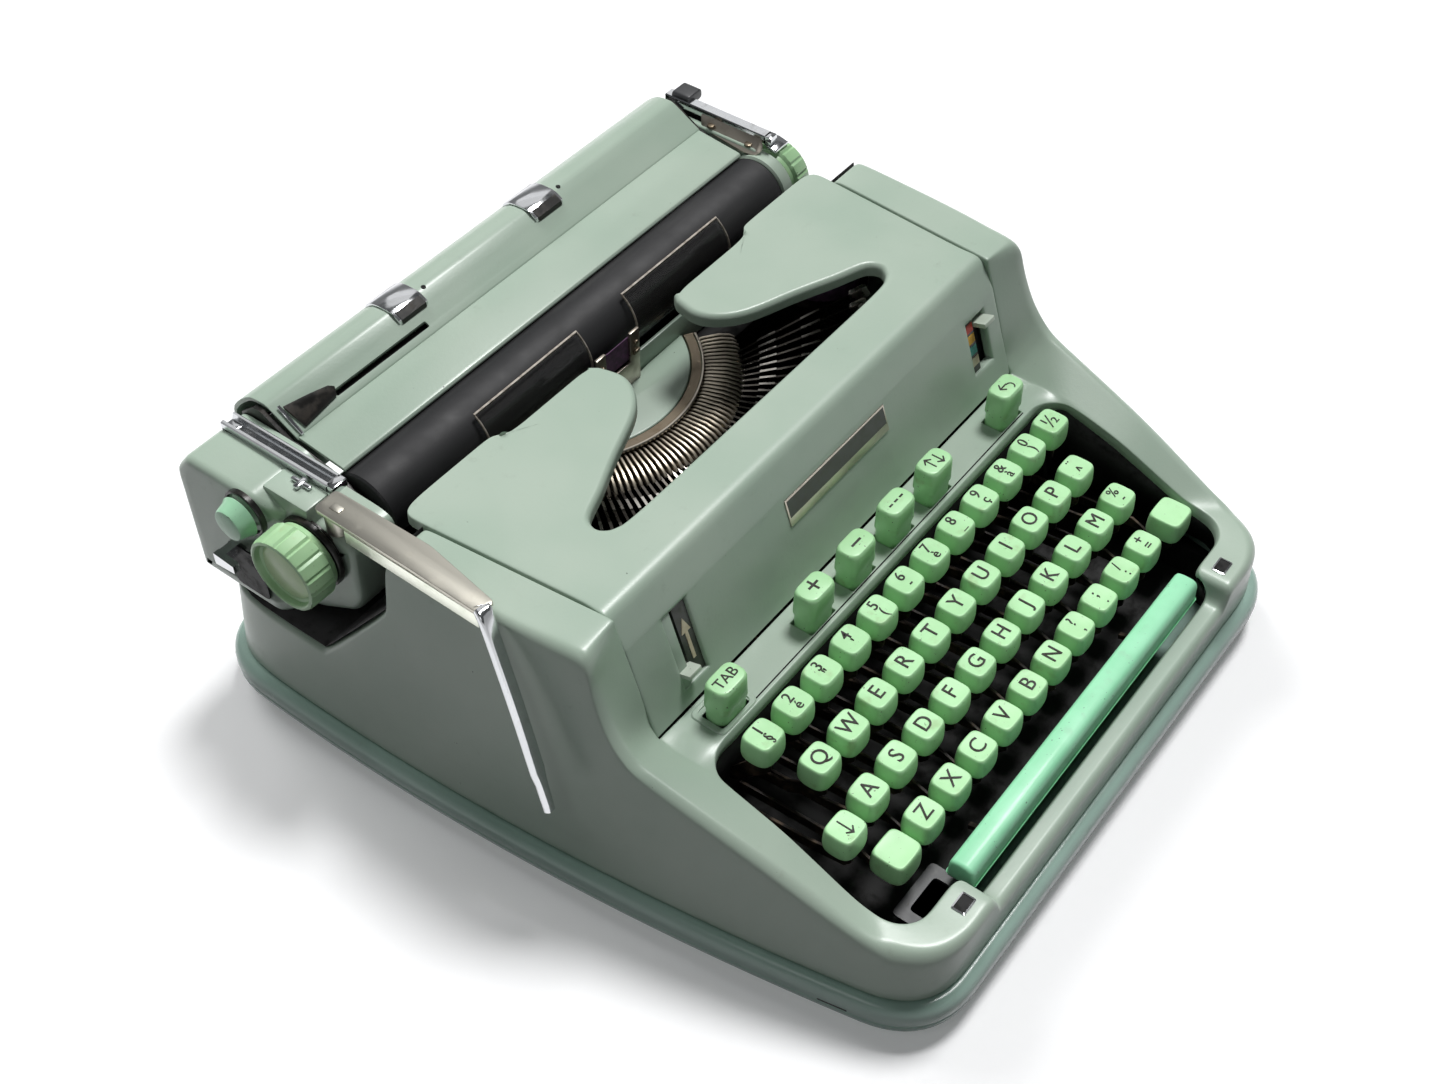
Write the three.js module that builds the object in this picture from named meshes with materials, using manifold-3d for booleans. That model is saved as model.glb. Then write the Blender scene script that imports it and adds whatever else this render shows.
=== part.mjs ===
// A portable desk typewriter in a painted steel case, built as separate pieces on their real seats.
// Millimetres. X is to the typist's right, Y away from the typist and Z up; the table is at z = 0.
import * as THREE from "three";
import { mergeVertices } from "three/addons/utils/BufferGeometryUtils.js";
import Module from "manifold-3d";

const wasm = await Module();
wasm.setup();

// ---------------------------------------------------------------- clearances and sheet sizes
const GAP = 0.3; // between a piece and its seat or neighbour
const SKIN = 2.2; // painted sheet of the case and covers
const CUT = 5; // how far a cutter runs past what it cuts

// ---------------------------------------------------------------- case
const SEAM_Z = 21; // where the case sits on the base pan
const SEAM_HALF_WIDTH = 168.3; // at the widest place
const WIDEST_Y = 110;
const SIDE_BOW = 4.1e-4; // plan curve of the side walls, per mm squared
const WALL_LEAN = 0.128; // inward lean of the side walls, per mm of height
const FRONT_Y = -169.5;
const REAR_Y = 169.5;
const FRONT_CORNER = 24;
const REAR_CORNER = 30;
const SHOULDER_Z = 129;
const DECK_Z = 73.5;
const PAD_Z = 47; // front corners
const LIP_Z = 37; // front lip between the corners
const RIM_X = 127; // where the side strips meet the keyboard well
const PAD_X = 94;
const LIP_X = 90;
const STRIP_OUTER = [
  [-148, 47.5],
  [-136, 51.6],
  [-115, 61],
  [-98, 68],
  [-73.5, 76.8],
  [-52, 84.5],
  [-41.5, 91],
  [-32.5, 103],
  [-27, 118],
  [-25, 126],
];
const STRIP_INNER = [
  [-137.6, 48.2],
  [-128.7, 50],
  [-115, 56],
  [-101.6, 62],
  [-83.5, 69],
  [-60, DECK_Z],
  [-38.5, 74.5],
  [-32, 93],
  [-25, 114],
  [-21, 126],
];
const SHOULDER_FRONT_Y = -19;
const SHOULDER_REAR_Y = 66;
const RECESS_TOP_Z = 102; // where the opening for the carriage end starts to slope
const LEDGE_Y = 102;
const LEDGE_Z = 58;
const RECESS_HALF_WIDTH = 156.5; // open inside the side walls, for the carriage ends

// ---------------------------------------------------------------- base pan and feet
const PAN_BOTTOM_Z = 6;
const PAN_FLOOR = 2.5;
const PAN_RIM_BULGE = 5.2;
const PAN_WALL = 4;
const FOOT_R = 9;
const FOOT_STEM_R = 3;
const FOOT_STEM_HEIGHT = 2.4;
const FOOT_X = 118;
const FOOT_FRONT_Y = -138;
const FOOT_REAR_Y = 136;

// ---------------------------------------------------------------- keyboard well and deck
const WELL_HALF_WIDTH = 127;
const WELL_REAR_Y = -57;
const WELL_PAD_Y = -153;
const WELL_LIP_Y = -161.5;
const WELL_CORNER = 14;
const WELL_COLLAR_Z = 34;
const WELL_REAR_COLLAR = 3;
const DECK_REAR_Y = -41;
const LATCH_X = 103;
const LATCH_Y = -160;
const LATCH_WIDTH = 7;
const LATCH_LENGTH = 4.4;

// ---------------------------------------------------------------- ribbon cover
const COVER_FRONT_HALF = 126;
const COVER_FLARE = 0.087; // how fast the cover widens towards the rear
const COVER_FRONT_Y = -20;
const COVER_REAR_Y = 76;
const COVER_SLOPE = 1 / 3; // the front face's lean, in y per mm of height
const COVER_BOTTOM_Z = 74.3;
const COVER_DEPTH = 11;
const COVER_SEAM = 0.6;
const COVER_SKIRT_INSET = 3;
const COVER_HINGE_Y = -34;
const COVER_HINGE_Z = 72;
const COVER_EAR_X = 110.5;
const COVER_EAR_WIDTH = 3;
const COVER_EAR_R = 3.5;
const COVER_EAR_WEB = 5; // how far up the face each ear reaches
const COVER_PIN_R = 1.5;
const OPENING_FRONT_Y = 7;
const OPENING_HALF_WIDTH = 88;
const THROAT_HALF_WIDTH = 21;
const WINDOW_WIDTH = 16;
const TOUCH_WINDOW_X = -107;
const TOUCH_WINDOW_Z = [80, 114];
const RIBBON_WINDOW_X = 102;
const RIBBON_WINDOW_Z = [86, 112];
const SLIDER_THICKNESS = 1.5;
const TAB_THICKNESS = 1.8;
const TAB_REACH = 6.5;
const TOUCH_TAB_Z = 86;
const RIBBON_TAB_Z = 107;

// ---------------------------------------------------------------- keys
const KEY_PITCH = 19.05;
const ROW_PITCH_Y = 19.2;
const ROW_DROP = 9.15;
const NUMBER_ROW_Y = -71;
const NUMBER_ROW_Z = 80; // top of the caps
const NUMBER_ROW_X = -105;
const TOP_ROW_X = -95.4;
const HOME_ROW_X = -90.7;
const BOTTOM_ROW_X = -81.2;
const CAP_TOP = [11.5, 10.8];
const CAP_FOOT = [15.5, 14.5];
const CAP_HEIGHT = 10.5;
const CAP_CORNER = 3;
const STEM_WIDTH = 4;
const STEM_DEPTH = 3;
const LEVER_THICKNESS = 1.6;
const BANK_BAR_DROP = 14; // from the cap tops to the top of the bar that carries them
const BANK_BAR_HEIGHT = 3;
const PIVOT_Y = 40;
const PIVOT_Z = 24;
const PIVOT_R = 3;
const HUB_R = 6;
const LEVER_HALF_DEPTH = 4;
const LEVER_REAR_OFFSET = 5;
const NUMBER_ARMS = [-104, 103.5];
const TOP_ARMS = [-100.5, 107];
const BOTTOM_ARMS = [-86, 95.2];
const LOCK_X = -109.75;
const LOCK_Y = -112;
const SHIFT_Y = -128.6;
const SHIFT_TOP_Z = 50;
const SHIFT_TOP = [13.5, 13];
const LEFT_SHIFT_X = -99.5;
const LEFT_SHIFT_ARM = -114;
const LEFT_SHIFT_STEM = -103.5;
const RIGHT_SHIFT_X = 116;
const RIGHT_SHIFT_ARM = 114.5;
const FUNCTION_KEYS = { tab: -100, plus: -42.9, minus: -14.3, dashes: 14.3, arrows: 42.9, back_space: 100 };
const FUNCTION_Y = -50;
const FUNCTION_TOP_Z = 92;
const FUNCTION_HEIGHT = 29;
const FUNCTION_WIDTH = 15;
const FUNCTION_DEPTH = 9.5;
const FUNCTION_STEM_BOTTOM_Z = 52;
const FUNCTION_STEM = [6, 4];
const SPACE_HALF_LENGTH = 90;
const SPACE_REAR_Y = -145;
const SPACE_FRONT_Y = -157;
const SPACE_TOP_Z = 47;
const SPACE_HEIGHT = 11;
const SPACE_ARM_X = 117.5;
const SPACE_PIVOT_Y = -100;
const SPACE_PIVOT_Z = 16;
const SPACE_PIVOT_R = 2;

// ---------------------------------------------------------------- main frame
const FRAME_X = 121; // inner face of the side plates
const FRAME_PLATE = 3;
const FRAME_FRONT_Y = -148;
const FRAME_REAR_Y = 150;
const FRAME_WELL_Z = 28;
const FRAME_MID_Z = 66;
const GUIDE_Z = 54;
const GUIDE_THICKNESS = 3;
const GUIDE_FRONT_Y = -56;
const GUIDE_REAR_Y = -42;
const BEAM_FRONT_Y = 112;
const BEAM_REAR_Y = 138;
const BEAM_Z = 60;
const BEAM_HEIGHT = 6;
const SEAT_FRONT_Y = 70;
const SEAT_REAR_Y = 100;
const SEAT_Z = 74;
const SEAT_THICKNESS = 5.7;
const RAIL_Y = 125;
const RAIL_WIDTH = 8;
const RAIL_HEIGHT = 12;
const SPOOL_X = 105;
const SPOOL_Y = 50;
const SPOOL_R = 21;
const SPOOL_HEIGHT = 14;
const SPOOL_CORE_R = 8;
const SHELF_Z = 94;
const SHELF_THICKNESS = 3;
const SPINDLE_R = 3;
const DRUM_X = -88;
const DRUM_Y = 85;
const DRUM_R = 20;
const DRUM_HEIGHT = 12;
const DRUM_Z = 48;

// ---------------------------------------------------------------- type basket
const SEGMENT_Y = 111.5; // centre of the ring, in plan
const SEGMENT_INNER_R = 54;
const SEGMENT_OUTER_R = 76;
const SEGMENT_HEIGHT = 8;
const RING_OUTER_R = 62;
const RING_STEP = 2;
const SEGMENT_HALF_ANGLE = 60;
const TYPE_BAR_COUNT = 42;
const TYPE_FAN_HALF_ANGLE = 47;
const TYPE_BAR_WIDTH = 1.3;
const TYPE_BAR_DEPTH = 4;
const TYPE_HEAD_R = [120, 133]; // middle and ends of the fan
const TYPE_HEAD_Z = [58, 112];
const TYPE_HEAD_HEIGHT = 7;
const SHIELD_REAR_Y = 85;
const VIBRATOR_Y = 81.5;
const VIBRATOR_HALF_WIDTH = 14;
const VIBRATOR_PRONG = 6;
const VIBRATOR_TOP_Z = 116;

// ---------------------------------------------------------------- carriage
const PLATEN_Y = 104;
const PLATEN_Z = 110;
const PLATEN_R = 16;
const PLATEN_HALF_LENGTH = 128;
const SHAFT_R = 3.5;
const KNOB_R = 17;
const KNOB_WALL = 2.6;
const LEFT_KNOB_X = [-173.4, -158];
const RIGHT_KNOB_X = [136.5, 149];
const KNOB_RIBS = 16;
const KNOB_SIDES = 32;
const RIB_HEIGHT = 0.3;
const END_PLATE_X = 129;
const END_PLATE = 2;
const CARRIAGE_BEAM_HEIGHT = 4;
const CARRIAGE_FLANGE = 3.5;
const TABLE_FRONT_Y = 113;
const TABLE_FRONT_Z = 126;
const CREASE_Y = 137;
const CREASE_Z = 129;
const RIDGE_Y = 154;
const RIDGE_RISE = 8.5; // of the hood's ridge over the crease
const RIDGE_Z = CREASE_Z + RIDGE_RISE;
const HOOD_REAR_Y = 174;
const HOOD_SHOULDER_Z = 124;
const HOOD_BOTTOM_Z = 64;
const HOOD_SKIN = 1.6;
const TABLE_HALF_LENGTH = 128.5;
const SLOT_X = [-103, -50]; // slot for the paper guide's tongue
const SLOT_WIDTH = 2;
const GUIDE_TONGUE = 1.2;
const GUIDE_FENCE = 2.6;
const LEFT_END_X = -163;
const LEFT_FRONT_X = -154;
const END_TOP_Z = 130;
const END_REAR_Y = 171;
const END_STEP_Y = 125;
const LEFT_END_OUTLINE = [
  [84, 120],
  [84, 90],
  [89, 82],
  [110, 70],
  [END_STEP_Y, 64],
];
const RIGHT_END_X = [131.3, 135.5];
const RIGHT_END_FRONT_Y = 100;
const RIGHT_END_Z = [84, 128];
const BUTTON_Y = 130;
const BUTTON_Z = 121;
const BUTTON_R = [9, 7];
const BUTTON_X = [-173.4, -166.4]; // leaves the push's travel before the wall
const BUTTON_STEM_R = 3;
const RELEASE_Y = 145;
const RELEASE_Z = 91;
const RELEASE_HALF = 2;
const BAIL_PIVOT_Y = 160;
const BAIL_PIVOT_Z = 126;
const BAIL_ROD_R = 1.8;
const BAIL_TOP_Z = 133.5;
const BAIL_ARM_THICKNESS = 2;
const LEFT_BAIL_X = [-143, -135];
const RIGHT_BAIL_X = [136.4, 142];
const BAIL_FRONT_Y = 102;
const HUB_X = -149; // return lever pivot
const HUB_Y = 95;
const RETURN_PIN_R = 2.5;
const RETURN_ARM_THICKNESS = 2;
const RETURN_ARM_CLEARANCE = 3; // over the left end cover
const RETURN_ARM_Z = END_TOP_Z + RETURN_ARM_CLEARANCE + RETURN_ARM_THICKNESS / 2;
const RETURN_FLANGE_Z = RETURN_ARM_Z - 7;
const RETURN_HANDLE_TIP = [HUB_X - 21, -28, RETURN_ARM_Z - 64];
const SELECTOR_X = -146;
const SELECTOR_Y = 116;
const HOLDER_GAP = 1.9; // from the platen's surface to a card holder
const HOLDER_THICKNESS = 1;
const LEFT_HOLDER_X = [-75, -12];
const RIGHT_HOLDER_X = [22, 84];
const HOLDER_TOP_ANGLE = 125;
const HOLDER_FOOT_ANGLE = 215;
const HOLDER_FOOT_Y = 87.5;
const PAPER_LEVER_X = 145;
const PAPER_LEVER_Y = 168;

// ---------------------------------------------------------------- finishes
const finish = (color, roughness, metalness) =>
  new THREE.MeshStandardMaterial({ color, roughness, metalness });
const FINISHES = {
  paint: finish(0x9db3a4, 0.45, 0),
  base_paint: finish(0x6f948c, 0.4, 0),
  key_plastic: finish(0x9fe0a8, 0.35, 0),
  bar_plastic: finish(0x86d9ad, 0.35, 0),
  knob_plastic: finish(0x9ad79a, 0.4, 0),
  rubber: finish(0x1b1b1c, 0.7, 0),
  black_steel: finish(0x1d1e20, 0.5, 0.6),
  steel: finish(0xa9adb0, 0.3, 1),
  chrome: finish(0xdfe3e6, 0.12, 1),
  brass: finish(0x9a8354, 0.35, 1),
  clear_plastic: finish(0xb9c3c4, 0.1, 0),
  pale_plastic: finish(0xd9dccb, 0.5, 0),
};

// ---------------------------------------------------------------- solids
const WELD = 1e-4;
const ROUND = 20; // sides of a round piece
const ROUND_SMALL = 10; // sides of a hub or its bore
const LOOPS = { x: [1, 2], y: [0, 2], z: [0, 1] }; // the two coordinates across each axis

function solid(geometry) {
  const bare = new THREE.BufferGeometry();
  const loose = geometry.index ? geometry.toNonIndexed() : geometry;
  bare.setAttribute("position", loose.getAttribute("position"));
  const welded = mergeVertices(bare, WELD);
  const vertProperties = new Float32Array(welded.attributes.position.array);
  const triVerts = new Uint32Array(welded.index.array);
  const made = new wasm.Manifold(new wasm.Mesh({ numProp: 3, vertProperties, triVerts }));
  if (made.volume() > 0) return made;
  return new wasm.Manifold(new wasm.Mesh({ numProp: 3, vertProperties, triVerts: triVerts.reverse() }));
}

function union(...pieces) {
  return pieces.flat().reduce((all, piece) => all.add(piece));
}

function cut(body, ...tools) {
  return tools.flat().reduce((left, tool) => left.subtract(tool), body);
}

function box([x0, x1], [y0, y1], [z0, z1]) {
  const geometry = new THREE.BoxGeometry(x1 - x0, y1 - y0, z1 - z0);
  return solid(geometry.translate((x0 + x1) / 2, (y0 + y1) / 2, (z0 + z1) / 2));
}

// The matrix that stands a piece modelled along +Z on another axis, its outline on the other two.
function standOn(axis) {
  const [u, v] = LOOPS[axis];
  const w = { x: 0, y: 1, z: 2 }[axis];
  const columns = [u, v, w].map((k) => new THREE.Vector3().setComponent(k, 1));
  return new THREE.Matrix4().makeBasis(...columns);
}

// An outline on the plane across `axis`, given in the order x, y, z, pushed along that axis.
function prism(axis, outline, [from, to]) {
  const shape = new THREE.Shape(outline.map(([u, v]) => new THREE.Vector2(u, v)));
  const geometry = new THREE.ExtrudeGeometry(shape, { depth: to - from, bevelEnabled: false });
  return solid(geometry.translate(0, 0, from).applyMatrix4(standOn(axis)));
}

function cylinder(axis, [u, v], radius, [from, to], endRadius = radius, sides = ROUND) {
  const geometry = new THREE.CylinderGeometry(endRadius, radius, to - from, sides);
  geometry.rotateX(Math.PI / 2).translate(u, v, (from + to) / 2);
  return solid(geometry.applyMatrix4(standOn(axis)));
}

// Closed loops of equal length, joined one to the next and capped; `axis` is the one they run along.
function loft(axis, loops) {
  const [u, v] = LOOPS[axis];
  const points = loops.flat();
  const count = loops[0].length;
  const faces = [];
  for (let k = 0; k + 1 < loops.length; k++) {
    for (let i = 0; i < count; i++) {
      const a = k * count + i;
      const b = k * count + ((i + 1) % count);
      faces.push([a, b, b + count], [a, b + count, a + count]);
    }
  }
  const flat = (loop) => loop.map((p) => new THREE.Vector2(p[u], p[v]));
  const first = THREE.ShapeUtils.triangulateShape(flat(loops[0]), []);
  const last = THREE.ShapeUtils.triangulateShape(flat(loops.at(-1)), []);
  const offset = points.length - count;
  const wound = THREE.ShapeUtils.isClockWise(flat(loops[0]));
  const startWound = THREE.ShapeUtils.isClockWise(first[0].map((i) => flat(loops[0])[i]));
  const endWound = THREE.ShapeUtils.isClockWise(last[0].map((i) => flat(loops.at(-1))[i]));
  for (const [a, b, c] of first) faces.push(wound === startWound ? [c, b, a] : [a, b, c]);
  for (const [a, b, c] of last) {
    const turned = wound === endWound ? [a, b, c] : [c, b, a];
    faces.push(turned.map((i) => i + offset));
  }
  const geometry = new THREE.BufferGeometry();
  geometry.setAttribute("position", new THREE.Float32BufferAttribute(points.flat(), 3));
  geometry.setIndex(faces.flat());
  return solid(geometry);
}

function roundedRectangle([x0, x1], [y0, y1], radius, steps = 2) {
  const shape = new THREE.Shape();
  shape.moveTo(x0 + radius, y0);
  shape.lineTo(x1 - radius, y0).absarc(x1 - radius, y0 + radius, radius, -Math.PI / 2, 0);
  shape.lineTo(x1, y1 - radius).absarc(x1 - radius, y1 - radius, radius, 0, Math.PI / 2);
  shape.lineTo(x0 + radius, y1).absarc(x0 + radius, y1 - radius, radius, Math.PI / 2, Math.PI);
  shape.lineTo(x0, y0 + radius).absarc(x0 + radius, y0 + radius, radius, Math.PI, 1.5 * Math.PI);
  return withoutRepeats(shape.getPoints(steps).map((p) => [p.x, p.y]));
}

function withoutRepeats(points) {
  return points.filter(([u, v], i) => {
    const [pu, pv] = points[(i + points.length - 1) % points.length];
    return Math.hypot(u - pu, v - pv) > 10 * WELD;
  });
}

// The right half of an outline, from front to rear, and its mirror image.
function mirrored(half) {
  const left = half.filter(([x]) => x > WELD).map(([x, y]) => [-x, y]);
  return [...half, ...left.reverse()];
}

// Moves an open chain of points to its right by `distance`, keeping its corners sharp.
function shifted(chain, distance) {
  const normal = ([u0, v0], [u1, v1]) => {
    const length = Math.hypot(u1 - u0, v1 - v0);
    return [(v1 - v0) / length, (u0 - u1) / length];
  };
  return chain.map((point, i) => {
    const before = i > 0 ? normal(chain[i - 1], point) : normal(point, chain[i + 1]);
    const after = i + 1 < chain.length ? normal(point, chain[i + 1]) : before;
    const scale = distance / (1 + before[0] * after[0] + before[1] * after[1]);
    return [point[0] + (before[0] + after[0]) * scale, point[1] + (before[1] + after[1]) * scale];
  });
}

const shiftedLoop = (loop, distance) => shifted([loop.at(-1), ...loop, loop[0]], distance).slice(1, -1);

// ---------------------------------------------------------------- case shape
const wallHalfWidth = (y, z) => SEAM_HALF_WIDTH - SIDE_BOW * (WIDEST_Y - y) ** 2 - WALL_LEAN * (z - SEAM_Z);

// The case's plan at height z, moved inwards by `inset`.
function casePlan(z, inset) {
  const front = FRONT_Y + inset;
  const rear = REAR_Y - inset;
  const half = (y) => wallHalfWidth(y, z) - inset;
  const frontY = front + FRONT_CORNER;
  const rearY = rear - REAR_CORNER;
  const shape = new THREE.Shape();
  shape.moveTo(half(front) - FRONT_CORNER, front);
  shape.quadraticCurveTo(half(front), front, half(frontY), frontY);
  const right = shape.getPoints(5).map((p) => [p.x, p.y]);
  const steps = 8;
  for (let i = 1; i <= steps; i++) {
    const y = frontY + ((rearY - frontY) * i) / steps;
    right.push([half(y), y]);
  }
  const corner = new THREE.QuadraticBezierCurve(
    new THREE.Vector2(half(rearY), rearY),
    new THREE.Vector2(half(rear), rear),
    new THREE.Vector2(half(rear) - REAR_CORNER, rear),
  );
  right.push(...corner.getPoints(5).slice(1).map((p) => [p.x, p.y]));
  return mirrored(right);
}

function planBlock(inset, [z0, z1]) {
  const level = (z) => casePlan(z, inset).map(([x, y]) => [x, y, z]);
  return loft("z", [level(z0), level(z1)]);
}

// Everything under the case's top surface: the side strips, corners, lip, deck, shoulders and ledges.
function topBlock(inset) {
  const bottom = SEAM_Z - 2 * CUT;
  const rear = [
    [SHOULDER_FRONT_Y, SHOULDER_Z],
    [SHOULDER_REAR_Y, SHOULDER_Z],
    [SHOULDER_REAR_Y, RECESS_TOP_Z],
    [LEDGE_Y, LEDGE_Z],
    [REAR_Y + CUT, LEDGE_Z],
  ];
  const station = (strip, frontZ, widthAt) => {
    const chain = shifted([[FRONT_Y - CUT, frontZ], ...strip, ...rear], inset);
    const loop = [...chain, [REAR_Y + CUT, bottom], [FRONT_Y - CUT, bottom]];
    return loop.map(([y, z]) => [widthAt(y, z), y, z]);
  };
  const lip = [[-150, LIP_Z], ...STRIP_INNER.slice(1)];
  const outside = SEAM_HALF_WIDTH + 4 * CUT;
  const right = [
    station(lip, LIP_Z, () => LIP_X),
    station(STRIP_INNER, PAD_Z, () => PAD_X),
    station(STRIP_INNER, PAD_Z, () => RIM_X),
    station(STRIP_OUTER, PAD_Z, wallHalfWidth),
    station(STRIP_OUTER, PAD_Z, () => outside),
  ];
  const left = right.map((loop) => loop.map(([x, y, z]) => [-x, y, z])).reverse();
  return loft("x", [...left, ...right]);
}

const coverHalfWidth = (y) => COVER_FRONT_HALF + COVER_FLARE * Math.max(0, y - COVER_FRONT_Y);

// A block under the ribbon cover's plan, grown by `grow` all round.
function coverBay(grow, frontY, rearY, zRange) {
  const half = [
    [coverHalfWidth(frontY) + grow, frontY],
    [coverHalfWidth(COVER_FRONT_Y) + grow, COVER_FRONT_Y],
    [coverHalfWidth(rearY) + grow, rearY],
  ];
  return prism("z", mirrored(half), zRange);
}

function wellOutline(grow) {
  const half = WELL_HALF_WIDTH + grow;
  const side = (PAD_X + LIP_X) / 2 + 1 + grow;
  const corner = WELL_CORNER + grow;
  const shape = new THREE.Shape();
  const pad = WELL_PAD_Y - grow;
  const rear = WELL_REAR_Y + grow;
  shape.moveTo(side, WELL_LIP_Y - grow);
  shape.lineTo(side, pad).lineTo(half - corner, pad);
  shape.absarc(half - corner, pad + corner, corner, -Math.PI / 2, 0);
  shape.lineTo(half, rear - corner).absarc(half - corner, rear - corner, corner, 0, Math.PI / 2);
  return mirrored(withoutRepeats(shape.getPoints(4).map((p) => [p.x, p.y])));
}

function topShell() {
  const outer = planBlock(0, [SEAM_Z, SHOULDER_Z + CUT]).intersect(topBlock(0));
  const inner = planBlock(SKIN, [SEAM_Z - CUT, SHOULDER_Z + CUT]).intersect(topBlock(SKIN));
  const bayTop = [DECK_Z - SKIN - 1, SHOULDER_Z + CUT];
  const bay = coverBay(COVER_SEAM, DECK_REAR_Y, COVER_REAR_Y + CUT, bayTop);
  const flangeZ = [SHOULDER_Z - COVER_DEPTH, SHOULDER_Z + CUT];
  const flange = coverBay(COVER_SEAM + SKIN, COVER_FRONT_Y, SHOULDER_REAR_Y, flangeZ).intersect(outer);
  const rearY = [WELL_REAR_Y - WELL_CORNER, WELL_REAR_Y + CUT];
  const rearGap = box([-2 * RIM_X, 2 * RIM_X], rearY, [WELL_COLLAR_Z - 1, DECK_Z - WELL_REAR_COLLAR]);
  const collarBlock = prism("z", wellOutline(SKIN), [WELL_COLLAR_Z, DECK_Z + CUT]);
  const collar = cut(collarBlock.intersect(outer), rearGap);
  const well = prism("z", wellOutline(0), [SEAM_Z - CUT, DECK_Z + CUT]);
  const bayRear = SHOULDER_REAR_Y - SKIN;
  const underCarriage = [
    box([-RIM_X, RIM_X], [bayRear, REAR_Y - 2 * SKIN], [LEDGE_Z - 2 * CUT, SHOULDER_Z + CUT]),
    box(
      [-RECESS_HALF_WIDTH, RECESS_HALF_WIDTH],
      [LEDGE_Y, REAR_Y - 2 * SKIN],
      [LEDGE_Z - 2 * CUT, SHOULDER_Z],
    ),
  ];
  const keyHoles = Object.values(FUNCTION_KEYS).map((x) => {
    const halfX = FUNCTION_WIDTH / 2 + 2 * GAP;
    const halfY = FUNCTION_DEPTH / 2 + 2 * GAP;
    const outline = roundedRectangle([x - halfX, x + halfX], [FUNCTION_Y - halfY, FUNCTION_Y + halfY], 3);
    return prism("z", outline, [DECK_Z - CUT, DECK_Z + CUT]);
  });
  const latches = [-LATCH_X, LATCH_X].map((x) => {
    const xs = [x - LATCH_WIDTH / 2, x + LATCH_WIDTH / 2];
    return box(xs, [LATCH_Y - LATCH_LENGTH / 2, LATCH_Y + LATCH_LENGTH / 2], [PAD_Z - CUT, PAD_Z + CUT]);
  });
  const skin = union(cut(outer, inner), flange, collar);
  return cut(skin, bay, well, underCarriage, keyHoles, latches);
}

function basePan() {
  const level = (z, grow) => casePlan(SEAM_Z, -grow).map(([x, y]) => [x, y, z]);
  const top = SEAM_Z - GAP;
  const rim = loft("z", [
    level(PAN_BOTTOM_Z, 0),
    level(PAN_BOTTOM_Z + 2, PAN_RIM_BULGE * 0.7),
    level((PAN_BOTTOM_Z + top) / 2, PAN_RIM_BULGE),
    level(top - 3, PAN_RIM_BULGE * 0.8),
    level(top, 1),
  ]);
  const tray = loft("z", [level(PAN_BOTTOM_Z + PAN_FLOOR, -PAN_WALL), level(top + CUT, -PAN_WALL)]);
  const holes = footPlaces().map(([, x, y]) => {
    const zs = [PAN_BOTTOM_Z - CUT, PAN_BOTTOM_Z + PAN_FLOOR + CUT];
    return cylinder("z", [x, y], FOOT_STEM_R + GAP, zs);
  });
  return cut(rim, tray, holes);
}

function footPlaces() {
  return [
    ["foot_front_left", -FOOT_X, FOOT_FRONT_Y],
    ["foot_front_right", FOOT_X, FOOT_FRONT_Y],
    ["foot_rear_left", -FOOT_X, FOOT_REAR_Y],
    ["foot_rear_right", FOOT_X, FOOT_REAR_Y],
  ];
}

function foot() {
  const top = PAN_BOTTOM_Z - GAP;
  const profile = [
    [0, 0],
    [FOOT_R - 1.5, 0],
    [FOOT_R, 1.5],
    [FOOT_R, top],
    [FOOT_STEM_R, top],
    [FOOT_STEM_R, top + FOOT_STEM_HEIGHT],
    [0, top + FOOT_STEM_HEIGHT],
  ];
  const points = profile.map(([r, z]) => new THREE.Vector2(r, z));
  return solid(new THREE.LatheGeometry(points, ROUND).rotateX(Math.PI / 2));
}

// ---------------------------------------------------------------- ribbon cover
const faceY = (z) => COVER_FRONT_Y - (SHOULDER_Z - z) * COVER_SLOPE;
const FACE_LENGTH = Math.hypot(1, COVER_SLOPE);

// The point `depth` behind the cover's front face at height z, as [y, z].
const behindFace = (z, depth) => [faceY(z) + depth / FACE_LENGTH, z - (depth * COVER_SLOPE) / FACE_LENGTH];

function openingOutline(grow) {
  const shape = new THREE.Shape();
  const rear = COVER_REAR_Y + CUT;
  const side = THROAT_HALF_WIDTH + grow;
  shape.moveTo(0, OPENING_FRONT_Y - grow);
  shape.lineTo(OPENING_HALF_WIDTH, OPENING_FRONT_Y - grow);
  shape.quadraticCurveTo(99 + grow, OPENING_FRONT_Y, 92, 20 + grow);
  shape.lineTo(79, 24 + grow).lineTo(45, 38 + grow);
  shape.quadraticCurveTo(27 + grow, 46 + grow, side, 58);
  shape.lineTo(side, 64).quadraticCurveTo(side, 72, side + 5, rear);
  return mirrored(withoutRepeats(shape.getPoints(4).map((p) => [p.x, p.y])));
}

function coverBlock(skin, skirtInset) {
  const top = SHOULDER_Z - skin;
  const depthZ = SHOULDER_Z - COVER_DEPTH - (skin ? CUT : 0);
  const rear = COVER_REAR_Y - skin;
  const bottom = COVER_BOTTOM_Z - (skin ? CUT : 0);
  const frontLip = COVER_DEPTH + (skin ? CUT : 0);
  const outline = [
    behindFace(bottom, skin),
    [faceY(top) + skin * FACE_LENGTH, top],
    [rear, top],
    [rear, depthZ],
    [behindFace(depthZ, frontLip)[0], depthZ],
    behindFace(bottom, frontLip),
  ];
  const inset = skin + skirtInset;
  const side = (sign) => outline.map(([y, z]) => [sign * (coverHalfWidth(y) - inset), y, z]);
  return loft("x", [side(-1), side(1)]);
}

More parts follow.
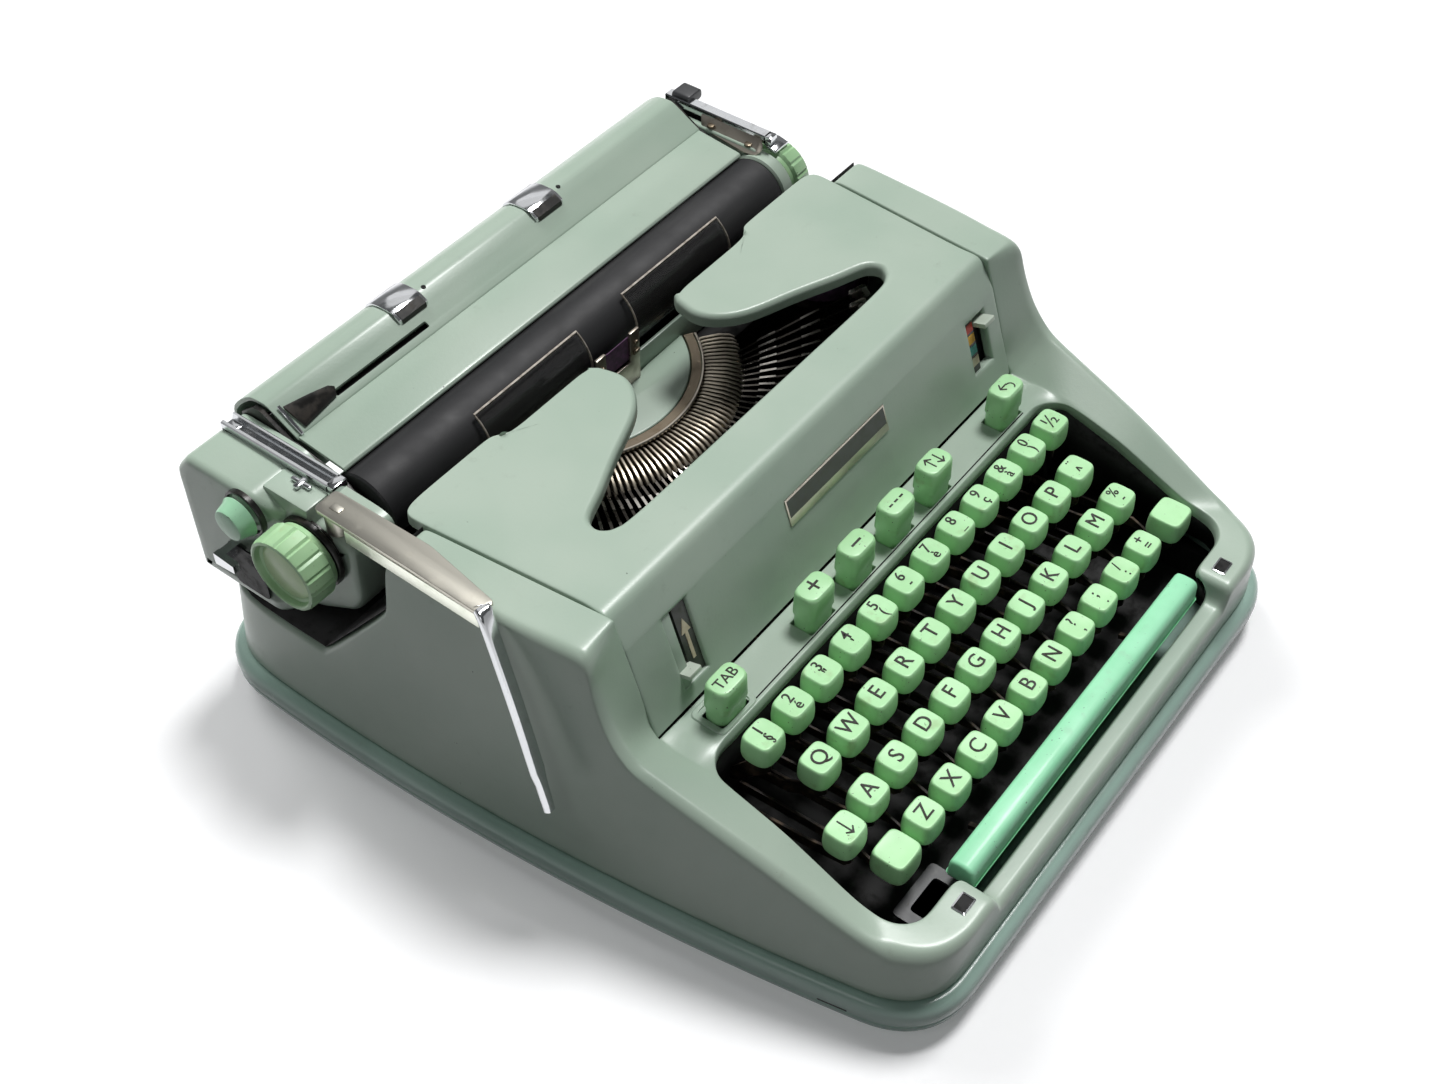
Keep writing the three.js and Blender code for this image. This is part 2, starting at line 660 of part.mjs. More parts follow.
function ribbonCover() {
  const wide = [-2 * RIM_X, 2 * RIM_X];
  const deep = [faceY(0) - CUT, COVER_REAR_Y + CUT];
  const lid = coverBlock(0, 0).intersect(box(wide, deep, [SHOULDER_Z - SKIN, SHOULDER_Z + CUT]));
  const faceOutline = [
    behindFace(COVER_BOTTOM_Z, 0),
    behindFace(SHOULDER_Z - 1, 0),
    behindFace(SHOULDER_Z - 1, SKIN),
    behindFace(COVER_BOTTOM_Z, SKIN),
  ];
  const face = prism("x", faceOutline, [-COVER_FRONT_HALF, COVER_FRONT_HALF]);
  const above = box(wide, deep, [COVER_BOTTOM_Z, SHOULDER_Z + CUT]);
  const skirt = cut(coverBlock(0, COVER_SKIRT_INSET), coverBlock(SKIN, COVER_SKIRT_INSET));
  const rimZ = [SHOULDER_Z - COVER_DEPTH, SHOULDER_Z];
  const rim = prism("z", openingOutline(SKIN), rimZ).intersect(coverBlock(0, COVER_SKIRT_INSET));
  const opening = prism("z", openingOutline(0), [SHOULDER_Z - COVER_DEPTH - CUT, SHOULDER_Z + CUT]);
  const windows = [
    [TOUCH_WINDOW_X, TOUCH_WINDOW_Z],
    [RIBBON_WINDOW_X, RIBBON_WINDOW_Z],
  ].map(([x, [z0, z1]]) => box([x, x + WINDOW_WIDTH], [faceY(z0) - CUT, faceY(z1) + CUT], [z0, z1]));
  const ears = [-1, 1].map(coverEar);
  return union(cut(union(lid, face, skirt.intersect(above), rim), opening, windows), ears);
}

function coverEar(side) {
  const inner = side * COVER_EAR_X;
  const xs = [inner, inner + side * COVER_EAR_WIDTH].sort((a, b) => a - b);
  const web = [
    behindFace(COVER_BOTTOM_Z + 0.5, SKIN / 2),
    behindFace(COVER_BOTTOM_Z + COVER_EAR_WEB, SKIN / 2),
    [COVER_HINGE_Y + COVER_EAR_R, COVER_HINGE_Z],
    [COVER_HINGE_Y, COVER_HINGE_Z],
  ];
  const ear = union(prism("x", web, xs), cylinder("x", [COVER_HINGE_Y, COVER_HINGE_Z], COVER_EAR_R, xs));
  const bore = cylinder("x", [COVER_HINGE_Y, COVER_HINGE_Z], COVER_PIN_R + GAP, [xs[0] - CUT, xs[1] + CUT]);
  return cut(ear, bore);
}

// A slider behind one of the cover's windows, with a finger tab through it at height tabZ.
function windowSlider(xs, [z0, z1], neck, tab, tabZ) {
  const near = SKIN + GAP;
  const far = near + SLIDER_THICKNESS;
  const corners = [behindFace(z0, near), behindFace(z1, near), behindFace(z1, far), behindFace(z0, far)];
  const plate = prism("x", corners, xs);
  const tongue = (z, depth) => [behindFace(z, depth)[0], z];
  const level = (from, to) => [
    tongue(tabZ, from),
    [tongue(tabZ, from)[0], tabZ + TAB_THICKNESS],
    [tongue(tabZ, to)[0], tabZ + TAB_THICKNESS],
    tongue(tabZ, to),
  ];
  const stem = prism("x", level(far - 0.2, -1.5), neck);
  return union(plate, stem, prism("x", level(-GAP * 3, -TAB_REACH), tab));
}

function touchLever() {
  const [z0] = TOUCH_WINDOW_Z;
  const left = TOUCH_WINDOW_X;
  const plateX = [left - 2, left + WINDOW_WIDTH + 2];
  const neck = [left + GAP, left + 3.2];
  return windowSlider(plateX, [z0 + 1, z0 + 27], neck, [left, left + 10.5], TOUCH_TAB_Z);
}

function ribbonSelector() {
  const [, z1] = RIBBON_WINDOW_Z;
  const right = RIBBON_WINDOW_X + WINDOW_WIDTH;
  const plateX = [RIBBON_WINDOW_X - 2, right + 2];
  const neck = [right - 5, right - 1.5];
  return windowSlider(plateX, [z1 - 22, z1 + 2], neck, [right - 6.5, right - 0.6], RIBBON_TAB_Z);
}

// ---------------------------------------------------------------- keys
// One key cap, centred on x = y = 0 with its top at z = 0.
function keyCap([topX, topY] = CAP_TOP, [footX, footY] = CAP_FOOT, height = CAP_HEIGHT) {
  const level = (share, z) => {
    const halfX = (footX + (topX - footX) * share) / 2;
    const halfY = (footY + (topY - footY) * share) / 2;
    return roundedRectangle([-halfX, halfX], [-halfY, halfY], CAP_CORNER, 1).map(([x, y]) => [x, y, z]);
  };
  return loft("z", [level(0, -height), level(0.35, -2.5), level(1, 0)]);
}

const rowY = (row) => NUMBER_ROW_Y - ROW_PITCH_Y * row;
const rowZ = (row) => NUMBER_ROW_Z - ROW_DROP * row;
const keyXs = (first, count) => Array.from({ length: count }, (_, i) => first + KEY_PITCH * i);
const across = (x) => [x - LEVER_THICKNESS / 2, x + LEVER_THICKNESS / 2];

// A lever from a stem at stemY, down and back to its hub on the pivot shaft.
function leverArm(x, stemY, topZ, kneeZ) {
  const outline = [
    [stemY - STEM_DEPTH / 2, topZ],
    [stemY - STEM_DEPTH / 2, kneeZ - 2 * LEVER_HALF_DEPTH],
    [PIVOT_Y, PIVOT_Z - LEVER_REAR_OFFSET],
    [PIVOT_Y, PIVOT_Z + LEVER_REAR_OFFSET],
    [stemY + STEM_DEPTH / 2, kneeZ],
    [stemY + STEM_DEPTH / 2, topZ],
  ];
  const centre = [PIVOT_Y, PIVOT_Z];
  const boreR = PIVOT_R + 2 * GAP;
  const hub = cylinder("x", centre, HUB_R, across(x), HUB_R, ROUND_SMALL);
  const bore = cylinder("x", centre, boreR, [x - CUT, x + CUT], boreR, ROUND_SMALL);
  return cut(union(prism("x", outline, across(x)), hub), bore);
}

// A row of caps on one cross bar, carried by two levers.
function keyBank(row, xs, [leftArm, rightArm]) {
  const y = rowY(row);
  const z = rowZ(row);
  const barTop = z - BANK_BAR_DROP;
  const barY = [y - STEM_DEPTH / 2, y + STEM_DEPTH / 2];
  const bar = box([leftArm - LEVER_THICKNESS / 2, rightArm + LEVER_THICKNESS / 2], barY,
    [barTop - BANK_BAR_HEIGHT, barTop]);
  const caps = xs.map((x) => keyCap().translate([x, y, z]));
  const stemZ = [barTop - 1, z - CAP_HEIGHT + 1];
  const stems = xs.map((x) => box([x - STEM_WIDTH / 2, x + STEM_WIDTH / 2], barY, stemZ));
  const arms = [leftArm, rightArm].map((x) => leverArm(x, y, barTop, BANK_KNEE_Z[row]));
  return union(bar, caps, stems, arms);
}

const BANK_KNEE_Z = [42, 40, 38, 38]; // top of each row's levers where they turn back
const ROWS = [
  [NUMBER_ROW_X, 12],
  [TOP_ROW_X, 11],
  [HOME_ROW_X, 11],
  [BOTTOM_ROW_X, 10],
];

function singleKey(x, y, z, kneeZ) {
  const stem = box([x - STEM_WIDTH / 2, x + STEM_WIDTH / 2], [y - STEM_DEPTH / 2, y + STEM_DEPTH / 2],
    [z - CAP_HEIGHT - 2, z - CAP_HEIGHT + 1]);
  return union(keyCap().translate([x, y, z]), stem, leverArm(x, y, z - CAP_HEIGHT - 1, kneeZ));
}

function shiftKey(capX, armX, stemX) {
  const z = SHIFT_TOP_Z;
  const stemTop = z - CAP_HEIGHT + 1;
  const barZ = [z - CAP_HEIGHT - 4, z - CAP_HEIGHT - 1];
  const ys = [SHIFT_Y - STEM_DEPTH / 2, SHIFT_Y + STEM_DEPTH / 2];
  const stem = box([stemX - STEM_WIDTH / 2, stemX + STEM_WIDTH / 2], ys, [barZ[0], stemTop]);
  const reach = [Math.min(stemX, armX) - LEVER_THICKNESS / 2, Math.max(stemX, armX) + LEVER_THICKNESS / 2];
  const cap = keyCap(SHIFT_TOP, CAP_FOOT).translate([capX, SHIFT_Y, z]);
  return union(cap, stem, box(reach, ys, barZ), leverArm(armX, SHIFT_Y, barZ[1], barZ[1]));
}

function functionKey() {
  const halfX = FUNCTION_WIDTH / 2;
  const halfY = FUNCTION_DEPTH / 2;
  const level = (inset, z) => {
    const outline = roundedRectangle([inset - halfX, halfX - inset], [inset - halfY, halfY - inset], 2);
    return outline.map(([x, y]) => [x, y, z]);
  };
  const bottom = -FUNCTION_HEIGHT;
  const cap = loft("z", [level(0, bottom), level(0, -3), level(0.5, -1), level(1.5, 0)]);
  const [stemX, stemY] = FUNCTION_STEM;
  const stemZ = [FUNCTION_STEM_BOTTOM_Z - FUNCTION_TOP_Z, bottom + 1];
  return union(cap, box([-stemX / 2, stemX / 2], [-stemY / 2, stemY / 2], stemZ));
}

function spaceBar() {
  const level = (inset, z) => {
    const ys = [SPACE_FRONT_Y + inset, SPACE_REAR_Y - inset];
    const outline = roundedRectangle([inset - SPACE_HALF_LENGTH, SPACE_HALF_LENGTH - inset], ys, 2.5);
    return outline.map(([x, y]) => [x, y, z]);
  };
  const top = SPACE_TOP_Z;
  const bottom = top - SPACE_HEIGHT;
  const bar = loft("z", [
    level(0.4, bottom),
    level(0, bottom + 2),
    level(0.3, top - 3),
    level(1, top - 1),
    level(2.6, top),
  ]);
  const middle = (SPACE_FRONT_Y + SPACE_REAR_Y) / 2;
  const tieY = [middle - 2, middle + 2];
  const tieZ = [bottom - 6, bottom - 3];
  const tie = box([-SPACE_ARM_X - LEVER_THICKNESS / 2, SPACE_ARM_X + LEVER_THICKNESS / 2], tieY, tieZ);
  const posts = [-60, 60].map((x) => box([x - 3, x + 3], tieY, [tieZ[0], bottom + 1]));
  const arms = [-SPACE_ARM_X, SPACE_ARM_X].map((x) => {
    const outline = [
      [tieY[0], tieZ[1]],
      [tieY[0], tieZ[0] - 3],
      [SPACE_PIVOT_Y, SPACE_PIVOT_Z - 3],
      [SPACE_PIVOT_Y, SPACE_PIVOT_Z + 3],
      [tieY[1], tieZ[1]],
    ];
    const hub = cylinder("x", [SPACE_PIVOT_Y, SPACE_PIVOT_Z], 2 * SPACE_PIVOT_R, across(x));
    const bore = cylinder("x", [SPACE_PIVOT_Y, SPACE_PIVOT_Z], SPACE_PIVOT_R + GAP, [x - CUT, x + CUT]);
    return cut(union(prism("x", outline, across(x)), hub), bore);
  });
  return union(bar, tie, posts, arms);
}

// ---------------------------------------------------------------- main frame
function sidePlate(side) {
  const bottom = PAN_BOTTOM_Z + PAN_FLOOR + GAP;
  const xs = side < 0 ? [-FRAME_X - FRAME_PLATE, -FRAME_X] : [FRAME_X, FRAME_X + FRAME_PLATE];
  const guideTop = GUIDE_Z + GUIDE_THICKNESS;
  const outline = [
    [FRAME_FRONT_Y, bottom],
    [FRAME_REAR_Y, bottom],
    [FRAME_REAR_Y, bottom + 30],
    [BEAM_REAR_Y, BEAM_Z],
    [BEAM_FRONT_Y, BEAM_Z],
    [SEAT_REAR_Y, SEAT_Z + SEAT_THICKNESS],
    [SEAT_FRONT_Y, SEAT_Z + SEAT_THICKNESS],
    [SEAT_FRONT_Y - CUT, FRAME_MID_Z],
    [SPOOL_Y + 8, FRAME_MID_Z],
    [SPOOL_Y + 8, SHELF_Z + SHELF_THICKNESS],
    [SPOOL_Y - 8, SHELF_Z + SHELF_THICKNESS],
    [SPOOL_Y - 8, FRAME_MID_Z],
    [GUIDE_REAR_Y, FRAME_MID_Z],
    [GUIDE_REAR_Y, guideTop],
    [GUIDE_FRONT_Y - 3, guideTop],
    [GUIDE_FRONT_Y - 10, FRAME_WELL_Z],
    [FRAME_FRONT_Y, FRAME_WELL_Z],
  ];
  const shaft = cylinder("x", [PIVOT_Y, PIVOT_Z], PIVOT_R + GAP, [xs[0] - CUT, xs[1] + CUT]);
  const spacePin = cylinder("x", [SPACE_PIVOT_Y, SPACE_PIVOT_Z], SPACE_PIVOT_R,
    side < 0 ? [xs[1] - 1, -SPACE_ARM_X + LEVER_THICKNESS] : [SPACE_ARM_X - LEVER_THICKNESS, xs[0] + 1]);
  const earEnd = COVER_EAR_X + COVER_EAR_WIDTH + 2 * GAP;
  const postX = side < 0 ? [-FRAME_X - 1, -earEnd] : [earEnd, FRAME_X + 1];
  const postY = [COVER_HINGE_Y - COVER_PIN_R, COVER_HINGE_Y + 4];
  const post = box(postX, postY, [FRAME_MID_Z - 8, COVER_HINGE_Z + COVER_PIN_R + GAP]);
  const pinX = side < 0 ? [-earEnd - 1, -COVER_EAR_X + 1] : [COVER_EAR_X - 1, earEnd + 1];
  const coverPin = cylinder("x", [COVER_HINGE_Y, COVER_HINGE_Z], COVER_PIN_R, pinX);
  const shelfX = side < 0 ? [-FRAME_X - 1, 9 - SPOOL_X] : [SPOOL_X - 9, FRAME_X + 1];
  const shelfZ = [SHELF_Z, SHELF_Z + SHELF_THICKNESS];
  const shelf = box(shelfX, [SPOOL_Y - 8, SPOOL_Y + 8], shelfZ);
  const spindleZ = [SHELF_Z, shelfZ[1] + SPOOL_HEIGHT + 1];
  const spindle = cylinder("z", [side * SPOOL_X, SPOOL_Y], SPINDLE_R, spindleZ);
  return union(cut(prism("x", outline, xs), shaft), spacePin, post, coverPin, shelf, spindle);
}

function mainFrame() {
  const span = [-FRAME_X - 1, FRAME_X + 1];
  const bottom = PAN_BOTTOM_Z + PAN_FLOOR + GAP;
  const frontBar = box(span, [FRAME_FRONT_Y, FRAME_FRONT_Y + 4], [bottom, bottom + 9]);
  const guide = box(span, [GUIDE_FRONT_Y, GUIDE_REAR_Y], [GUIDE_Z, GUIDE_Z + GUIDE_THICKNESS]);
  const guideHoles = Object.values(FUNCTION_KEYS).map((x) => {
    const [stemX, stemY] = FUNCTION_STEM.map((size) => size / 2 + GAP);
    const ys = [FUNCTION_Y - stemY, FUNCTION_Y + stemY];
    return box([x - stemX, x + stemX], ys, [GUIDE_Z - CUT, GUIDE_Z + CUT]);
  });
  const beam = box(span, [BEAM_FRONT_Y, BEAM_REAR_Y], [BEAM_Z, BEAM_Z + BEAM_HEIGHT]);
  const seat = box(span, [SEAT_FRONT_Y, SEAT_REAR_Y], [SEAT_Z, SEAT_Z + SEAT_THICKNESS]);
  const drumShelfZ = [DRUM_Z - 3 - GAP, DRUM_Z - GAP];
  const drumShelf = box([-FRAME_X - 1, DRUM_X + 8], [DRUM_Y - 8, DRUM_Y + 8], drumShelfZ);
  const drumSpindle = cylinder("z", [DRUM_X, DRUM_Y], SPINDLE_R, [DRUM_Z - 3, DRUM_Z + DRUM_HEIGHT + 1]);
  const bars = union(frontBar, cut(guide, guideHoles), beam, seat);
  return union(sidePlate(-1), sidePlate(1), bars, drumShelf, drumSpindle);
}

function leverShaft() {
  const end = FRAME_X + FRAME_PLATE;
  return cylinder("x", [PIVOT_Y, PIVOT_Z], PIVOT_R, [-end, end]);
}

function carriageRail() {
  const bottom = BEAM_Z + BEAM_HEIGHT + GAP;
  const ys = [RAIL_Y - RAIL_WIDTH / 2, RAIL_Y + RAIL_WIDTH / 2];
  return box([-FRAME_X, FRAME_X], ys, [bottom, bottom + RAIL_HEIGHT]);
}

// A spool or drum on a spindle at [x, y], its underside at z.
function spool([x, y], z, radius, height, coreRadius) {
  const rim = 1.5;
  const core = cylinder("z", [x, y], coreRadius, [z, z + height]);
  const flanges = [z, z + height - rim].map((low) => cylinder("z", [x, y], radius, [low, low + rim]));
  return cut(union(core, flanges), cylinder("z", [x, y], SPINDLE_R + GAP, [z - CUT, z + height + CUT]));
}

// ---------------------------------------------------------------- type basket
const onRing = (radius, degrees) => {
  const angle = THREE.MathUtils.degToRad(degrees - 90);
  return [radius * Math.cos(angle), SEGMENT_Y + radius * Math.sin(angle)];
};

function ringSector([inner, outer], halfAngle, zs, steps = 20) {
  const turns = Array.from({ length: steps + 1 }, (_, i) => -halfAngle + (2 * halfAngle * i) / steps);
  const outline = [...turns.map((t) => onRing(outer, t)), ...turns.reverse().map((t) => onRing(inner, t))];
  return prism("z", outline, zs);
}

const SEAT_TOP = SEAT_Z + SEAT_THICKNESS;

function typeSegment() {
  const z0 = SEAT_TOP + GAP;
  const combZ = [z0, z0 + SEGMENT_HEIGHT - RING_STEP];
  const comb = ringSector([SEGMENT_INNER_R, SEGMENT_OUTER_R], SEGMENT_HALF_ANGLE, combZ);
  const ring = ringSector([SEGMENT_INNER_R, RING_OUTER_R], SEGMENT_HALF_ANGLE, [z0, z0 + SEGMENT_HEIGHT]);
  return union(comb, ring);
}

// Bars that lie outwards from the segment, strung on one fulcrum wire.
function typeBars() {
  const wireR = SEGMENT_OUTER_R + GAP;
  const z0 = SEAT_TOP + GAP + 1;
  const wire = ringSector([wireR, wireR + 1.5], TYPE_FAN_HALF_ANGLE + 1, [z0, z0 + TYPE_BAR_DEPTH], 42);
  const bars = Array.from({ length: TYPE_BAR_COUNT }, (_, i) => {
    const turn = -TYPE_FAN_HALF_ANGLE + (2 * TYPE_FAN_HALF_ANGLE * i) / (TYPE_BAR_COUNT - 1);
    return typeBar(turn, wireR, z0);
  });
  return union(wire, bars);
}

function typeBar(turn, innerR, z0) {
  const share = Math.abs(turn / TYPE_FAN_HALF_ANGLE) ** 1.3;
  const headR = TYPE_HEAD_R[0] + (TYPE_HEAD_R[1] - TYPE_HEAD_R[0]) * share;
  const headZ = TYPE_HEAD_Z[0] + (TYPE_HEAD_Z[1] - TYPE_HEAD_Z[0]) * share;
  const outline = [
    [innerR + 0.2, z0],
    [headR, headZ - TYPE_HEAD_HEIGHT / 2],
    [headR, headZ + TYPE_HEAD_HEIGHT / 2],
    [headR - 3, headZ + TYPE_HEAD_HEIGHT / 2],
    [headR - 3, headZ + TYPE_BAR_DEPTH / 4],
    [innerR + 0.2, z0 + TYPE_BAR_DEPTH],
  ];
  const shape = new THREE.Shape(outline.map(([r, z]) => new THREE.Vector2(r, z)));
  const geometry = new THREE.ExtrudeGeometry(shape, { depth: TYPE_BAR_WIDTH, bevelEnabled: false });
  geometry.translate(0, 0, -TYPE_BAR_WIDTH / 2).rotateX(Math.PI / 2);
  geometry.rotateZ(THREE.MathUtils.degToRad(turn - 90)).translate(0, SEGMENT_Y, 0);
  return solid(geometry);
}

function typeShield() {
  const z0 = SEAT_TOP + GAP;
  const radius = SEGMENT_INNER_R - GAP;
  const disc = cylinder("z", [0, SEGMENT_Y], radius, [z0, z0 + SEGMENT_HEIGHT], radius, 64);
  return disc.intersect(box([-60, 60], [0, SHIELD_REAR_Y], [z0 - CUT, z0 + SEGMENT_HEIGHT + CUT]));
}

function ribbonVibrator() {
  const z0 = SEAT_TOP + 2 * GAP + SEGMENT_HEIGHT;
  const ys = [VIBRATOR_Y, VIBRATOR_Y + 1.5];
  const w = VIBRATOR_HALF_WIDTH;
  const plate = box([-w, w], ys, [z0, VIBRATOR_TOP_Z]);
  const notchZ = [z0 + 12, VIBRATOR_TOP_Z + CUT];
  const notch = box([VIBRATOR_PRONG - w, w - VIBRATOR_PRONG], [ys[0] - CUT, ys[1] + CUT], notchZ);
  return cut(plate, notch);
}

// A clear strip that follows the platen, on a foot that stands on the frame's seat.
function cardHolder(xs) {
  const inner = PLATEN_R + HOLDER_GAP;
  const outer = inner + HOLDER_THICKNESS;
  const steps = 8;
  const at = (radius, i) => {
    const angle = HOLDER_TOP_ANGLE + ((HOLDER_FOOT_ANGLE - HOLDER_TOP_ANGLE) * i) / steps;
    const turn = THREE.MathUtils.degToRad(angle);
    return [PLATEN_Y + radius * Math.cos(turn), PLATEN_Z + radius * Math.sin(turn)];
  };
  const turns = Array.from({ length: steps + 1 }, (_, i) => i);
  const outline = [...turns.map((i) => at(outer, i)), ...turns.reverse().map((i) => at(inner, i))];
  const strip = prism("x", outline, xs);
  const [, footZ] = at(inner, steps);
  const foot = box(xs, [HOLDER_FOOT_Y, HOLDER_FOOT_Y + 1.5], [SEAT_TOP + GAP, footZ + 1]);
  return union(strip, foot);
}

// ---------------------------------------------------------------- carriage
const platenAxis = [PLATEN_Y, PLATEN_Z];

function platen() {
  const rollerX = [-PLATEN_HALF_LENGTH, PLATEN_HALF_LENGTH];
  const roller = cylinder("x", platenAxis, PLATEN_R, rollerX, PLATEN_R, 40);
  const shaft = cylinder("x", platenAxis, SHAFT_R, [LEFT_KNOB_X[1] - 2, RIGHT_KNOB_X[0] + 3]);
  return union(roller, shaft);
}

// An open cup with ribs round it; `open` is the side its mouth faces, along X.
function knob([x0, x1], open) {
  const depth = x1 - x0;
  const outer = cylinder("x", platenAxis, KNOB_R, [x0, x1], KNOB_R, KNOB_SIDES);
  const ribs = Array.from({ length: KNOB_RIBS }, (_, i) => {
    const angle = (2 * Math.PI * i) / KNOB_RIBS;
    const centre = [PLATEN_Y + (KNOB_R - 1) * Math.cos(angle), PLATEN_Z + (KNOB_R - 1) * Math.sin(angle)];
    return cylinder("x", centre, 1 + RIB_HEIGHT, [x0 + 1, x1 - 1], 1 + RIB_HEIGHT, 6);
  });
  const mouth = open < 0 ? [x0 - CUT, x0 + depth * 0.65] : [x0 + depth * 0.6, x1 + CUT];
  const cup = cylinder("x", platenAxis, KNOB_R - KNOB_WALL, mouth, KNOB_R - KNOB_WALL, KNOB_SIDES);
  const socketX = open < 0 ? [x1 - 4, x1 + CUT] : [x0 - CUT, x0 + 4];
  const socket = cylinder("x", platenAxis, SHAFT_R + GAP, socketX);
  return cut(union(outer, ribs), cup, socket);
}

function carriageFrame() {
  const span = [-END_PLATE_X, END_PLATE_X];
  const railHalf = RAIL_WIDTH / 2 + GAP;
  const railTop = BEAM_Z + BEAM_HEIGHT + GAP + RAIL_HEIGHT;
  const beam = box(span, [RAIL_Y - 12, RAIL_Y + 12], [railTop + GAP, railTop + GAP + CARRIAGE_BEAM_HEIGHT]);
  const flanges = [-1, 1].map((side) => {
    const near = RAIL_Y + side * railHalf;
    const far = near + side * CARRIAGE_FLANGE;
    return box(span, [Math.min(near, far), Math.max(near, far)], [railTop - 8, railTop + GAP + 1]);
  });
  const beamTop = railTop + GAP + CARRIAGE_BEAM_HEIGHT;
  const plateOutline = [
    [PLATEN_Y - 7, PLATEN_Z - 5],
    [PLATEN_Y + 2, PLATEN_Z - 9],
    [RAIL_Y - 12, beamTop - CARRIAGE_BEAM_HEIGHT],
    [BAIL_PIVOT_Y + 5, beamTop - CARRIAGE_BEAM_HEIGHT],
    [BAIL_PIVOT_Y + 5, BAIL_PIVOT_Z + 3],
    [RIDGE_Y + 3, RIDGE_Z - HOOD_SKIN - GAP],
    [RIDGE_Y - 1, RIDGE_Z - HOOD_SKIN - GAP],
    [CREASE_Y + 1, CREASE_Z - HOOD_SKIN - GAP],
    [TABLE_FRONT_Y + 3, TABLE_FRONT_Z - HOOD_SKIN - 1.5],
    [PLATEN_Y - 5, PLATEN_Z + 7],
  ];
  const plates = [-1, 1].map((side) => {
    const xs = side < 0 ? [-END_PLATE_X - END_PLATE, -END_PLATE_X] : [END_PLATE_X, END_PLATE_X + END_PLATE];
    const bores = [
      cylinder("x", platenAxis, SHAFT_R + GAP, [xs[0] - CUT, xs[1] + CUT]),
      cylinder("x", [BAIL_PIVOT_Y, BAIL_PIVOT_Z], BAIL_ROD_R + GAP, [xs[0] - CUT, xs[1] + CUT]),
    ];
    return cut(prism("x", plateOutline, xs), bores);
  });
  return union(beam, flanges, plates);
}

// A bent sheet: the chain is its outer face from front to rear, in Y and Z.
function bentSheet(chain, thickness, xs) {
  return prism("x", [...chain, ...shifted(chain, thickness).reverse()], xs);
}

function paperTable() {
  const chain = [
    [TABLE_FRONT_Y, TABLE_FRONT_Z],
    [CREASE_Y - GAP, CREASE_Z],
  ];
  return bentSheet(chain, HOOD_SKIN, [-TABLE_HALF_LENGTH, TABLE_HALF_LENGTH]);
}

function rearHood() {
  const chain = [
    [CREASE_Y, CREASE_Z],
    [RIDGE_Y - 2.5, RIDGE_Z - 0.4],
    [RIDGE_Y, RIDGE_Z],
    [RIDGE_Y + 4, RIDGE_Z],
    [RIDGE_Y + 10, RIDGE_Z - 2.5],
    [RIDGE_Y + 16, RIDGE_Z - 8],
    [HOOD_REAR_Y, HOOD_SHOULDER_Z],
    [HOOD_REAR_Y, HOOD_BOTTOM_Z],
  ];
  const sheet = bentSheet(chain, HOOD_SKIN, [-TABLE_HALF_LENGTH, TABLE_HALF_LENGTH]);
  const slotY = CREASE_Y + 4;
  const slot = box(SLOT_X, [slotY - SLOT_WIDTH / 2, slotY + SLOT_WIDTH / 2], [CREASE_Z - CUT, RIDGE_Z]);
  return cut(sheet, slot);
}

// The paper's side guide: a wedge on the hood with a tongue down through its slot.
function paperGuide() {
  const rise = (RIDGE_Z - 0.4 - CREASE_Z) / (RIDGE_Y - 2.5 - CREASE_Y);
  const hoodZ = (y) => CREASE_Z + rise * (y - CREASE_Y);
  const slotY = CREASE_Y + 4;
  const ys = [slotY - 2, RIDGE_Y - 4];
  const outline = [
    [ys[0], hoodZ(ys[0]) + GAP],
    [ys[1], hoodZ(ys[1]) + GAP],
    [ys[1], hoodZ(ys[1]) + GAP + 1.2],
    [ys[0], hoodZ(ys[0]) + GAP + 1.2],
  ];
  const x1 = SLOT_X[0] + 12;
  const plate = prism("x", outline, [SLOT_X[0] - 24, x1]);
  const fenceTop = [[ys[1], hoodZ(ys[1]) + GUIDE_FENCE], [ys[0], hoodZ(ys[0]) + GUIDE_FENCE]];
  const fence = prism("x", [outline[0], outline[1], ...fenceTop], [x1 - 1.5, x1]);
  const tongueY = [slotY - GUIDE_TONGUE / 2, slotY + GUIDE_TONGUE / 2];
  const tongue = box([SLOT_X[0] + 1, x1], tongueY, [hoodZ(slotY) - HOOD_SKIN - 3, hoodZ(slotY) + 1]);
  return union(plate, fence, tongue);
}

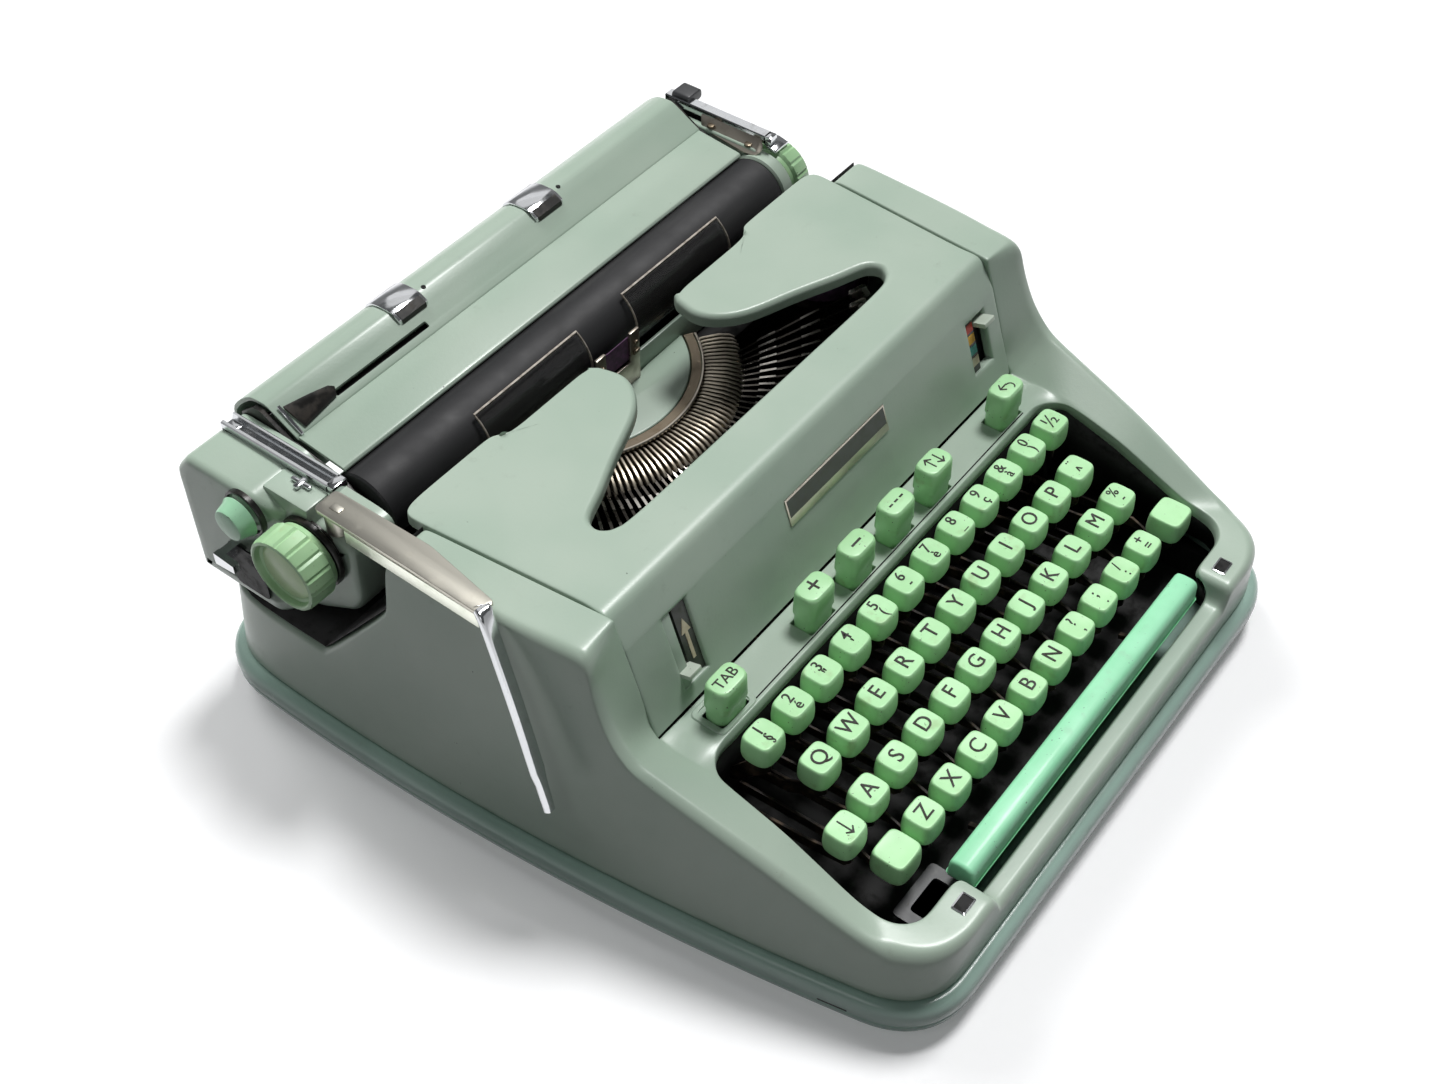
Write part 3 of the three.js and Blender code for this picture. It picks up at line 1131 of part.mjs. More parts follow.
function leftEndCover() {
  const inside = -END_PLATE_X - END_PLATE - GAP;
  const top = END_TOP_Z;
  const frontTop = top - 5;
  const low = LEFT_END_OUTLINE.at(-1)[1];
  const front = [...LEFT_END_OUTLINE, [END_STEP_Y, frontTop], [PLATEN_Y - 14, frontTop]];
  const rear = [
    [END_STEP_Y - 1, low],
    [END_REAR_Y, low],
    [END_REAR_Y, top - 10],
    [END_REAR_Y - 8, top],
    [END_STEP_Y - 1, top],
  ];
  const outer = union(prism("x", front, [LEFT_FRONT_X, inside]), prism("x", rear, [LEFT_END_X, inside]));
  const hollow = [
    prism("x", shiftedLoop(front, -SKIN), [LEFT_FRONT_X + SKIN, inside + CUT]),
    prism("x", shiftedLoop(rear, -SKIN), [LEFT_END_X + SKIN, inside + CUT]),
  ];
  const tunnelZ = [70, frontTop - SKIN];
  const tunnel = box([LEFT_FRONT_X + SKIN, inside + CUT], [END_STEP_Y - CUT, END_STEP_Y + CUT], tunnelZ);
  const boss = box([HUB_X - 5, HUB_X + 5], [HUB_Y - 5, HUB_Y + 5], [frontTop - 10, frontTop]);
  const selectorBlock = box([HUB_X - 4.8, HUB_X + 6], [HUB_Y + 9, END_STEP_Y + 1], [frontTop - SKIN, top]);
  const bores = [
    cylinder("x", platenAxis, SHAFT_R + GAP, [LEFT_FRONT_X - CUT, LEFT_FRONT_X + CUT]),
    cylinder("z", [HUB_X, HUB_Y], RETURN_PIN_R + GAP, [frontTop - 8, top + CUT]),
    cylinder("x", [BUTTON_Y, BUTTON_Z], BUTTON_STEM_R + GAP, [LEFT_END_X - CUT, LEFT_END_X + CUT]),
  ];
  const releaseY = [RELEASE_Y - RELEASE_HALF - GAP, RELEASE_Y + RELEASE_HALF + GAP];
  const releaseSlot = box([LEFT_END_X - CUT, LEFT_END_X + CUT], releaseY, [RELEASE_Z - 5, RELEASE_Z + 5]);
  const bailY = [BAIL_PIVOT_Y - 16, BAIL_PIVOT_Y + 8];
  const bailSlot = box([LEFT_BAIL_X[0] - 1, inside + CUT], bailY, [BAIL_PIVOT_Z - 3, top + CUT]);
  const selectorY = [SELECTOR_Y - 5, SELECTOR_Y + 5];
  const selectorSlot = box([SELECTOR_X - 1, SELECTOR_X + 1], selectorY, [top - 8, top + CUT]);
  const shell = union(cut(outer, hollow, tunnel), boss, selectorBlock);
  return cut(shell, bores, releaseSlot, bailSlot, selectorSlot);
}

function rightEndCover() {
  const [z0, z1] = RIGHT_END_Z;
  const outline = [
    [RIGHT_END_FRONT_Y, PLATEN_Z - 12],
    [RAIL_Y - 12, z0],
    [END_REAR_Y, z0],
    [END_REAR_Y, z1 - 10],
    [END_REAR_Y - 10, z1],
    [RIGHT_END_FRONT_Y + 6, z1],
    [RIGHT_END_FRONT_Y, z1 - 8],
  ];
  const through = [RIGHT_END_X[0] - CUT, RIGHT_END_X[1] + CUT];
  const bores = [
    cylinder("x", platenAxis, SHAFT_R + GAP, through),
    cylinder("x", [BAIL_PIVOT_Y, BAIL_PIVOT_Z], BAIL_ROD_R + GAP, through),
  ];
  const leverPinX = [RIGHT_END_X[1] - 1, PAPER_LEVER_X + 1.5];
  const leverPin = cylinder("x", [PAPER_LEVER_Y, BAIL_PIVOT_Z - 12], 2, leverPinX);
  return union(cut(prism("x", outline, RIGHT_END_X), bores), leverPin);
}

function paperBail() {
  const top = BAIL_TOP_Z;
  const low = top - BAIL_ARM_THICKNESS;
  const arm = [
    [BAIL_PIVOT_Y + 3, BAIL_PIVOT_Z - 2],
    [BAIL_PIVOT_Y + 3, top - 1],
    [BAIL_PIVOT_Y + 1, top],
    [BAIL_FRONT_Y, top],
    [BAIL_FRONT_Y, low - 2],
    [BAIL_FRONT_Y + 2, low - 2],
    [BAIL_FRONT_Y + 2, low],
    [BAIL_PIVOT_Y - 3, low],
    [BAIL_PIVOT_Y - 3, BAIL_PIVOT_Z - 2],
  ];
  const root = (xs) => prism("x", arm.slice(0, 3).concat([[BAIL_PIVOT_Y - 3, top], arm.at(-1)]), xs);
  const tread = (xs) => prism("x", arm.slice(2, 8).concat([[BAIL_PIVOT_Y + 1, low]]), xs);
  const rodX = [LEFT_BAIL_X[1] - 4, RIGHT_BAIL_X[0] + 2];
  const rod = cylinder("x", [BAIL_PIVOT_Y, BAIL_PIVOT_Z], BAIL_ROD_R, rodX);
  const leftRoot = root([LEFT_BAIL_X[1] - 3, LEFT_BAIL_X[1] - 1]);
  const rightRoot = root([RIGHT_BAIL_X[0], RIGHT_BAIL_X[0] + 2]);
  return union(rod, leftRoot, rightRoot, tread(LEFT_BAIL_X), tread(RIGHT_BAIL_X));
}

function returnLever() {
  const z1 = RETURN_ARM_Z + RETURN_ARM_THICKNESS / 2;
  const z0 = z1 - RETURN_ARM_THICKNESS;
  const arm = [
    [HUB_X - 6, HUB_Y + 5],
    [HUB_X - 6.5, 52],
    [HUB_X - 7, 14],
    [HUB_X + 1, 12],
    [HUB_X + 7, 52],
    [HUB_X + 6, HUB_Y + 5],
  ];
  const plate = prism("z", arm, [z0, z1]);
  const leftEdge = arm.slice(0, 3);
  const flangeOutline = leftEdge.concat(leftEdge.map(([x, y]) => [x + 1.6, y]).reverse());
  const beforeHub = box([HUB_X - 9, HUB_X], [0, 78], [0, z1]);
  const flange = prism("z", flangeOutline, [RETURN_FLANGE_Z + 1.5, z1]).intersect(beforeHub);
  const pin = cylinder("z", [HUB_X, HUB_Y], RETURN_PIN_R, [END_TOP_Z - 12, z1]);
  const washer = cylinder("z", [HUB_X, HUB_Y], 5, [END_TOP_Z - 5 + GAP, z1]);
  const section = roundedRectangle([-3.5, 3.5], [-1.6, 1.6], 1.5);
  const start = new THREE.Vector3(HUB_X - 2.5, 15.5, RETURN_ARM_Z - 0.5);
  const elbow = new THREE.Vector3(HUB_X - 5.5, 9, RETURN_ARM_Z - 4);
  const path = new THREE.CatmullRomCurve3([start, elbow, new THREE.Vector3(HUB_X - 13, -10, RETURN_ARM_Z - 32),
    new THREE.Vector3(...RETURN_HANDLE_TIP)]);
  const steps = 7;
  const loops = Array.from({ length: steps + 1 }, (_, i) => {
    const at = path.getPoint(i / steps);
    const along = path.getTangent(i / steps);
    const side = new THREE.Vector3(1, 0, 0).addScaledVector(along, -along.x).normalize();
    const out = new THREE.Vector3().crossVectors(along, side);
    return section.map(([a, b]) => at.clone().addScaledVector(side, a).addScaledVector(out, b).toArray());
  });
  return union(plate, flange, pin, washer, loft("y", loops));
}

function lineSpaceSelector() {
  const top = END_TOP_Z;
  const ys = [SELECTOR_Y - 1.5, SELECTOR_Y + 1.5];
  const stem = box([SELECTOR_X - 0.7, SELECTOR_X + 0.7], ys, [top - 5, top + 3]);
  const head = box([SELECTOR_X - 3.5, SELECTOR_X + 2.5], ys, [top + GAP, top + 2]);
  return union(stem, head);
}

function platenButton() {
  const [x0, x1] = BUTTON_X;
  const head = cylinder("x", [BUTTON_Y, BUTTON_Z], BUTTON_R[1], [x0, x1], BUTTON_R[0]);
  return union(head, cylinder("x", [BUTTON_Y, BUTTON_Z], BUTTON_STEM_R, [x1 - 1, LEFT_END_X + SKIN + 3]));
}

function carriageRelease() {
  const outline = [
    [RELEASE_Y - 9, RELEASE_Z - 2],
    [RELEASE_Y + 2, RELEASE_Z - 3],
    [RELEASE_Y + 2, RELEASE_Z + 3],
    [RELEASE_Y - 9, RELEASE_Z + 2],
  ];
  const pad = prism("x", outline, [LEFT_END_X - 9, LEFT_END_X - 6]);
  const neckY = [RELEASE_Y - RELEASE_HALF, RELEASE_Y + RELEASE_HALF];
  const neck = box([LEFT_END_X - 7, LEFT_END_X + SKIN + 3], neckY, [RELEASE_Z - 2.5, RELEASE_Z + 2.5]);
  return union(pad, neck);
}

function paperRelease() {
  const centre = [PAPER_LEVER_Y, BAIL_PIVOT_Z - 12];
  const x0 = RIGHT_END_X[1] + GAP;
  const xs = [x0, x0 + 2];
  const arm = [
    [centre[0] - 3, centre[1]],
    [centre[0] + 3, centre[1]],
    [centre[0] + 4, RIDGE_Z - 4],
    [centre[0] - 2, RIDGE_Z - 4],
  ];
  const grip = box([x0, PAPER_LEVER_X + 6], [centre[0] - 2, centre[0] + 5], [RIDGE_Z - 6, RIDGE_Z - 2]);
  const hub = cylinder("x", centre, 4, xs);
  const bore = cylinder("x", centre, 2 + GAP, [x0 - CUT, x0 + CUT]);
  return cut(union(prism("x", arm, xs), hub, grip), bore);
}

// ---------------------------------------------------------------- assembly
const typewriter = new THREE.Group();

function add(name, piece, finishName, position = [0, 0, 0]) {
  const { vertProperties, triVerts } = piece.getMesh();
  const geometry = new THREE.BufferGeometry();
  geometry.setAttribute("position", new THREE.Float32BufferAttribute(vertProperties, 3));
  geometry.setIndex(new THREE.Uint32BufferAttribute(triVerts, 1));
  const mesh = new THREE.Mesh(geometry, FINISHES[finishName].clone());
  mesh.name = name;
  mesh.position.set(...position);
  typewriter.add(mesh);
}

add("base_pan", basePan(), "base_paint");
for (const [name, x, y] of footPlaces()) add(name, foot(), "rubber", [x, y, 0]);
add("top_shell", topShell(), "paint");
add("main_frame", mainFrame(), "black_steel");
add("key_lever_shaft", leverShaft(), "steel");
add("carriage_rail", carriageRail(), "steel");
add("type_segment", typeSegment(), "brass");
add("type_bars", typeBars(), "black_steel");
add("type_shield", typeShield(), "paint");
add("ribbon_vibrator", ribbonVibrator(), "brass");
add("card_holder_left", cardHolder(LEFT_HOLDER_X), "clear_plastic");
add("card_holder_right", cardHolder(RIGHT_HOLDER_X), "clear_plastic");
const spoolZ = SHELF_Z + SHELF_THICKNESS + GAP;
add("ribbon_spool_left", spool([-SPOOL_X, SPOOL_Y], spoolZ, SPOOL_R, SPOOL_HEIGHT, SPOOL_CORE_R), "steel");
add("ribbon_spool_right", spool([SPOOL_X, SPOOL_Y], spoolZ, SPOOL_R, SPOOL_HEIGHT, SPOOL_CORE_R), "steel");
add("mainspring_drum", spool([DRUM_X, DRUM_Y], DRUM_Z, DRUM_R, DRUM_HEIGHT, DRUM_R - 3), "steel");
add("ribbon_cover", ribbonCover(), "paint");
add("touch_lever", touchLever(), "pale_plastic");
add("ribbon_selector", ribbonSelector(), "pale_plastic");
add("carriage_frame", carriageFrame(), "black_steel");
add("left_end_cover", leftEndCover(), "paint");
add("right_end_cover", rightEndCover(), "paint");
add("paper_table", paperTable(), "paint");
add("rear_hood", rearHood(), "paint");
add("paper_guide", paperGuide(), "black_steel");
add("platen", platen(), "rubber");
add("left_knob", knob(LEFT_KNOB_X, -1), "knob_plastic");
add("right_knob", knob(RIGHT_KNOB_X, 1), "knob_plastic");
add("paper_bail", paperBail(), "chrome");
add("return_lever", returnLever(), "chrome");
add("line_space_selector", lineSpaceSelector(), "chrome");
add("platen_button", platenButton(), "key_plastic");
add("carriage_release_lever", carriageRelease(), "black_steel");
add("paper_release_lever", paperRelease(), "black_steel");
for (const [name, x] of Object.entries(FUNCTION_KEYS)) {
  add(`key_${name}`, functionKey(), "key_plastic", [x, FUNCTION_Y, FUNCTION_TOP_Z]);
}
add("space_bar", spaceBar(), "bar_plastic");
add("shift_key_left", shiftKey(LEFT_SHIFT_X, LEFT_SHIFT_ARM, LEFT_SHIFT_STEM), "key_plastic");
add("shift_key_right", shiftKey(RIGHT_SHIFT_X, RIGHT_SHIFT_ARM, RIGHT_SHIFT_X), "key_plastic");
add("shift_lock", singleKey(LOCK_X, LOCK_Y, rowZ(2), BANK_KNEE_Z[2]), "key_plastic");
add("number_row_keys", keyBank(0, keyXs(...ROWS[0]), NUMBER_ARMS), "key_plastic");
add("top_row_keys", keyBank(1, keyXs(...ROWS[1]), TOP_ARMS), "key_plastic");
add("bottom_row_keys", keyBank(3, keyXs(...ROWS[3]), BOTTOM_ARMS), "key_plastic");
keyXs(...ROWS[2]).forEach((x, i) => {
  add(`home_row_key_${i + 1}`, singleKey(x, rowY(2), rowZ(2), BANK_KNEE_Z[2]), "key_plastic");
});

export default typewriter;
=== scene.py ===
"""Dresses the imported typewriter: a smooth painted case, plastic keys and bright metal trim.

Every size is in millimetres, apart from the studio's, which is in metres: X to the typist's right,
Y away from the typist, Z up. A form is scaled to metres when it becomes a mesh.
"""

import logging
import math
from dataclasses import dataclass
from enum import Enum
from typing import Any, Callable, Iterable, Optional, Sequence

import bmesh
import bpy
from mathutils import Matrix, Vector


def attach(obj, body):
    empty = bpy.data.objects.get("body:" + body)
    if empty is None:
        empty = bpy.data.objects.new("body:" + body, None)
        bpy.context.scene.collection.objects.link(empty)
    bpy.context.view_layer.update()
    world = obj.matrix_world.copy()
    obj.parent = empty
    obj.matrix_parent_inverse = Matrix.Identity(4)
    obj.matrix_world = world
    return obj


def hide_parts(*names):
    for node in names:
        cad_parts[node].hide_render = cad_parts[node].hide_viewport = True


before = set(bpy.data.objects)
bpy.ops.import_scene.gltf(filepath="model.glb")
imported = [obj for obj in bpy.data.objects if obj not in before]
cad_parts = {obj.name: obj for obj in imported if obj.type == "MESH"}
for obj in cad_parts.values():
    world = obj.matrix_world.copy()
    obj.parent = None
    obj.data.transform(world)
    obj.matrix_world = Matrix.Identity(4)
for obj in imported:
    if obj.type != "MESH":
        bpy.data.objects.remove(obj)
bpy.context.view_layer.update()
LOG = logging.getLogger("typewriter")
MM = 0.001
SHARP_FOLD = math.radians(25)
Span = tuple[float, float]
Outline = Sequence[Span]


class Axis(Enum):
    """The direction a prism, rod or lathed piece runs along."""

    X = 0
    Y = 1
    Z = 2


class Slot(Enum):
    """The record's material slots."""

    PAINT = "paint"
    BASE_PAINT = "base_paint"
    KEYS = "key_plastic"
    BAR = "bar_plastic"
    KNOBS = "knob_plastic"
    RUBBER = "rubber"
    BLACK_STEEL = "black_steel"
    STEEL = "steel"
    CHROME = "chrome"
    BRASS = "brass"
    CLEAR = "clear_plastic"
    PALE = "pale_plastic"


# ---------------------------------------------------------------- finishes
def tint(code: str) -> tuple[float, float, float, float]:
    """Turns a hex colour into the linear colour that a shader takes.

    Args:
        code: six hex digits.

    Returns:
        Red, green, blue and an alpha of 1.
    """
    parts = [int(code[i : i + 2], 16) / 255 for i in (0, 2, 4)]
    linear = [p / 12.92 if p <= 0.04045 else ((p + 0.055) / 1.055) ** 2.4 for p in parts]
    return (*linear, 1.0)


class Wire:
    """One output socket; arithmetic on it adds Math nodes to its tree."""

    def __init__(self, tree: bpy.types.NodeTree, socket: bpy.types.NodeSocket) -> None:
        """Keeps the socket and the tree that it is in."""
        self.tree = tree
        self.socket = socket

    def math(self, operation: str, first: Any, second: Any) -> "Wire":
        """Adds a Math node.

        Args:
            operation: the node's operation.
            first: a wire or a number.
            second: a wire or a number.

        Returns:
            The node's output.
        """
        node = self.tree.nodes.new("ShaderNodeMath")
        node.operation = operation
        for slot, value in zip(node.inputs, (first, second)):
            if isinstance(value, Wire):
                self.tree.links.new(value.socket, slot)
            else:
                slot.default_value = value
        return Wire(self.tree, node.outputs[0])

    def __add__(self, other: Any) -> "Wire":
        """Adds a wire or number."""
        return self.math("ADD", self, other)

    __radd__ = __add__

    def __mul__(self, other: Any) -> "Wire":
        """Multiplies by a wire or number."""
        return self.math("MULTIPLY", self, other)

    __rmul__ = __mul__

    def __sub__(self, other: Any) -> "Wire":
        """Takes away a wire or number."""
        return self.math("SUBTRACT", self, other)


class Mixer:
    """Builds the node tree of one material."""

    def __init__(self, name: str, **constants: Any) -> None:
        """Makes the material.

        Args:
            name: the material's name.
            constants: values for the shader's own sockets, with underscores for spaces.
        """
        self.material = bpy.data.materials.new(name)
        self.material.use_nodes = True
        self.tree = self.material.node_tree
        self.shader = self.tree.nodes["Principled BSDF"]
        for socket, value in constants.items():
            self.shader.inputs[socket.replace("_", " ")].default_value = value
        self.place = self.node("ShaderNodeTexCoord", output="Object")

    def node(
        self,
        kind: str,
        settings: Optional[dict[str, Any]] = None,
        inputs: Optional[dict[Any, Any]] = None,
        output: Any = 0,
    ) -> Wire:
        """Adds any node.

        Args:
            kind: the node's type.
            settings: its properties, set first.
            inputs: values or wires, by the socket's name or number.
            output: the output's name or number.

        Returns:
            That output.
        """
        node = self.tree.nodes.new(kind)
        for key, value in (settings or {}).items():
            setattr(node, key, value)
        for key, value in (inputs or {}).items():
            if isinstance(value, Wire):
                self.tree.links.new(value.socket, node.inputs[key])
            else:
                node.inputs[key].default_value = value
        return Wire(self.tree, node.outputs[output])

    def noise(
        self, scale: float, detail: float = 2.0, rough: float = 0.5, where: Optional[Wire] = None
    ) -> Wire:
        """Gives cloudy noise of a given scale per metre."""
        inputs = {"Vector": where or self.place, "Scale": scale, "Detail": detail, "Roughness": rough}
        return self.node("ShaderNodeTexNoise", inputs=inputs)

    def stretched(self, amounts: tuple[float, float, float]) -> Wire:
        """Gives the object coordinates scaled along each axis."""
        return self.node("ShaderNodeMapping", inputs={"Vector": self.place, "Scale": amounts})

    def ramp(self, value: Wire, start: float, end: float) -> Wire:
        """Maps start...end smoothly to 0...1, and holds it beyond them."""
        inputs = {"Value": value, "From Min": start, "From Max": end}
        return self.node("ShaderNodeMapRange", {"interpolation_type": "SMOOTHSTEP"}, inputs)

    def blend(self, share: Any, first: Any, second: Any) -> Wire:
        """Mixes two colours."""
        return self.node("ShaderNodeMix", {"data_type": "RGBA"}, {0: share, 6: first, 7: second}, 2)

    def feed(self, socket: str, wire: Wire) -> None:
        """Links a wire to a socket of the shader."""
        self.tree.links.new(wire.socket, self.shader.inputs[socket])

    def relief(self, height: Wire, depth: float) -> None:
        """Feeds a bump of that depth in millimetres."""
        inputs = {"Height": height, "Distance": depth * MM, "Strength": 1.0}
        self.feed("Normal", self.node("ShaderNodeBump", inputs=inputs))


@dataclass(frozen=True)
class Enamel:
    """Stoved case paint: an even coat with faint clouding, orange peel, dust and small chips."""

    name: str
    colour: str
    shade: str
    gloss: float = 0.34
    chips: float = 0.76

    def make(self) -> bpy.types.Material:
        """Makes the material.

        Returns:
            The material.
        """
        mix = Mixer(self.name, Coat_Weight=0.2, Coat_Roughness=0.2, Specular_IOR_Level=0.38)
        clouds = mix.ramp(mix.noise(16, 3), 0.3, 0.72)
        body = mix.blend(clouds, tint(self.colour), tint(self.shade))
        grime = mix.ramp(mix.noise(150, 5, 0.65), 0.56, 0.8) * mix.ramp(mix.noise(22, 2), 0.45, 0.7)
        body = mix.blend(grime * 0.22, body, tint("5B5C4B"))
        chip = mix.ramp(mix.noise(700, 1), self.chips + 0.04, self.chips + 0.08)
        chip = chip * mix.ramp(mix.noise(55), 0.5, 0.6)
        mix.feed("Base Color", mix.blend(chip, body, tint("3B3E36")))
        mix.feed("Roughness", self.gloss - 0.06 + 0.12 * mix.noise(60, 3) + 0.25 * grime)
        mix.relief(mix.noise(650, 2) + 0.4 * mix.noise(2600, 1) - 1.5 * chip, 0.035)
        return mix.material


@dataclass(frozen=True)
class Moulded:
    """Moulded plastic, handled for years: clouded colour, pin specks and rubbed gloss."""

    name: str
    colour: str
    shade: str
    gloss: float = 0.3
    stain: str = "8E9A5E"

    def make(self) -> bpy.types.Material:
        """Makes the material.

        Returns:
            The material.
        """
        mix = Mixer(self.name, Coat_Weight=0.15, Coat_Roughness=0.15)
        body = mix.blend(mix.ramp(mix.noise(70, 3), 0.3, 0.75), tint(self.colour), tint(self.shade))
        body = mix.blend(0.35 * mix.ramp(mix.noise(130, 3), 0.58, 0.78), body, tint(self.stain))
        speck = mix.ramp(mix.noise(900, 1), 0.71, 0.75) * mix.ramp(mix.noise(160), 0.48, 0.6)
        mix.feed("Base Color", mix.blend(0.7 * speck, body, tint("4A4A38")))
        mix.feed("Roughness", self.gloss + 0.14 * mix.noise(220, 3))
        mix.relief(mix.noise(500, 2) - speck, 0.02)
        return mix.material


@dataclass(frozen=True)
class Metal:
    """Bare or plated metal with a grain along one axis, and tarnish in patches."""

    name: str
    colour: str
    tarnish: str
    gloss: float
    grain: tuple[float, float, float] = (1.0, 1.0, 1.0)
    depth: float = 0.01
    dirt: float = 0.35

    def make(self) -> bpy.types.Material:
        """Makes the material.

        Returns:
            The material.
        """
        mix = Mixer(self.name, Metallic=1.0)
        lines = mix.noise(400, 4, 0.6, mix.stretched(self.grain))
        patches = mix.ramp(mix.noise(90, 4, 0.6), 0.5, 0.75)
        body = mix.blend(self.dirt * patches + 0.15 * lines, tint(self.colour), tint(self.tarnish))
        mix.feed("Base Color", body)
        mix.feed("Roughness", self.gloss + 0.16 * lines + 0.14 * patches - 0.08)
        mix.relief(lines, self.depth)
        return mix.material


@dataclass(frozen=True)
class BlackSteel:
    """Blackened steel under years of brown dust."""

    name: str
    colour: str = "171614"
    dust: str = "5A4F42"
    amount: float = 0.55
    gloss: float = 0.42

    def make(self) -> bpy.types.Material:
        """Makes the material.

        Returns:
            The material.
        """
        mix = Mixer(self.name, Metallic=0.35)
        dust = mix.ramp(mix.noise(130, 5, 0.65), 0.45, 0.75)
        mix.feed("Base Color", mix.blend(self.amount * dust, tint(self.colour), tint(self.dust)))
        mix.feed("Roughness", self.gloss + 0.35 * dust)
        mix.relief(mix.noise(1500, 3) + dust, 0.03)
        return mix.material


@dataclass(frozen=True)
class Rubber:
    """Hard black rubber with turned rings and worn, paler streaks."""

    name: str
    colour: str = "222224"
    worn: str = "4B4A4A"
    rings: bool = False

    def make(self) -> bpy.types.Material:
        """Makes the material.

        Returns:
            The material.
        """
        mix = Mixer(self.name)
        streaks = mix.ramp(mix.noise(60, 4, 0.6, mix.stretched((0.12, 1.0, 1.0))), 0.45, 0.8)
        mix.feed("Base Color", mix.blend(0.55 * streaks, tint(self.colour), tint(self.worn)))
        mix.feed("Roughness", 0.48 + 0.25 * mix.noise(90, 3))
        height = mix.noise(900, 3)
        if self.rings:
            height = height + 0.5 * mix.noise(500, 1, 0.5, mix.stretched((1.0, 0.02, 0.02)))
        mix.relief(height, 0.03)
        return mix.material


@dataclass(frozen=True)
class ClearPlastic:
    """Thin clear plastic, slightly smoked, with fine scratches."""

    name: str

    def make(self) -> bpy.types.Material:
        """Makes the material.

        Returns:
            The material.
        """
        mix = Mixer(self.name, Alpha=0.24, Coat_Weight=0.5, Coat_Roughness=0.05)
        scratch = mix.ramp(mix.noise(120, 2, 0.5, mix.stretched((0.06, 1.0, 1.0))), 0.62, 0.8)
        mix.feed("Base Color", mix.blend(0.5 * scratch, tint("2A2928"), tint("8A8378")))
        mix.feed("Roughness", 0.12 + 0.2 * scratch)
        return mix.material


@dataclass(frozen=True)
class Plain:
    """A printed or painted detail with a little unevenness of its own."""

    name: str
    colour: str
    shade: str
    gloss: float = 0.5

    def make(self) -> bpy.types.Material:
        """Makes the material.

        Returns:
            The material.
        """
        mix = Mixer(self.name)
        patches = mix.ramp(mix.noise(350, 3), 0.35, 0.7)
        mix.feed("Base Color", mix.blend(patches, tint(self.colour), tint(self.shade)))
        mix.feed("Roughness", self.gloss + 0.2 * patches)
        mix.relief(patches, 0.01)
        return mix.material


@dataclass(frozen=True)
class Finish:
    """A material, and the record's slot that it belongs to."""

    slot: Slot
    material: bpy.types.Material

    @classmethod
    def of(cls, slot: Slot, recipe: Any) -> "Finish":
        """Makes a recipe's material for a slot."""
        return cls(slot, recipe.make())


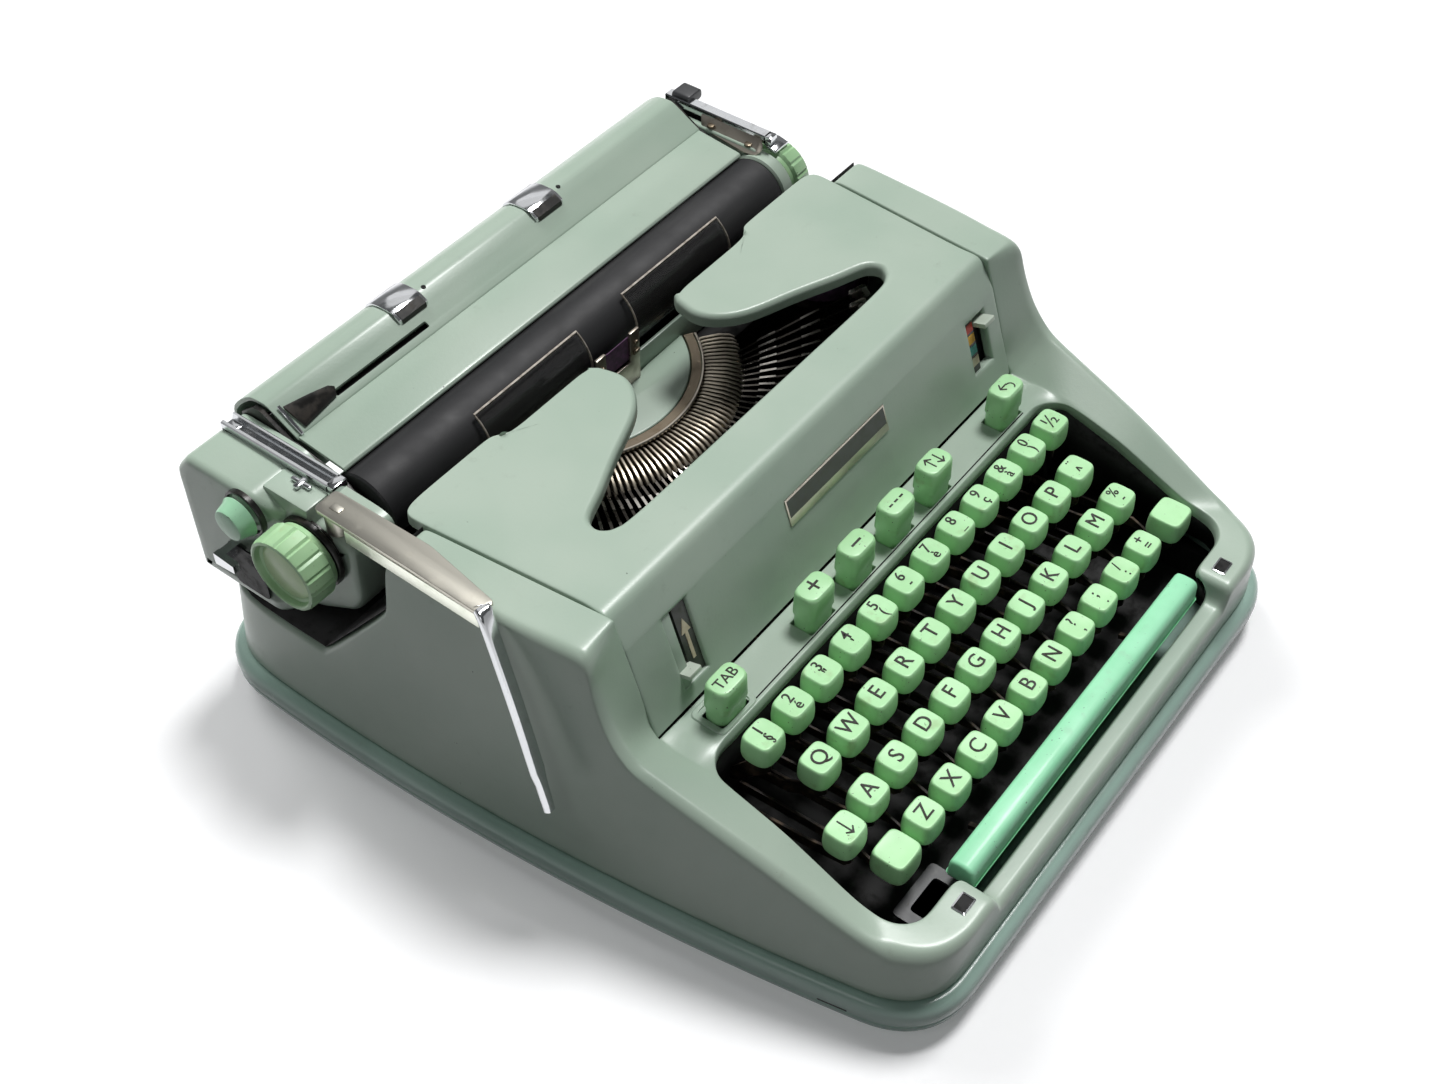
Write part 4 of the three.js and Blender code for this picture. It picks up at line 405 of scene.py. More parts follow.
class Finishes:
    """All the materials, made once."""

    def __init__(self) -> None:
        """Makes each material."""
        self.paint = Finish.of(Slot.PAINT, Enamel("sage_enamel", "A9B9AA", "9FB2A2"))
        self.base_paint = Finish.of(Slot.BASE_PAINT, Enamel("teal_enamel", "A6C2B6", "99B5A9", 0.2))
        self.keys = Finish.of(Slot.KEYS, Moulded("mint_key", "B9EDB4", "AEE3A8"))
        self.bar = Finish.of(Slot.BAR, Moulded("aqua_bar", "A0E6BC", "93DDB0", 0.42, "96C4A4"))
        self.knobs = Finish.of(Slot.KNOBS, Moulded("green_knob", "ADD5A4", "9FC898", 0.3, "A8A86A"))
        self.ink = Finish.of(Slot.BLACK_STEEL, Plain("legend_ink", "1E1D17", "2C2A20", 0.55))
        self.platen = Finish.of(Slot.RUBBER, Rubber("platen_rubber", "1A1A1C", "3C3B3B", rings=True))
        self.rubber = Finish.of(Slot.RUBBER, Rubber("foot_rubber", "1B1B1C", "2C2B2A"))
        self.black = Finish.of(Slot.BLACK_STEEL, BlackSteel("black_steel", amount=0.22, gloss=0.3))
        levers = BlackSteel("key_lever_steel", "241F1B", "7A6856", 0.75, 0.4)
        self.levers = Finish.of(Slot.BLACK_STEEL, levers)
        # Near-black: painted shade in hollows, gaps, slots and holes, and also the main frame's own black.
        self.inside = Finish.of(Slot.BLACK_STEEL, BlackSteel("shade_and_frame_black", "070707", "14120F", 0.4, 0.6))
        self.steel = Finish.of(Slot.STEEL, Metal("brushed_steel", "B3ACA0", "6E655A", 0.3, (1.0, 0.05, 1.0)))
        chrome = Metal("chrome", "D8DADC", "8B8A88", 0.13, depth=0.003, dirt=0.2)
        self.chrome = Finish.of(Slot.CHROME, chrome)
        bar_steel = Metal("type_bar_steel", "6B6761", "211D19", 0.24, (0.2, 0.2, 1.0), dirt=0.7)
        self.bar_steel = Finish.of(Slot.STEEL, bar_steel)
        head_steel = Metal("type_head_steel", "D2CEC6", "57504A", 0.25, (0.3, 0.3, 1.0), dirt=0.5)
        self.head_steel = Finish.of(Slot.STEEL, head_steel)
        blade = Metal("brushed_blade", "C2BFB4", "938E82", 0.38, (1.0, 0.04, 1.0), depth=0.006, dirt=0.25)
        self.blade = Finish.of(Slot.CHROME, blade)
        teeth = Metal("comb_teeth", "BBB2A2", "5A4C3B", 0.38, (0.4, 0.4, 1.0), dirt=0.5)
        self.teeth = Finish.of(Slot.BRASS, teeth)
        self.brass = Finish.of(Slot.BRASS, Metal("bronze_ring", "7C7263", "4A3D2C", 0.36, dirt=0.5))
        self.clear = Finish.of(Slot.CLEAR, ClearPlastic("card_holder_plastic"))
        # Pale mint tint on the return lever's flange: painted reflection of the green case.
        self.flange = Finish.of(Slot.CHROME, Metal("flange_painted_reflection", "F0F2E6", "C9D4BE", 0.4, dirt=0.3))
        # Lighter copy of the knob plastic: painted light on the left knob's face.
        self.lit_knob_face = Finish.of(Slot.KNOBS, Moulded("lit_knob_face", "D0EDB8", "C2E0AA", 0.35, "A8A86A"))
        self.button = Finish.of(Slot.KNOBS, Moulded("button_cap", "A8DCB6", "9ACDA8", 0.3, "96C4A4"))
        # Opaque pale strips on the card holders' edges: painted highlights on clear plastic.
        self.edge = Finish.of(Slot.CLEAR, Plain("holder_edge_highlight", "B5ADA2", "857B70", 0.3))
        self.grip = Finish.of(Slot.BLACK_STEEL, Moulded("grey_grip", "3A3B3D", "2E2F31", 0.35, "55534F"))
        self.pale = Finish.of(Slot.PALE, Moulded("pale_plastic", "C3CEC0", "B2BDAE", 0.4, "9C9C80"))
        self.cream = Finish.of(Slot.PALE, Plain("cream_print", "D9CDB4", "C8BA9E"))
        self.red = Finish.of(Slot.PALE, Plain("red_print", "B0392B", "97301F"))
        self.yellow = Finish.of(Slot.PALE, Plain("yellow_print", "D2A53A", "BD8E2B"))
        self.teal = Finish.of(Slot.PALE, Plain("teal_print", "2F8E84", "267A70"))
        self.ribbon = Finish.of(Slot.RUBBER, Plain("ribbon_cloth", "4E3550", "6C4A6C", 0.7))
        self.plate = Finish.of(Slot.BLACK_STEEL, Plain("blank_plate", "2A2C29", "353730", 0.35))
        self.spring = Finish(Slot.CHROME, self.head_steel.material)


# ---------------------------------------------------------------- shapes
def smooth_path(points: Sequence[Sequence[float]], at: float) -> Vector:
    """Gives the point at a place along a Catmull-Rom curve.

    Args:
        points: the points that the curve goes through.
        at: the place, 0 at the first point and 1 more at each next one.

    Returns:
        The point, with as many coordinates as the others.
    """
    last = len(points) - 1
    i = max(0, min(int(at), last - 1))
    t = at - i
    p0, p1, p2, p3 = (Vector(points[max(0, min(j, last))]) for j in (i - 1, i, i + 1, i + 2))
    bend = 2 * p0 - 5 * p1 + 4 * p2 - p3
    twist = 3 * p1 - p0 - 3 * p2 + p3
    return 0.5 * ((2 * p1) + (p2 - p0) * t + bend * t**2 + twist * t**3)


def rounded(outline: Outline, radius: float, steps: int) -> list[Span]:
    """Rounds every corner of a closed outline.

    Args:
        outline: the corners, in order.
        radius: how far from a corner its curve starts, at most 45% of the side.
        steps: how many straight parts a corner gets.

    Returns:
        The rounded outline.
    """
    result = []
    count = len(outline)
    for i, corner in enumerate(outline):
        here = Vector(corner)
        ends = []
        for other in (outline[i - 1], outline[(i + 1) % count]):
            side = Vector(other) - here
            ends.append(here + side.normalized() * min(radius, 0.45 * side.length))
        for k in range(steps + 1):
            t = k / steps
            point = ends[0] * (1 - t) ** 2 + here * 2 * t * (1 - t) + ends[1] * t**2
            result.append((point.x, point.y))
    return result


def corners(u: Span, v: Span) -> list[Span]:
    """Gives a rectangle's corners from its two spans."""
    return [(u[0], v[0]), (u[1], v[0]), (u[1], v[1]), (u[0], v[1])]


def rectangle(half_x: float, half_y: float, radius: float, steps: int = 4) -> list[Span]:
    """Gives a rounded rectangle about the origin."""
    return rounded(corners((-half_x, half_x), (-half_y, half_y)), radius, steps)


def moved(outline: Outline, u: float, v: float) -> list[Span]:
    """Gives an outline moved by (u, v)."""
    return [(a + u, b + v) for a, b in outline]


def inset(outline: Outline, depth: float) -> list[Span]:
    """Moves each point of a closed, anticlockwise outline inwards.

    Args:
        outline: the outline.
        depth: how far, below 0 to move them outwards.

    Returns:
        The new outline.
    """
    result = []
    for i, (u, v) in enumerate(outline):
        along = Vector(outline[(i + 1) % len(outline)]) - Vector(outline[i - 1])
        along.normalize()
        result.append((u - along.y * depth, v + along.x * depth))
    return result


def roll(radius: float, steps: int = 3) -> list[Span]:
    """Gives the steps out and down of a quarter round."""
    angles = [math.pi / 2 * (k + 1) / steps for k in range(steps)]
    return [(radius * math.sin(a), radius * (1 - math.cos(a))) for a in angles]


def spread(axis: Axis, u: float, v: float, w: float) -> Vector:
    """Gives a point from its two coordinates across an axis, and the one along it."""
    return {Axis.X: Vector((w, u, v)), Axis.Y: Vector((u, w, v)), Axis.Z: Vector((u, v, w))}[axis]


def placed(name: str, data: Any) -> bpy.types.Object:
    """Puts a new object with this data into the scene.

    Args:
        name: the object's name.
        data: what it holds: a mesh, a curve, a light or a camera.

    Returns:
        The object.
    """
    obj = bpy.data.objects.new(name, data)
    bpy.context.scene.collection.objects.link(obj)
    return obj


class Form:
    """A mesh being shaped, in millimetres."""

    def __init__(self) -> None:
        """Starts an empty mesh."""
        self.bm = bmesh.new()

    def chain(self, points: Iterable[Sequence[float]], closed: bool = False) -> list[bmesh.types.BMEdge]:
        """Lays a line of edges through points.

        Args:
            points: the points.
            closed: whether the line comes back to its first point.

        Returns:
            The edges.
        """
        verts = [self.bm.verts.new(p) for p in points]
        ends = verts[1:] + verts[:1] if closed else verts[1:]
        return [self.bm.edges.new(pair) for pair in zip(verts, ends)]

    def loft(
        self, rings: Sequence[Sequence[Sequence[float]]], closed: bool = True, caps: bool = True
    ) -> "Form":
        """Joins rings one to the next.

        Args:
            rings: the points of each ring, as many in each.
            closed: whether a ring comes back to its first point.
            caps: whether the first and last rings are filled.

        Returns:
            The form itself.
        """
        chains = [self.chain(ring, closed) for ring in rings]
        for first, second in zip(chains, chains[1:]):
            bmesh.ops.bridge_loops(self.bm, edges=first + second)
        if caps:
            for ends in (chains[0], chains[-1]):
                bmesh.ops.edgeloop_fill(self.bm, edges=ends)
        return self

    def band(self, sizes: Sequence[tuple[Outline, float]], u: float, v: float) -> "Form":
        """Joins outlines about (u, v), each at its own height, into a ring with a hole through it."""
        rings = [[Vector((a + u, b + v, z)) for a, b in outline] for outline, z in sizes]
        return self.loft([*rings, rings[0]], caps=False)

    def push(self, points: Iterable[Sequence[float]], shift: Vector) -> tuple[list, list]:
        """Makes a face and pushes a copy of it away, with sides between the two.

        Args:
            points: the face's corners.
            shift: how far the copy moves.

        Returns:
            The corners, and the copy's corners.
        """
        verts = [self.bm.verts.new(p) for p in points]
        made = bmesh.ops.extrude_face_region(self.bm, geom=[self.bm.faces.new(verts)])["geom"]
        ends = [g for g in made if isinstance(g, bmesh.types.BMVert)]
        bmesh.ops.translate(self.bm, verts=ends, vec=shift)
        return verts, ends

    def prism(
        self, axis: Axis, outline: Outline, span: Span, bevel: float = 0.0, segments: int = 2
    ) -> "Form":
        """Pushes an outline along an axis, and bevels its edges.

        Args:
            axis: the axis.
            outline: the outline across it.
            span: where the prism starts and ends along the axis.
            bevel: the rounding of its edges.
            segments: how many faces round an edge.

        Returns:
            The form itself.
        """
        points = [spread(axis, u, v, span[0]) for u, v in outline]
        verts, ends = self.push(points, spread(axis, 0, 0, span[1] - span[0]))
        if bevel:
            edges = dict.fromkeys(e for v in verts + ends for e in v.link_edges)
            sharp = [e for e in edges if len(e.link_faces) == 2 and e.calc_face_angle(0) > SHARP_FOLD]
            self.bevel(sharp, bevel, segments)
        return self

    def bevel(self, edges: Sequence[bmesh.types.BMEdge], width: float, segments: int = 2) -> None:
        """Rounds some edges."""
        options = {"profile": 0.5, "affect": "EDGES", "material": -1}
        bmesh.ops.bevel(self.bm, geom=list(edges), offset=width, segments=segments, **options)

    def block(self, x: Span, y: Span, z: Span, bevel: float) -> "Form":
        """Adds a box with rounded edges."""
        return self.prism(Axis.Z, corners(x, y), z, bevel)

    def lathe(self, axis: Axis, centre: Span, profile: Outline, steps: int) -> "Form":
        """Spins a profile round an axis.

        Args:
            axis: the direction of the axis.
            centre: where the axis lies.
            profile: points of (radius, place along the axis).
            steps: how many parts the turn has.

        Returns:
            The form itself.
        """
        edges = self.chain(spread(axis, centre[0] + r, centre[1], w) for r, w in profile)
        turn = {"cent": spread(axis, *centre, 0), "axis": spread(axis, 0, 0, 1), "angle": 2 * math.pi}
        geom = [*dict.fromkeys(v for e in edges for v in e.verts), *edges]
        bmesh.ops.spin(self.bm, geom=geom, steps=steps, use_merge=True, use_duplicate=False, **turn)
        return self

    def rod(
        self, axis: Axis, centre: Span, radius: float, span: Span, edge: float = 0.3, steps: int = 32
    ) -> "Form":
        """Adds a round bar with rounded rims.

        Args:
            axis: the direction of the bar.
            centre: where its middle line lies.
            radius: its radius.
            span: where it starts and ends along the axis.
            edge: the rounding of its rims.
            steps: how many sides it has.

        Returns:
            The form itself.
        """
        a, b = span
        s = 1 if b > a else -1
        profile = [
            (0, a), (radius - edge, a), (radius - 0.3 * edge, a + 0.3 * s * edge), (radius, a + s * edge)
        ]
        profile += [
            (radius, b - s * edge), (radius - 0.3 * edge, b - 0.3 * s * edge), (radius - edge, b), (0, b)
        ]
        return self.lathe(axis, centre, profile, steps)

    def sweep(self, path: Sequence[Vector], section: Outline, across: Vector, sizes: Outline) -> None:
        """Carries a section along a path.

        Args:
            path: the points of the path.
            section: the section's outline.
            across: the direction that the section's first coordinate points in.
            sizes: the section's scale at each point of the path.
        """
        rings = []
        for i, here in enumerate(path):
            along = (path[min(i + 1, len(path) - 1)] - path[max(i - 1, 0)]).normalized()
            side = (across - along * across.dot(along)).normalized()
            out = along.cross(side)
            wide, tall = sizes[i]
            rings.append([here + side * a * wide + out * b * tall for a, b in section])
        self.loft(rings)

    def face_up(self) -> None:
        """Turns the faces of an open sheet the same way, mostly up."""
        bmesh.ops.recalc_face_normals(self.bm, faces=self.bm.faces[:])
        if sum(f.normal.z * f.calc_area() for f in self.bm.faces) < 0:
            bmesh.ops.reverse_faces(self.bm, faces=self.bm.faces[:])
        self.bm.normal_update()

    def rim(self, test: Callable[[Vector], bool]) -> list[bmesh.types.BMEdge]:
        """Lists the open edges whose middle passes a test."""
        return [e for e in self.bm.edges if e.is_boundary and test((e.verts[0].co + e.verts[1].co) / 2)]

    def fold(self, edges: Sequence[bmesh.types.BMEdge], steps: Outline) -> None:
        """Carries open edges on over a rounded lip.

        Args:
            edges: the open edges, of a sheet whose faces point up.
            steps: how far out and how far down each next line lies from the first.
        """
        frames = {}
        for v in {v for e in edges for v in e.verts}:
            out = Vector()
            for e in (e for e in v.link_edges if e.is_boundary):
                middle = (e.verts[0].co + e.verts[1].co) / 2
                side = (e.verts[1].co - e.verts[0].co).cross(e.link_faces[0].normal).normalized()
                out += side if side.dot(e.link_faces[0].calc_center_median() - middle) < 0 else -side
            frames[v] = (v.co.copy(), out.normalized(), v.normal.copy())
        current = list(edges)
        for away, down in steps:
            made = bmesh.ops.extrude_edge_only(self.bm, edges=current)["geom"]
            fresh = {g for g in made if isinstance(g, bmesh.types.BMVert)}
            current = [g for g in made if isinstance(g, bmesh.types.BMEdge) and set(g.verts) <= fresh]
            carried = {}
            for v in fresh:
                start, out, normal = next(
                    frames[e.other_vert(v)] for e in v.link_edges if e.other_vert(v) in frames
                )
                v.co = start + out * away - normal * down
                carried[v] = (start, out, normal)
            frames = carried

    def lettering(
        self, words: str, at: Sequence[float], size: float, thick: float, weight: float = 0.0
    ) -> None:
        """Adds flat letters centred on a point and facing up.

        Args:
            words: the letters.
            at: the point.
            size: their size.
            thick: how thick they are.
            weight: how far their outline grows.
        """
        curve = bpy.data.curves.new("letters", "FONT")
        curve.body = words
        curve.size = size
        curve.extrude = thick / 2
        curve.offset = weight
        curve.resolution_u = 4
        curve.align_x = "CENTER"
        curve.align_y = "CENTER"
        holder = placed("letters", curve)
        mesh = bpy.data.meshes.new_from_object(holder.evaluated_get(bpy.context.evaluated_depsgraph_get()))
        mesh.transform(Matrix.Translation(Vector(at)))
        self.bm.from_mesh(mesh)
        bpy.data.objects.remove(holder)
        bpy.data.curves.remove(curve)
        bpy.data.meshes.remove(mesh)

    def mirror(self) -> None:
        """Adds the mirror image across x = 0 and welds the two."""
        geom = self.bm.verts[:] + self.bm.edges[:] + self.bm.faces[:]
        bmesh.ops.mirror(self.bm, geom=geom, matrix=Matrix.Identity(4), merge_dist=0.01, axis="X")
        self.weld()

    def weld(self, distance: float = 0.01) -> None:
        """Merges points that lie together."""
        bmesh.ops.remove_doubles(self.bm, verts=self.bm.verts[:], dist=distance)

    def mesh(self, name: str, faces_up: bool = False) -> bpy.types.Mesh:
        """Turns the form into a mesh in metres, and lets go of it.

        Args:
            name: the mesh's name.
            faces_up: whether the form is an open sheet that faces mostly up.

        Returns:
            The mesh.
        """
        if faces_up:
            self.face_up()
        else:
            bmesh.ops.recalc_face_normals(self.bm, faces=self.bm.faces[:])
        bmesh.ops.scale(self.bm, verts=self.bm.verts[:], vec=Vector((MM, MM, MM)))
        mesh = bpy.data.meshes.new(name)
        self.bm.to_mesh(mesh)
        self.bm.free()
        return mesh

    def piece(
        self,
        name: str,
        body: str,
        finish: Finish,
        replaces: Sequence[str] = (),
        levels: int = 0,
        skin: float = 0.0,
        sharp: float = 35.0,
        faces_up: bool = False,
        cutters: Sequence["Form"] = (),
    ) -> None:
        """Turns the form into a piece of the object.

        Args:
            name: the piece's name.
            body: the CAD body that it moves with.
            finish: its finish.
            replaces: the CAD nodes that it stands for.
            levels: how often its surface is subdivided.
            skin: the thickness given to an open sheet.
            sharp: the angle in degrees past which an edge stays sharp.
            faces_up: whether the form is an open sheet that faces mostly up.
            cutters: closed forms that are cut away.
        """
        self.weld(0.002)
        mesh = self.mesh(name, faces_up)
        mesh.shade_smooth()
        mesh.materials.append(finish.material)
        obj = placed(name, mesh)
        if levels:
            rounder = obj.modifiers.new("round", "SUBSURF")
            rounder.levels = levels
            rounder.render_levels = levels
            rounder.boundary_smooth = "PRESERVE_CORNERS"
        if skin:
            sheet = obj.modifiers.new("skin", "SOLIDIFY")
            sheet.thickness = skin * MM
            sheet.offset = -1
        if cutters:
            self._cut(obj, cutters)
        if not levels:
            obj.data.set_sharp_from_angle(angle=math.radians(sharp))
        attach(obj, body)
        if replaces:
            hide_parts(*replaces)
        LOG.info("%s: %d faces on %s", name, len(obj.data.polygons), body)

    @staticmethod
    def _cut(obj: bpy.types.Object, cutters: Sequence["Form"]) -> None:
        """Applies the object's modifiers, and then takes the cutters away from it.

        Args:
            obj: the object.
            cutters: closed forms.
        """
        made = []
        for i, cutter in enumerate(cutters):
            tool = placed(f"cutter_{i}", cutter.mesh(f"cutter_{i}"))
            made.append(tool)
            modifier = obj.modifiers.new(f"cut_{i}", "BOOLEAN")
            modifier.operation = "DIFFERENCE"
            modifier.object = tool
            modifier.solver = "EXACT"
        graph = bpy.context.evaluated_depsgraph_get()
        result = bpy.data.meshes.new_from_object(obj.evaluated_get(graph))
        obj.modifiers.clear()
        obj.data = result
        result.set_sharp_from_angle(angle=math.radians(40))
        for tool in made:
            bpy.data.objects.remove(tool)


# ---------------------------------------------------------------- the case
@dataclass(frozen=True)
class Station:
    """One place on the way round the left half of the upper case."""

    inner: Vector
    wall: Callable[[float], Vector]
    top: float
    radius: float


@dataclass(frozen=True)
class CasePlan:
    """The outline of the left half of the case at any height."""

    seam_half: float = 168.3
    lean: float = 0.128
    bow: float = 4.1e-4
    widest_y: float = 110.0
    seam_z: float = 21.0
    front_y: float = -169.5
    rear_y: float = 169.5
    front_corner: float = 24.0
    rear_corner: float = 30.0

    def half(self, y: float, z: float) -> float:
        """Gives the half width at a place."""
        return self.seam_half - self.bow * (self.widest_y - y) ** 2 - self.lean * (z - self.seam_z)

    def corner(self, u: float, z: float) -> Vector:
        """Gives a point on the front corner: 0 where the side starts, 1 where the front starts.

        Args:
            u: the place round the corner.
            z: its height.

        Returns:
            The point.
        """
        side = self.half(self.front_y + self.front_corner, z)
        tip = self.half(self.front_y, z)
        x = side * (1 - u) ** 2 + tip * 2 * u * (1 - u) + (tip - self.front_corner) * u**2
        return Vector((-x, self.front_y + self.front_corner * (1 - u) ** 2, z))

    def side(self, y: float, z: float) -> Vector:
        """Gives the left wall's point at a place along it, the front corner included."""
        reach = (y - self.front_y) / self.front_corner
        return self.corner(1 - math.sqrt(reach), z) if reach < 1 else Vector((-self.half(y, z), y, z))

    def rear(self, u: float, z: float) -> Vector:
        """Gives a point on the rear corner: 0 where the side ends, 1 where the rear starts.

        Args:
            u: the place round the corner.
            z: its height.

        Returns:
            The point.
        """
        start = self.rear_y - self.rear_corner
        side, tip = self.half(start, z), self.half(self.rear_y, z)
        x = side * (1 - u) ** 2 + tip * 2 * u * (1 - u) + (tip - self.rear_corner) * u**2
        return Vector((-x, start + self.rear_corner * (2 * u - u * u), z))


@dataclass
class UpperCase:
    """The painted upper case: lip, pads, side strips, key deck, shoulders and rear wall."""

    finishes: Finishes
    plan: CasePlan = CasePlan()
    well_half: float = 127.0
    lip_y: float = -161.5
    pad_y: float = -153.0
    lip_z: float = 37.0
    pad_z: float = 47.0
    well_corner: float = 14.0
    deck_z: float = 73.5
    deck_front: float = -71.0
    well_rear: float = -57.4
    deck_rear: float = -39.6
    ledge_z: float = 58.0
    ledge_x: float = -156.5
    shoulder_x: float = -134.5
    bay_half: float = 127.2
    bay_flare: float = 0.087
    bay_front: float = -20.0
    rear_inner: float = 165.0
    lip_radius: float = 3.4
    seam: float = 21.3
    hole_half: tuple[float, float] = (9.0, 6.0)
    hole_x: tuple[float, ...] = (-100.0, -42.9, -14.3)
    hole_y: float = -50.0
    strip_outer: Outline = (
        (-148, 47.5), (-136, 51.6), (-115, 61), (-98, 68), (-73.5, 76.8), (-52, 84.5),
        (-41.5, 91), (-32.5, 103), (-27, 118), (-25, 126), (-19, 129), (-8, 129),
    )
    strip_inner: Outline = (
        (-137.6, 48.2), (-128.7, 50), (-115, 56), (-101.6, 62), (-83.5, 69), (-60, 73.5),
        (-38.5, 74.5), (-32, 93), (-25, 114), (-21, 126), (-19, 129), (-8, 129),
    )
    shoulder: Outline = (
        (5, 129), (20, 129), (35, 129), (50, 129), (60, 129), (63.5, 128.6), (65.6, 126.8), (66, 123),
        (66, 113), (66.4, 104), (68, 99), (84, 79.5), (99, 61.8), (102, 59), (104.5, 58),
    )

    def build(self) -> None:
        """Builds the case, its trim, its near-black sheets of painted shade and the latch eyelets."""
        shell = Form()
        stations = self.stations()
        shell.loft([self.section(s) for s in stations], closed=False, caps=False)
        self.deck(shell)
        shell.weld()
        shell.mirror()
        shell.face_up()
        well = shell.rim(lambda p: p.z > 30 and p.y < self.well_rear + 0.5)
        bay = shell.rim(lambda p: p.z > 30 and p.y > self.deck_rear - 0.9)
        holes = shell.rim(lambda p: p.z > 60 and abs(p.y - self.hole_y) < self.hole_half[1] + 0.5)
        shell.fold(well, [(0.35, 0.05), (0.7, 0.4), (1.5, 2.2), (1.7, 3.4), (1.7, 5.2)])
        shell.fold(bay, [*roll(0.9), (1, 7)])
        shell.fold(holes, [(0.35, -0.2), (0.75, -0.1), (0.95, 0.4), (1.0, 3)])
        shell.piece("upper_case", "case", self.finishes.paint, ["top_shell"], levels=2, faces_up=True)
        self.trim()
        self.shade_wall(stations)
        self.bay_shade_wall()
        self.eyelets()

    def stations(self) -> list[Station]:
        """Lists the stations from the middle of the front, round the left, to the middle of the rear."""
        return [*self.front(), *self.strip(), *self.rear_part()]

    def front(self) -> list[Station]:
        """Lists the stations of the lip, the step up to the pad, the pad and the corner.

        Returns:
            The stations.
        """
        result = []
        spots = [(x, self.lip_y, self.lip_z, x) for x in (0, -20, -40, -60, -78, -87.5)]
        spots += [(-90.4, -161.4, 37.5, -90), (-92.2, -160.4, 40.3, -91.8), (-93, -157, 44.3, -93)]
        spots += [(-94.2, -153.8, 46.4, -94.3), (-97.5, self.pad_y, self.pad_z, -96.5)]
        spots += [(-102, self.pad_y, self.pad_z, -100), (-107.5, self.pad_y, self.pad_z, -104.5)]
        for x, y, z, wall_x in spots:
            wall = lambda h, w=wall_x: Vector((w, self.plan.front_y, h))
            result.append(Station(Vector((x, y, z)), wall, z, self.lip_radius))
        centre = Vector((self.well_corner - self.well_half, self.pad_y + self.well_corner))
        for k in range(6):
            share = k / 5
            angle = math.radians(270 - 90 * share)
            x = centre.x + self.well_corner * math.cos(angle)
            y = centre.y + self.well_corner * math.sin(angle)
            inner = Vector((x, y, self.pad_z + share))
            wall = lambda h, u=1 - 0.9 * share: self.plan.corner(u, h)
            result.append(Station(inner, wall, self.pad_z + 0.3 * share, self.lip_radius + 3.6 * share))
        return result

    def inner_at(self, y: float) -> float:
        """Finds where along the inner strip line a given Y is reached.

        Args:
            y: the Y.

        Returns:
            The place, as smooth_path takes it.
        """
        low, high = 0.0, 6.5
        for _ in range(40):
            middle = (low + high) / 2
            low, high = (middle, high) if smooth_path(self.strip_inner, middle)[0] < y else (low, middle)
        return low

    def deck_rows(self, share: float) -> list[float]:
        """Gives the Y of the deck's rows: 0 at the strip, 1 where the deck is straight.

        Args:
            share: how far the rows have come from the strip.

        Returns:
            The Y of each row.
        """
        even = [self.deck_front + (self.deck_rear - self.deck_front) / 5 * j for j in range(6)]
        y, h = self.hole_y, self.hole_half[1]
        straight = [self.well_rear, y - h, y - h + 2, y + h - 2, y + h, self.deck_rear]
        return [a + (b - a) * share for a, b in zip(even, straight)]

    def strip(self) -> list[Station]:
        """Lists the stations of the side strip, up to the start of the shoulder.

        Returns:
            The stations.
        """
        result = []
        places = [0.3, 0.65, 1, 1.5, 2, 2.5, 3, 3.45, *(self.inner_at(y) for y in self.deck_rows(0))]
        places += [6.3, 6.65, 7, 7.5, 8, 8.5, 9, 9.4, 9.7, 10, 10.5, 11]
        for at in places:
            y, z = smooth_path(self.strip_inner, at)
            out_y, out_z = smooth_path(self.strip_outer, at)
            inner = Vector((self.bay_x(y), y, z))
            result.append(Station(inner, lambda h, w=out_y: self.plan.side(w, h), out_z, 4.5))
        return result

    def bay_x(self, y: float) -> float:
        """Gives the left inner edge beside the well, deck and cover."""
        behind = -self.bay_half - self.bay_flare * max(0.0, y - self.bay_front)
        return -self.well_half if y < self.deck_rear + 0.1 else behind

    def rear_part(self) -> list[Station]:
        """Lists the stations of the shoulder, the ledge, the rear corner and the rear wall.

        Returns:
            The stations.
        """
        result = []
        for y, z in self.shoulder:
            x = self.bay_x(y) if y < 65 else self.shoulder_x
            result.append(Station(Vector((x, y, z)), lambda h, w=y: self.plan.side(w, h), z, 3.5))
        for y in (108, 122, 136):
            wall = lambda h, w=y: self.plan.side(w, h)
            result.append(Station(Vector((self.ledge_x, y, self.ledge_z)), wall, self.ledge_z, 2.5))
        for k in range(1, 6):
            u = k / 5
            inner = Vector((self.ledge_x + 22 * u * u, 139.5 + 25.5 * (2 * u - u * u), self.ledge_z))
            result.append(Station(inner, lambda h, w=u: self.plan.rear(w, h), self.ledge_z, 2))
        for x in (-112, -84, -56, -28, 0):
            wall = lambda h, w=x: Vector((w, self.plan.rear_y, h))
            result.append(Station(Vector((x, self.rear_inner, self.ledge_z)), wall, self.ledge_z, 2))
        return result

    def section(self, station: Station) -> list[Vector]:
        """Gives the points from the inner edge over the outer edge and down to the seam.

        Args:
            station: the place.

        Returns:
            The points, as many at every station.
        """
        edge = station.wall(station.top)
        width = (edge - station.inner).xy.length
        radius = min(station.radius, 0.42 * width)
        start = station.inner.lerp(edge, 1 - radius / width)
        points = [station.inner, station.inner.lerp(start, 0.12), station.inner.lerp(start, 0.5)]
        points.append(station.inner.lerp(start, 0.88))
        low = station.top - radius
        for k in range(5):
            angle = math.pi / 8 * k
            z = start.z - (start.z - low) * (1 - math.cos(angle))
            out = start.xy.lerp(station.wall(z).xy, math.sin(angle))
            points.append(Vector((*out, z)))
        heights = [low + (self.seam - low) * share for share in (0.1, 0.5, 0.88)]
        points += [station.wall(z) for z in (*heights, self.seam + 0.9, self.seam)]
        foot = station.wall(self.seam)
        points.append(foot + (Vector((station.inner.x, station.inner.y, foot.z)) - foot).normalized() * 2.5)
        return points

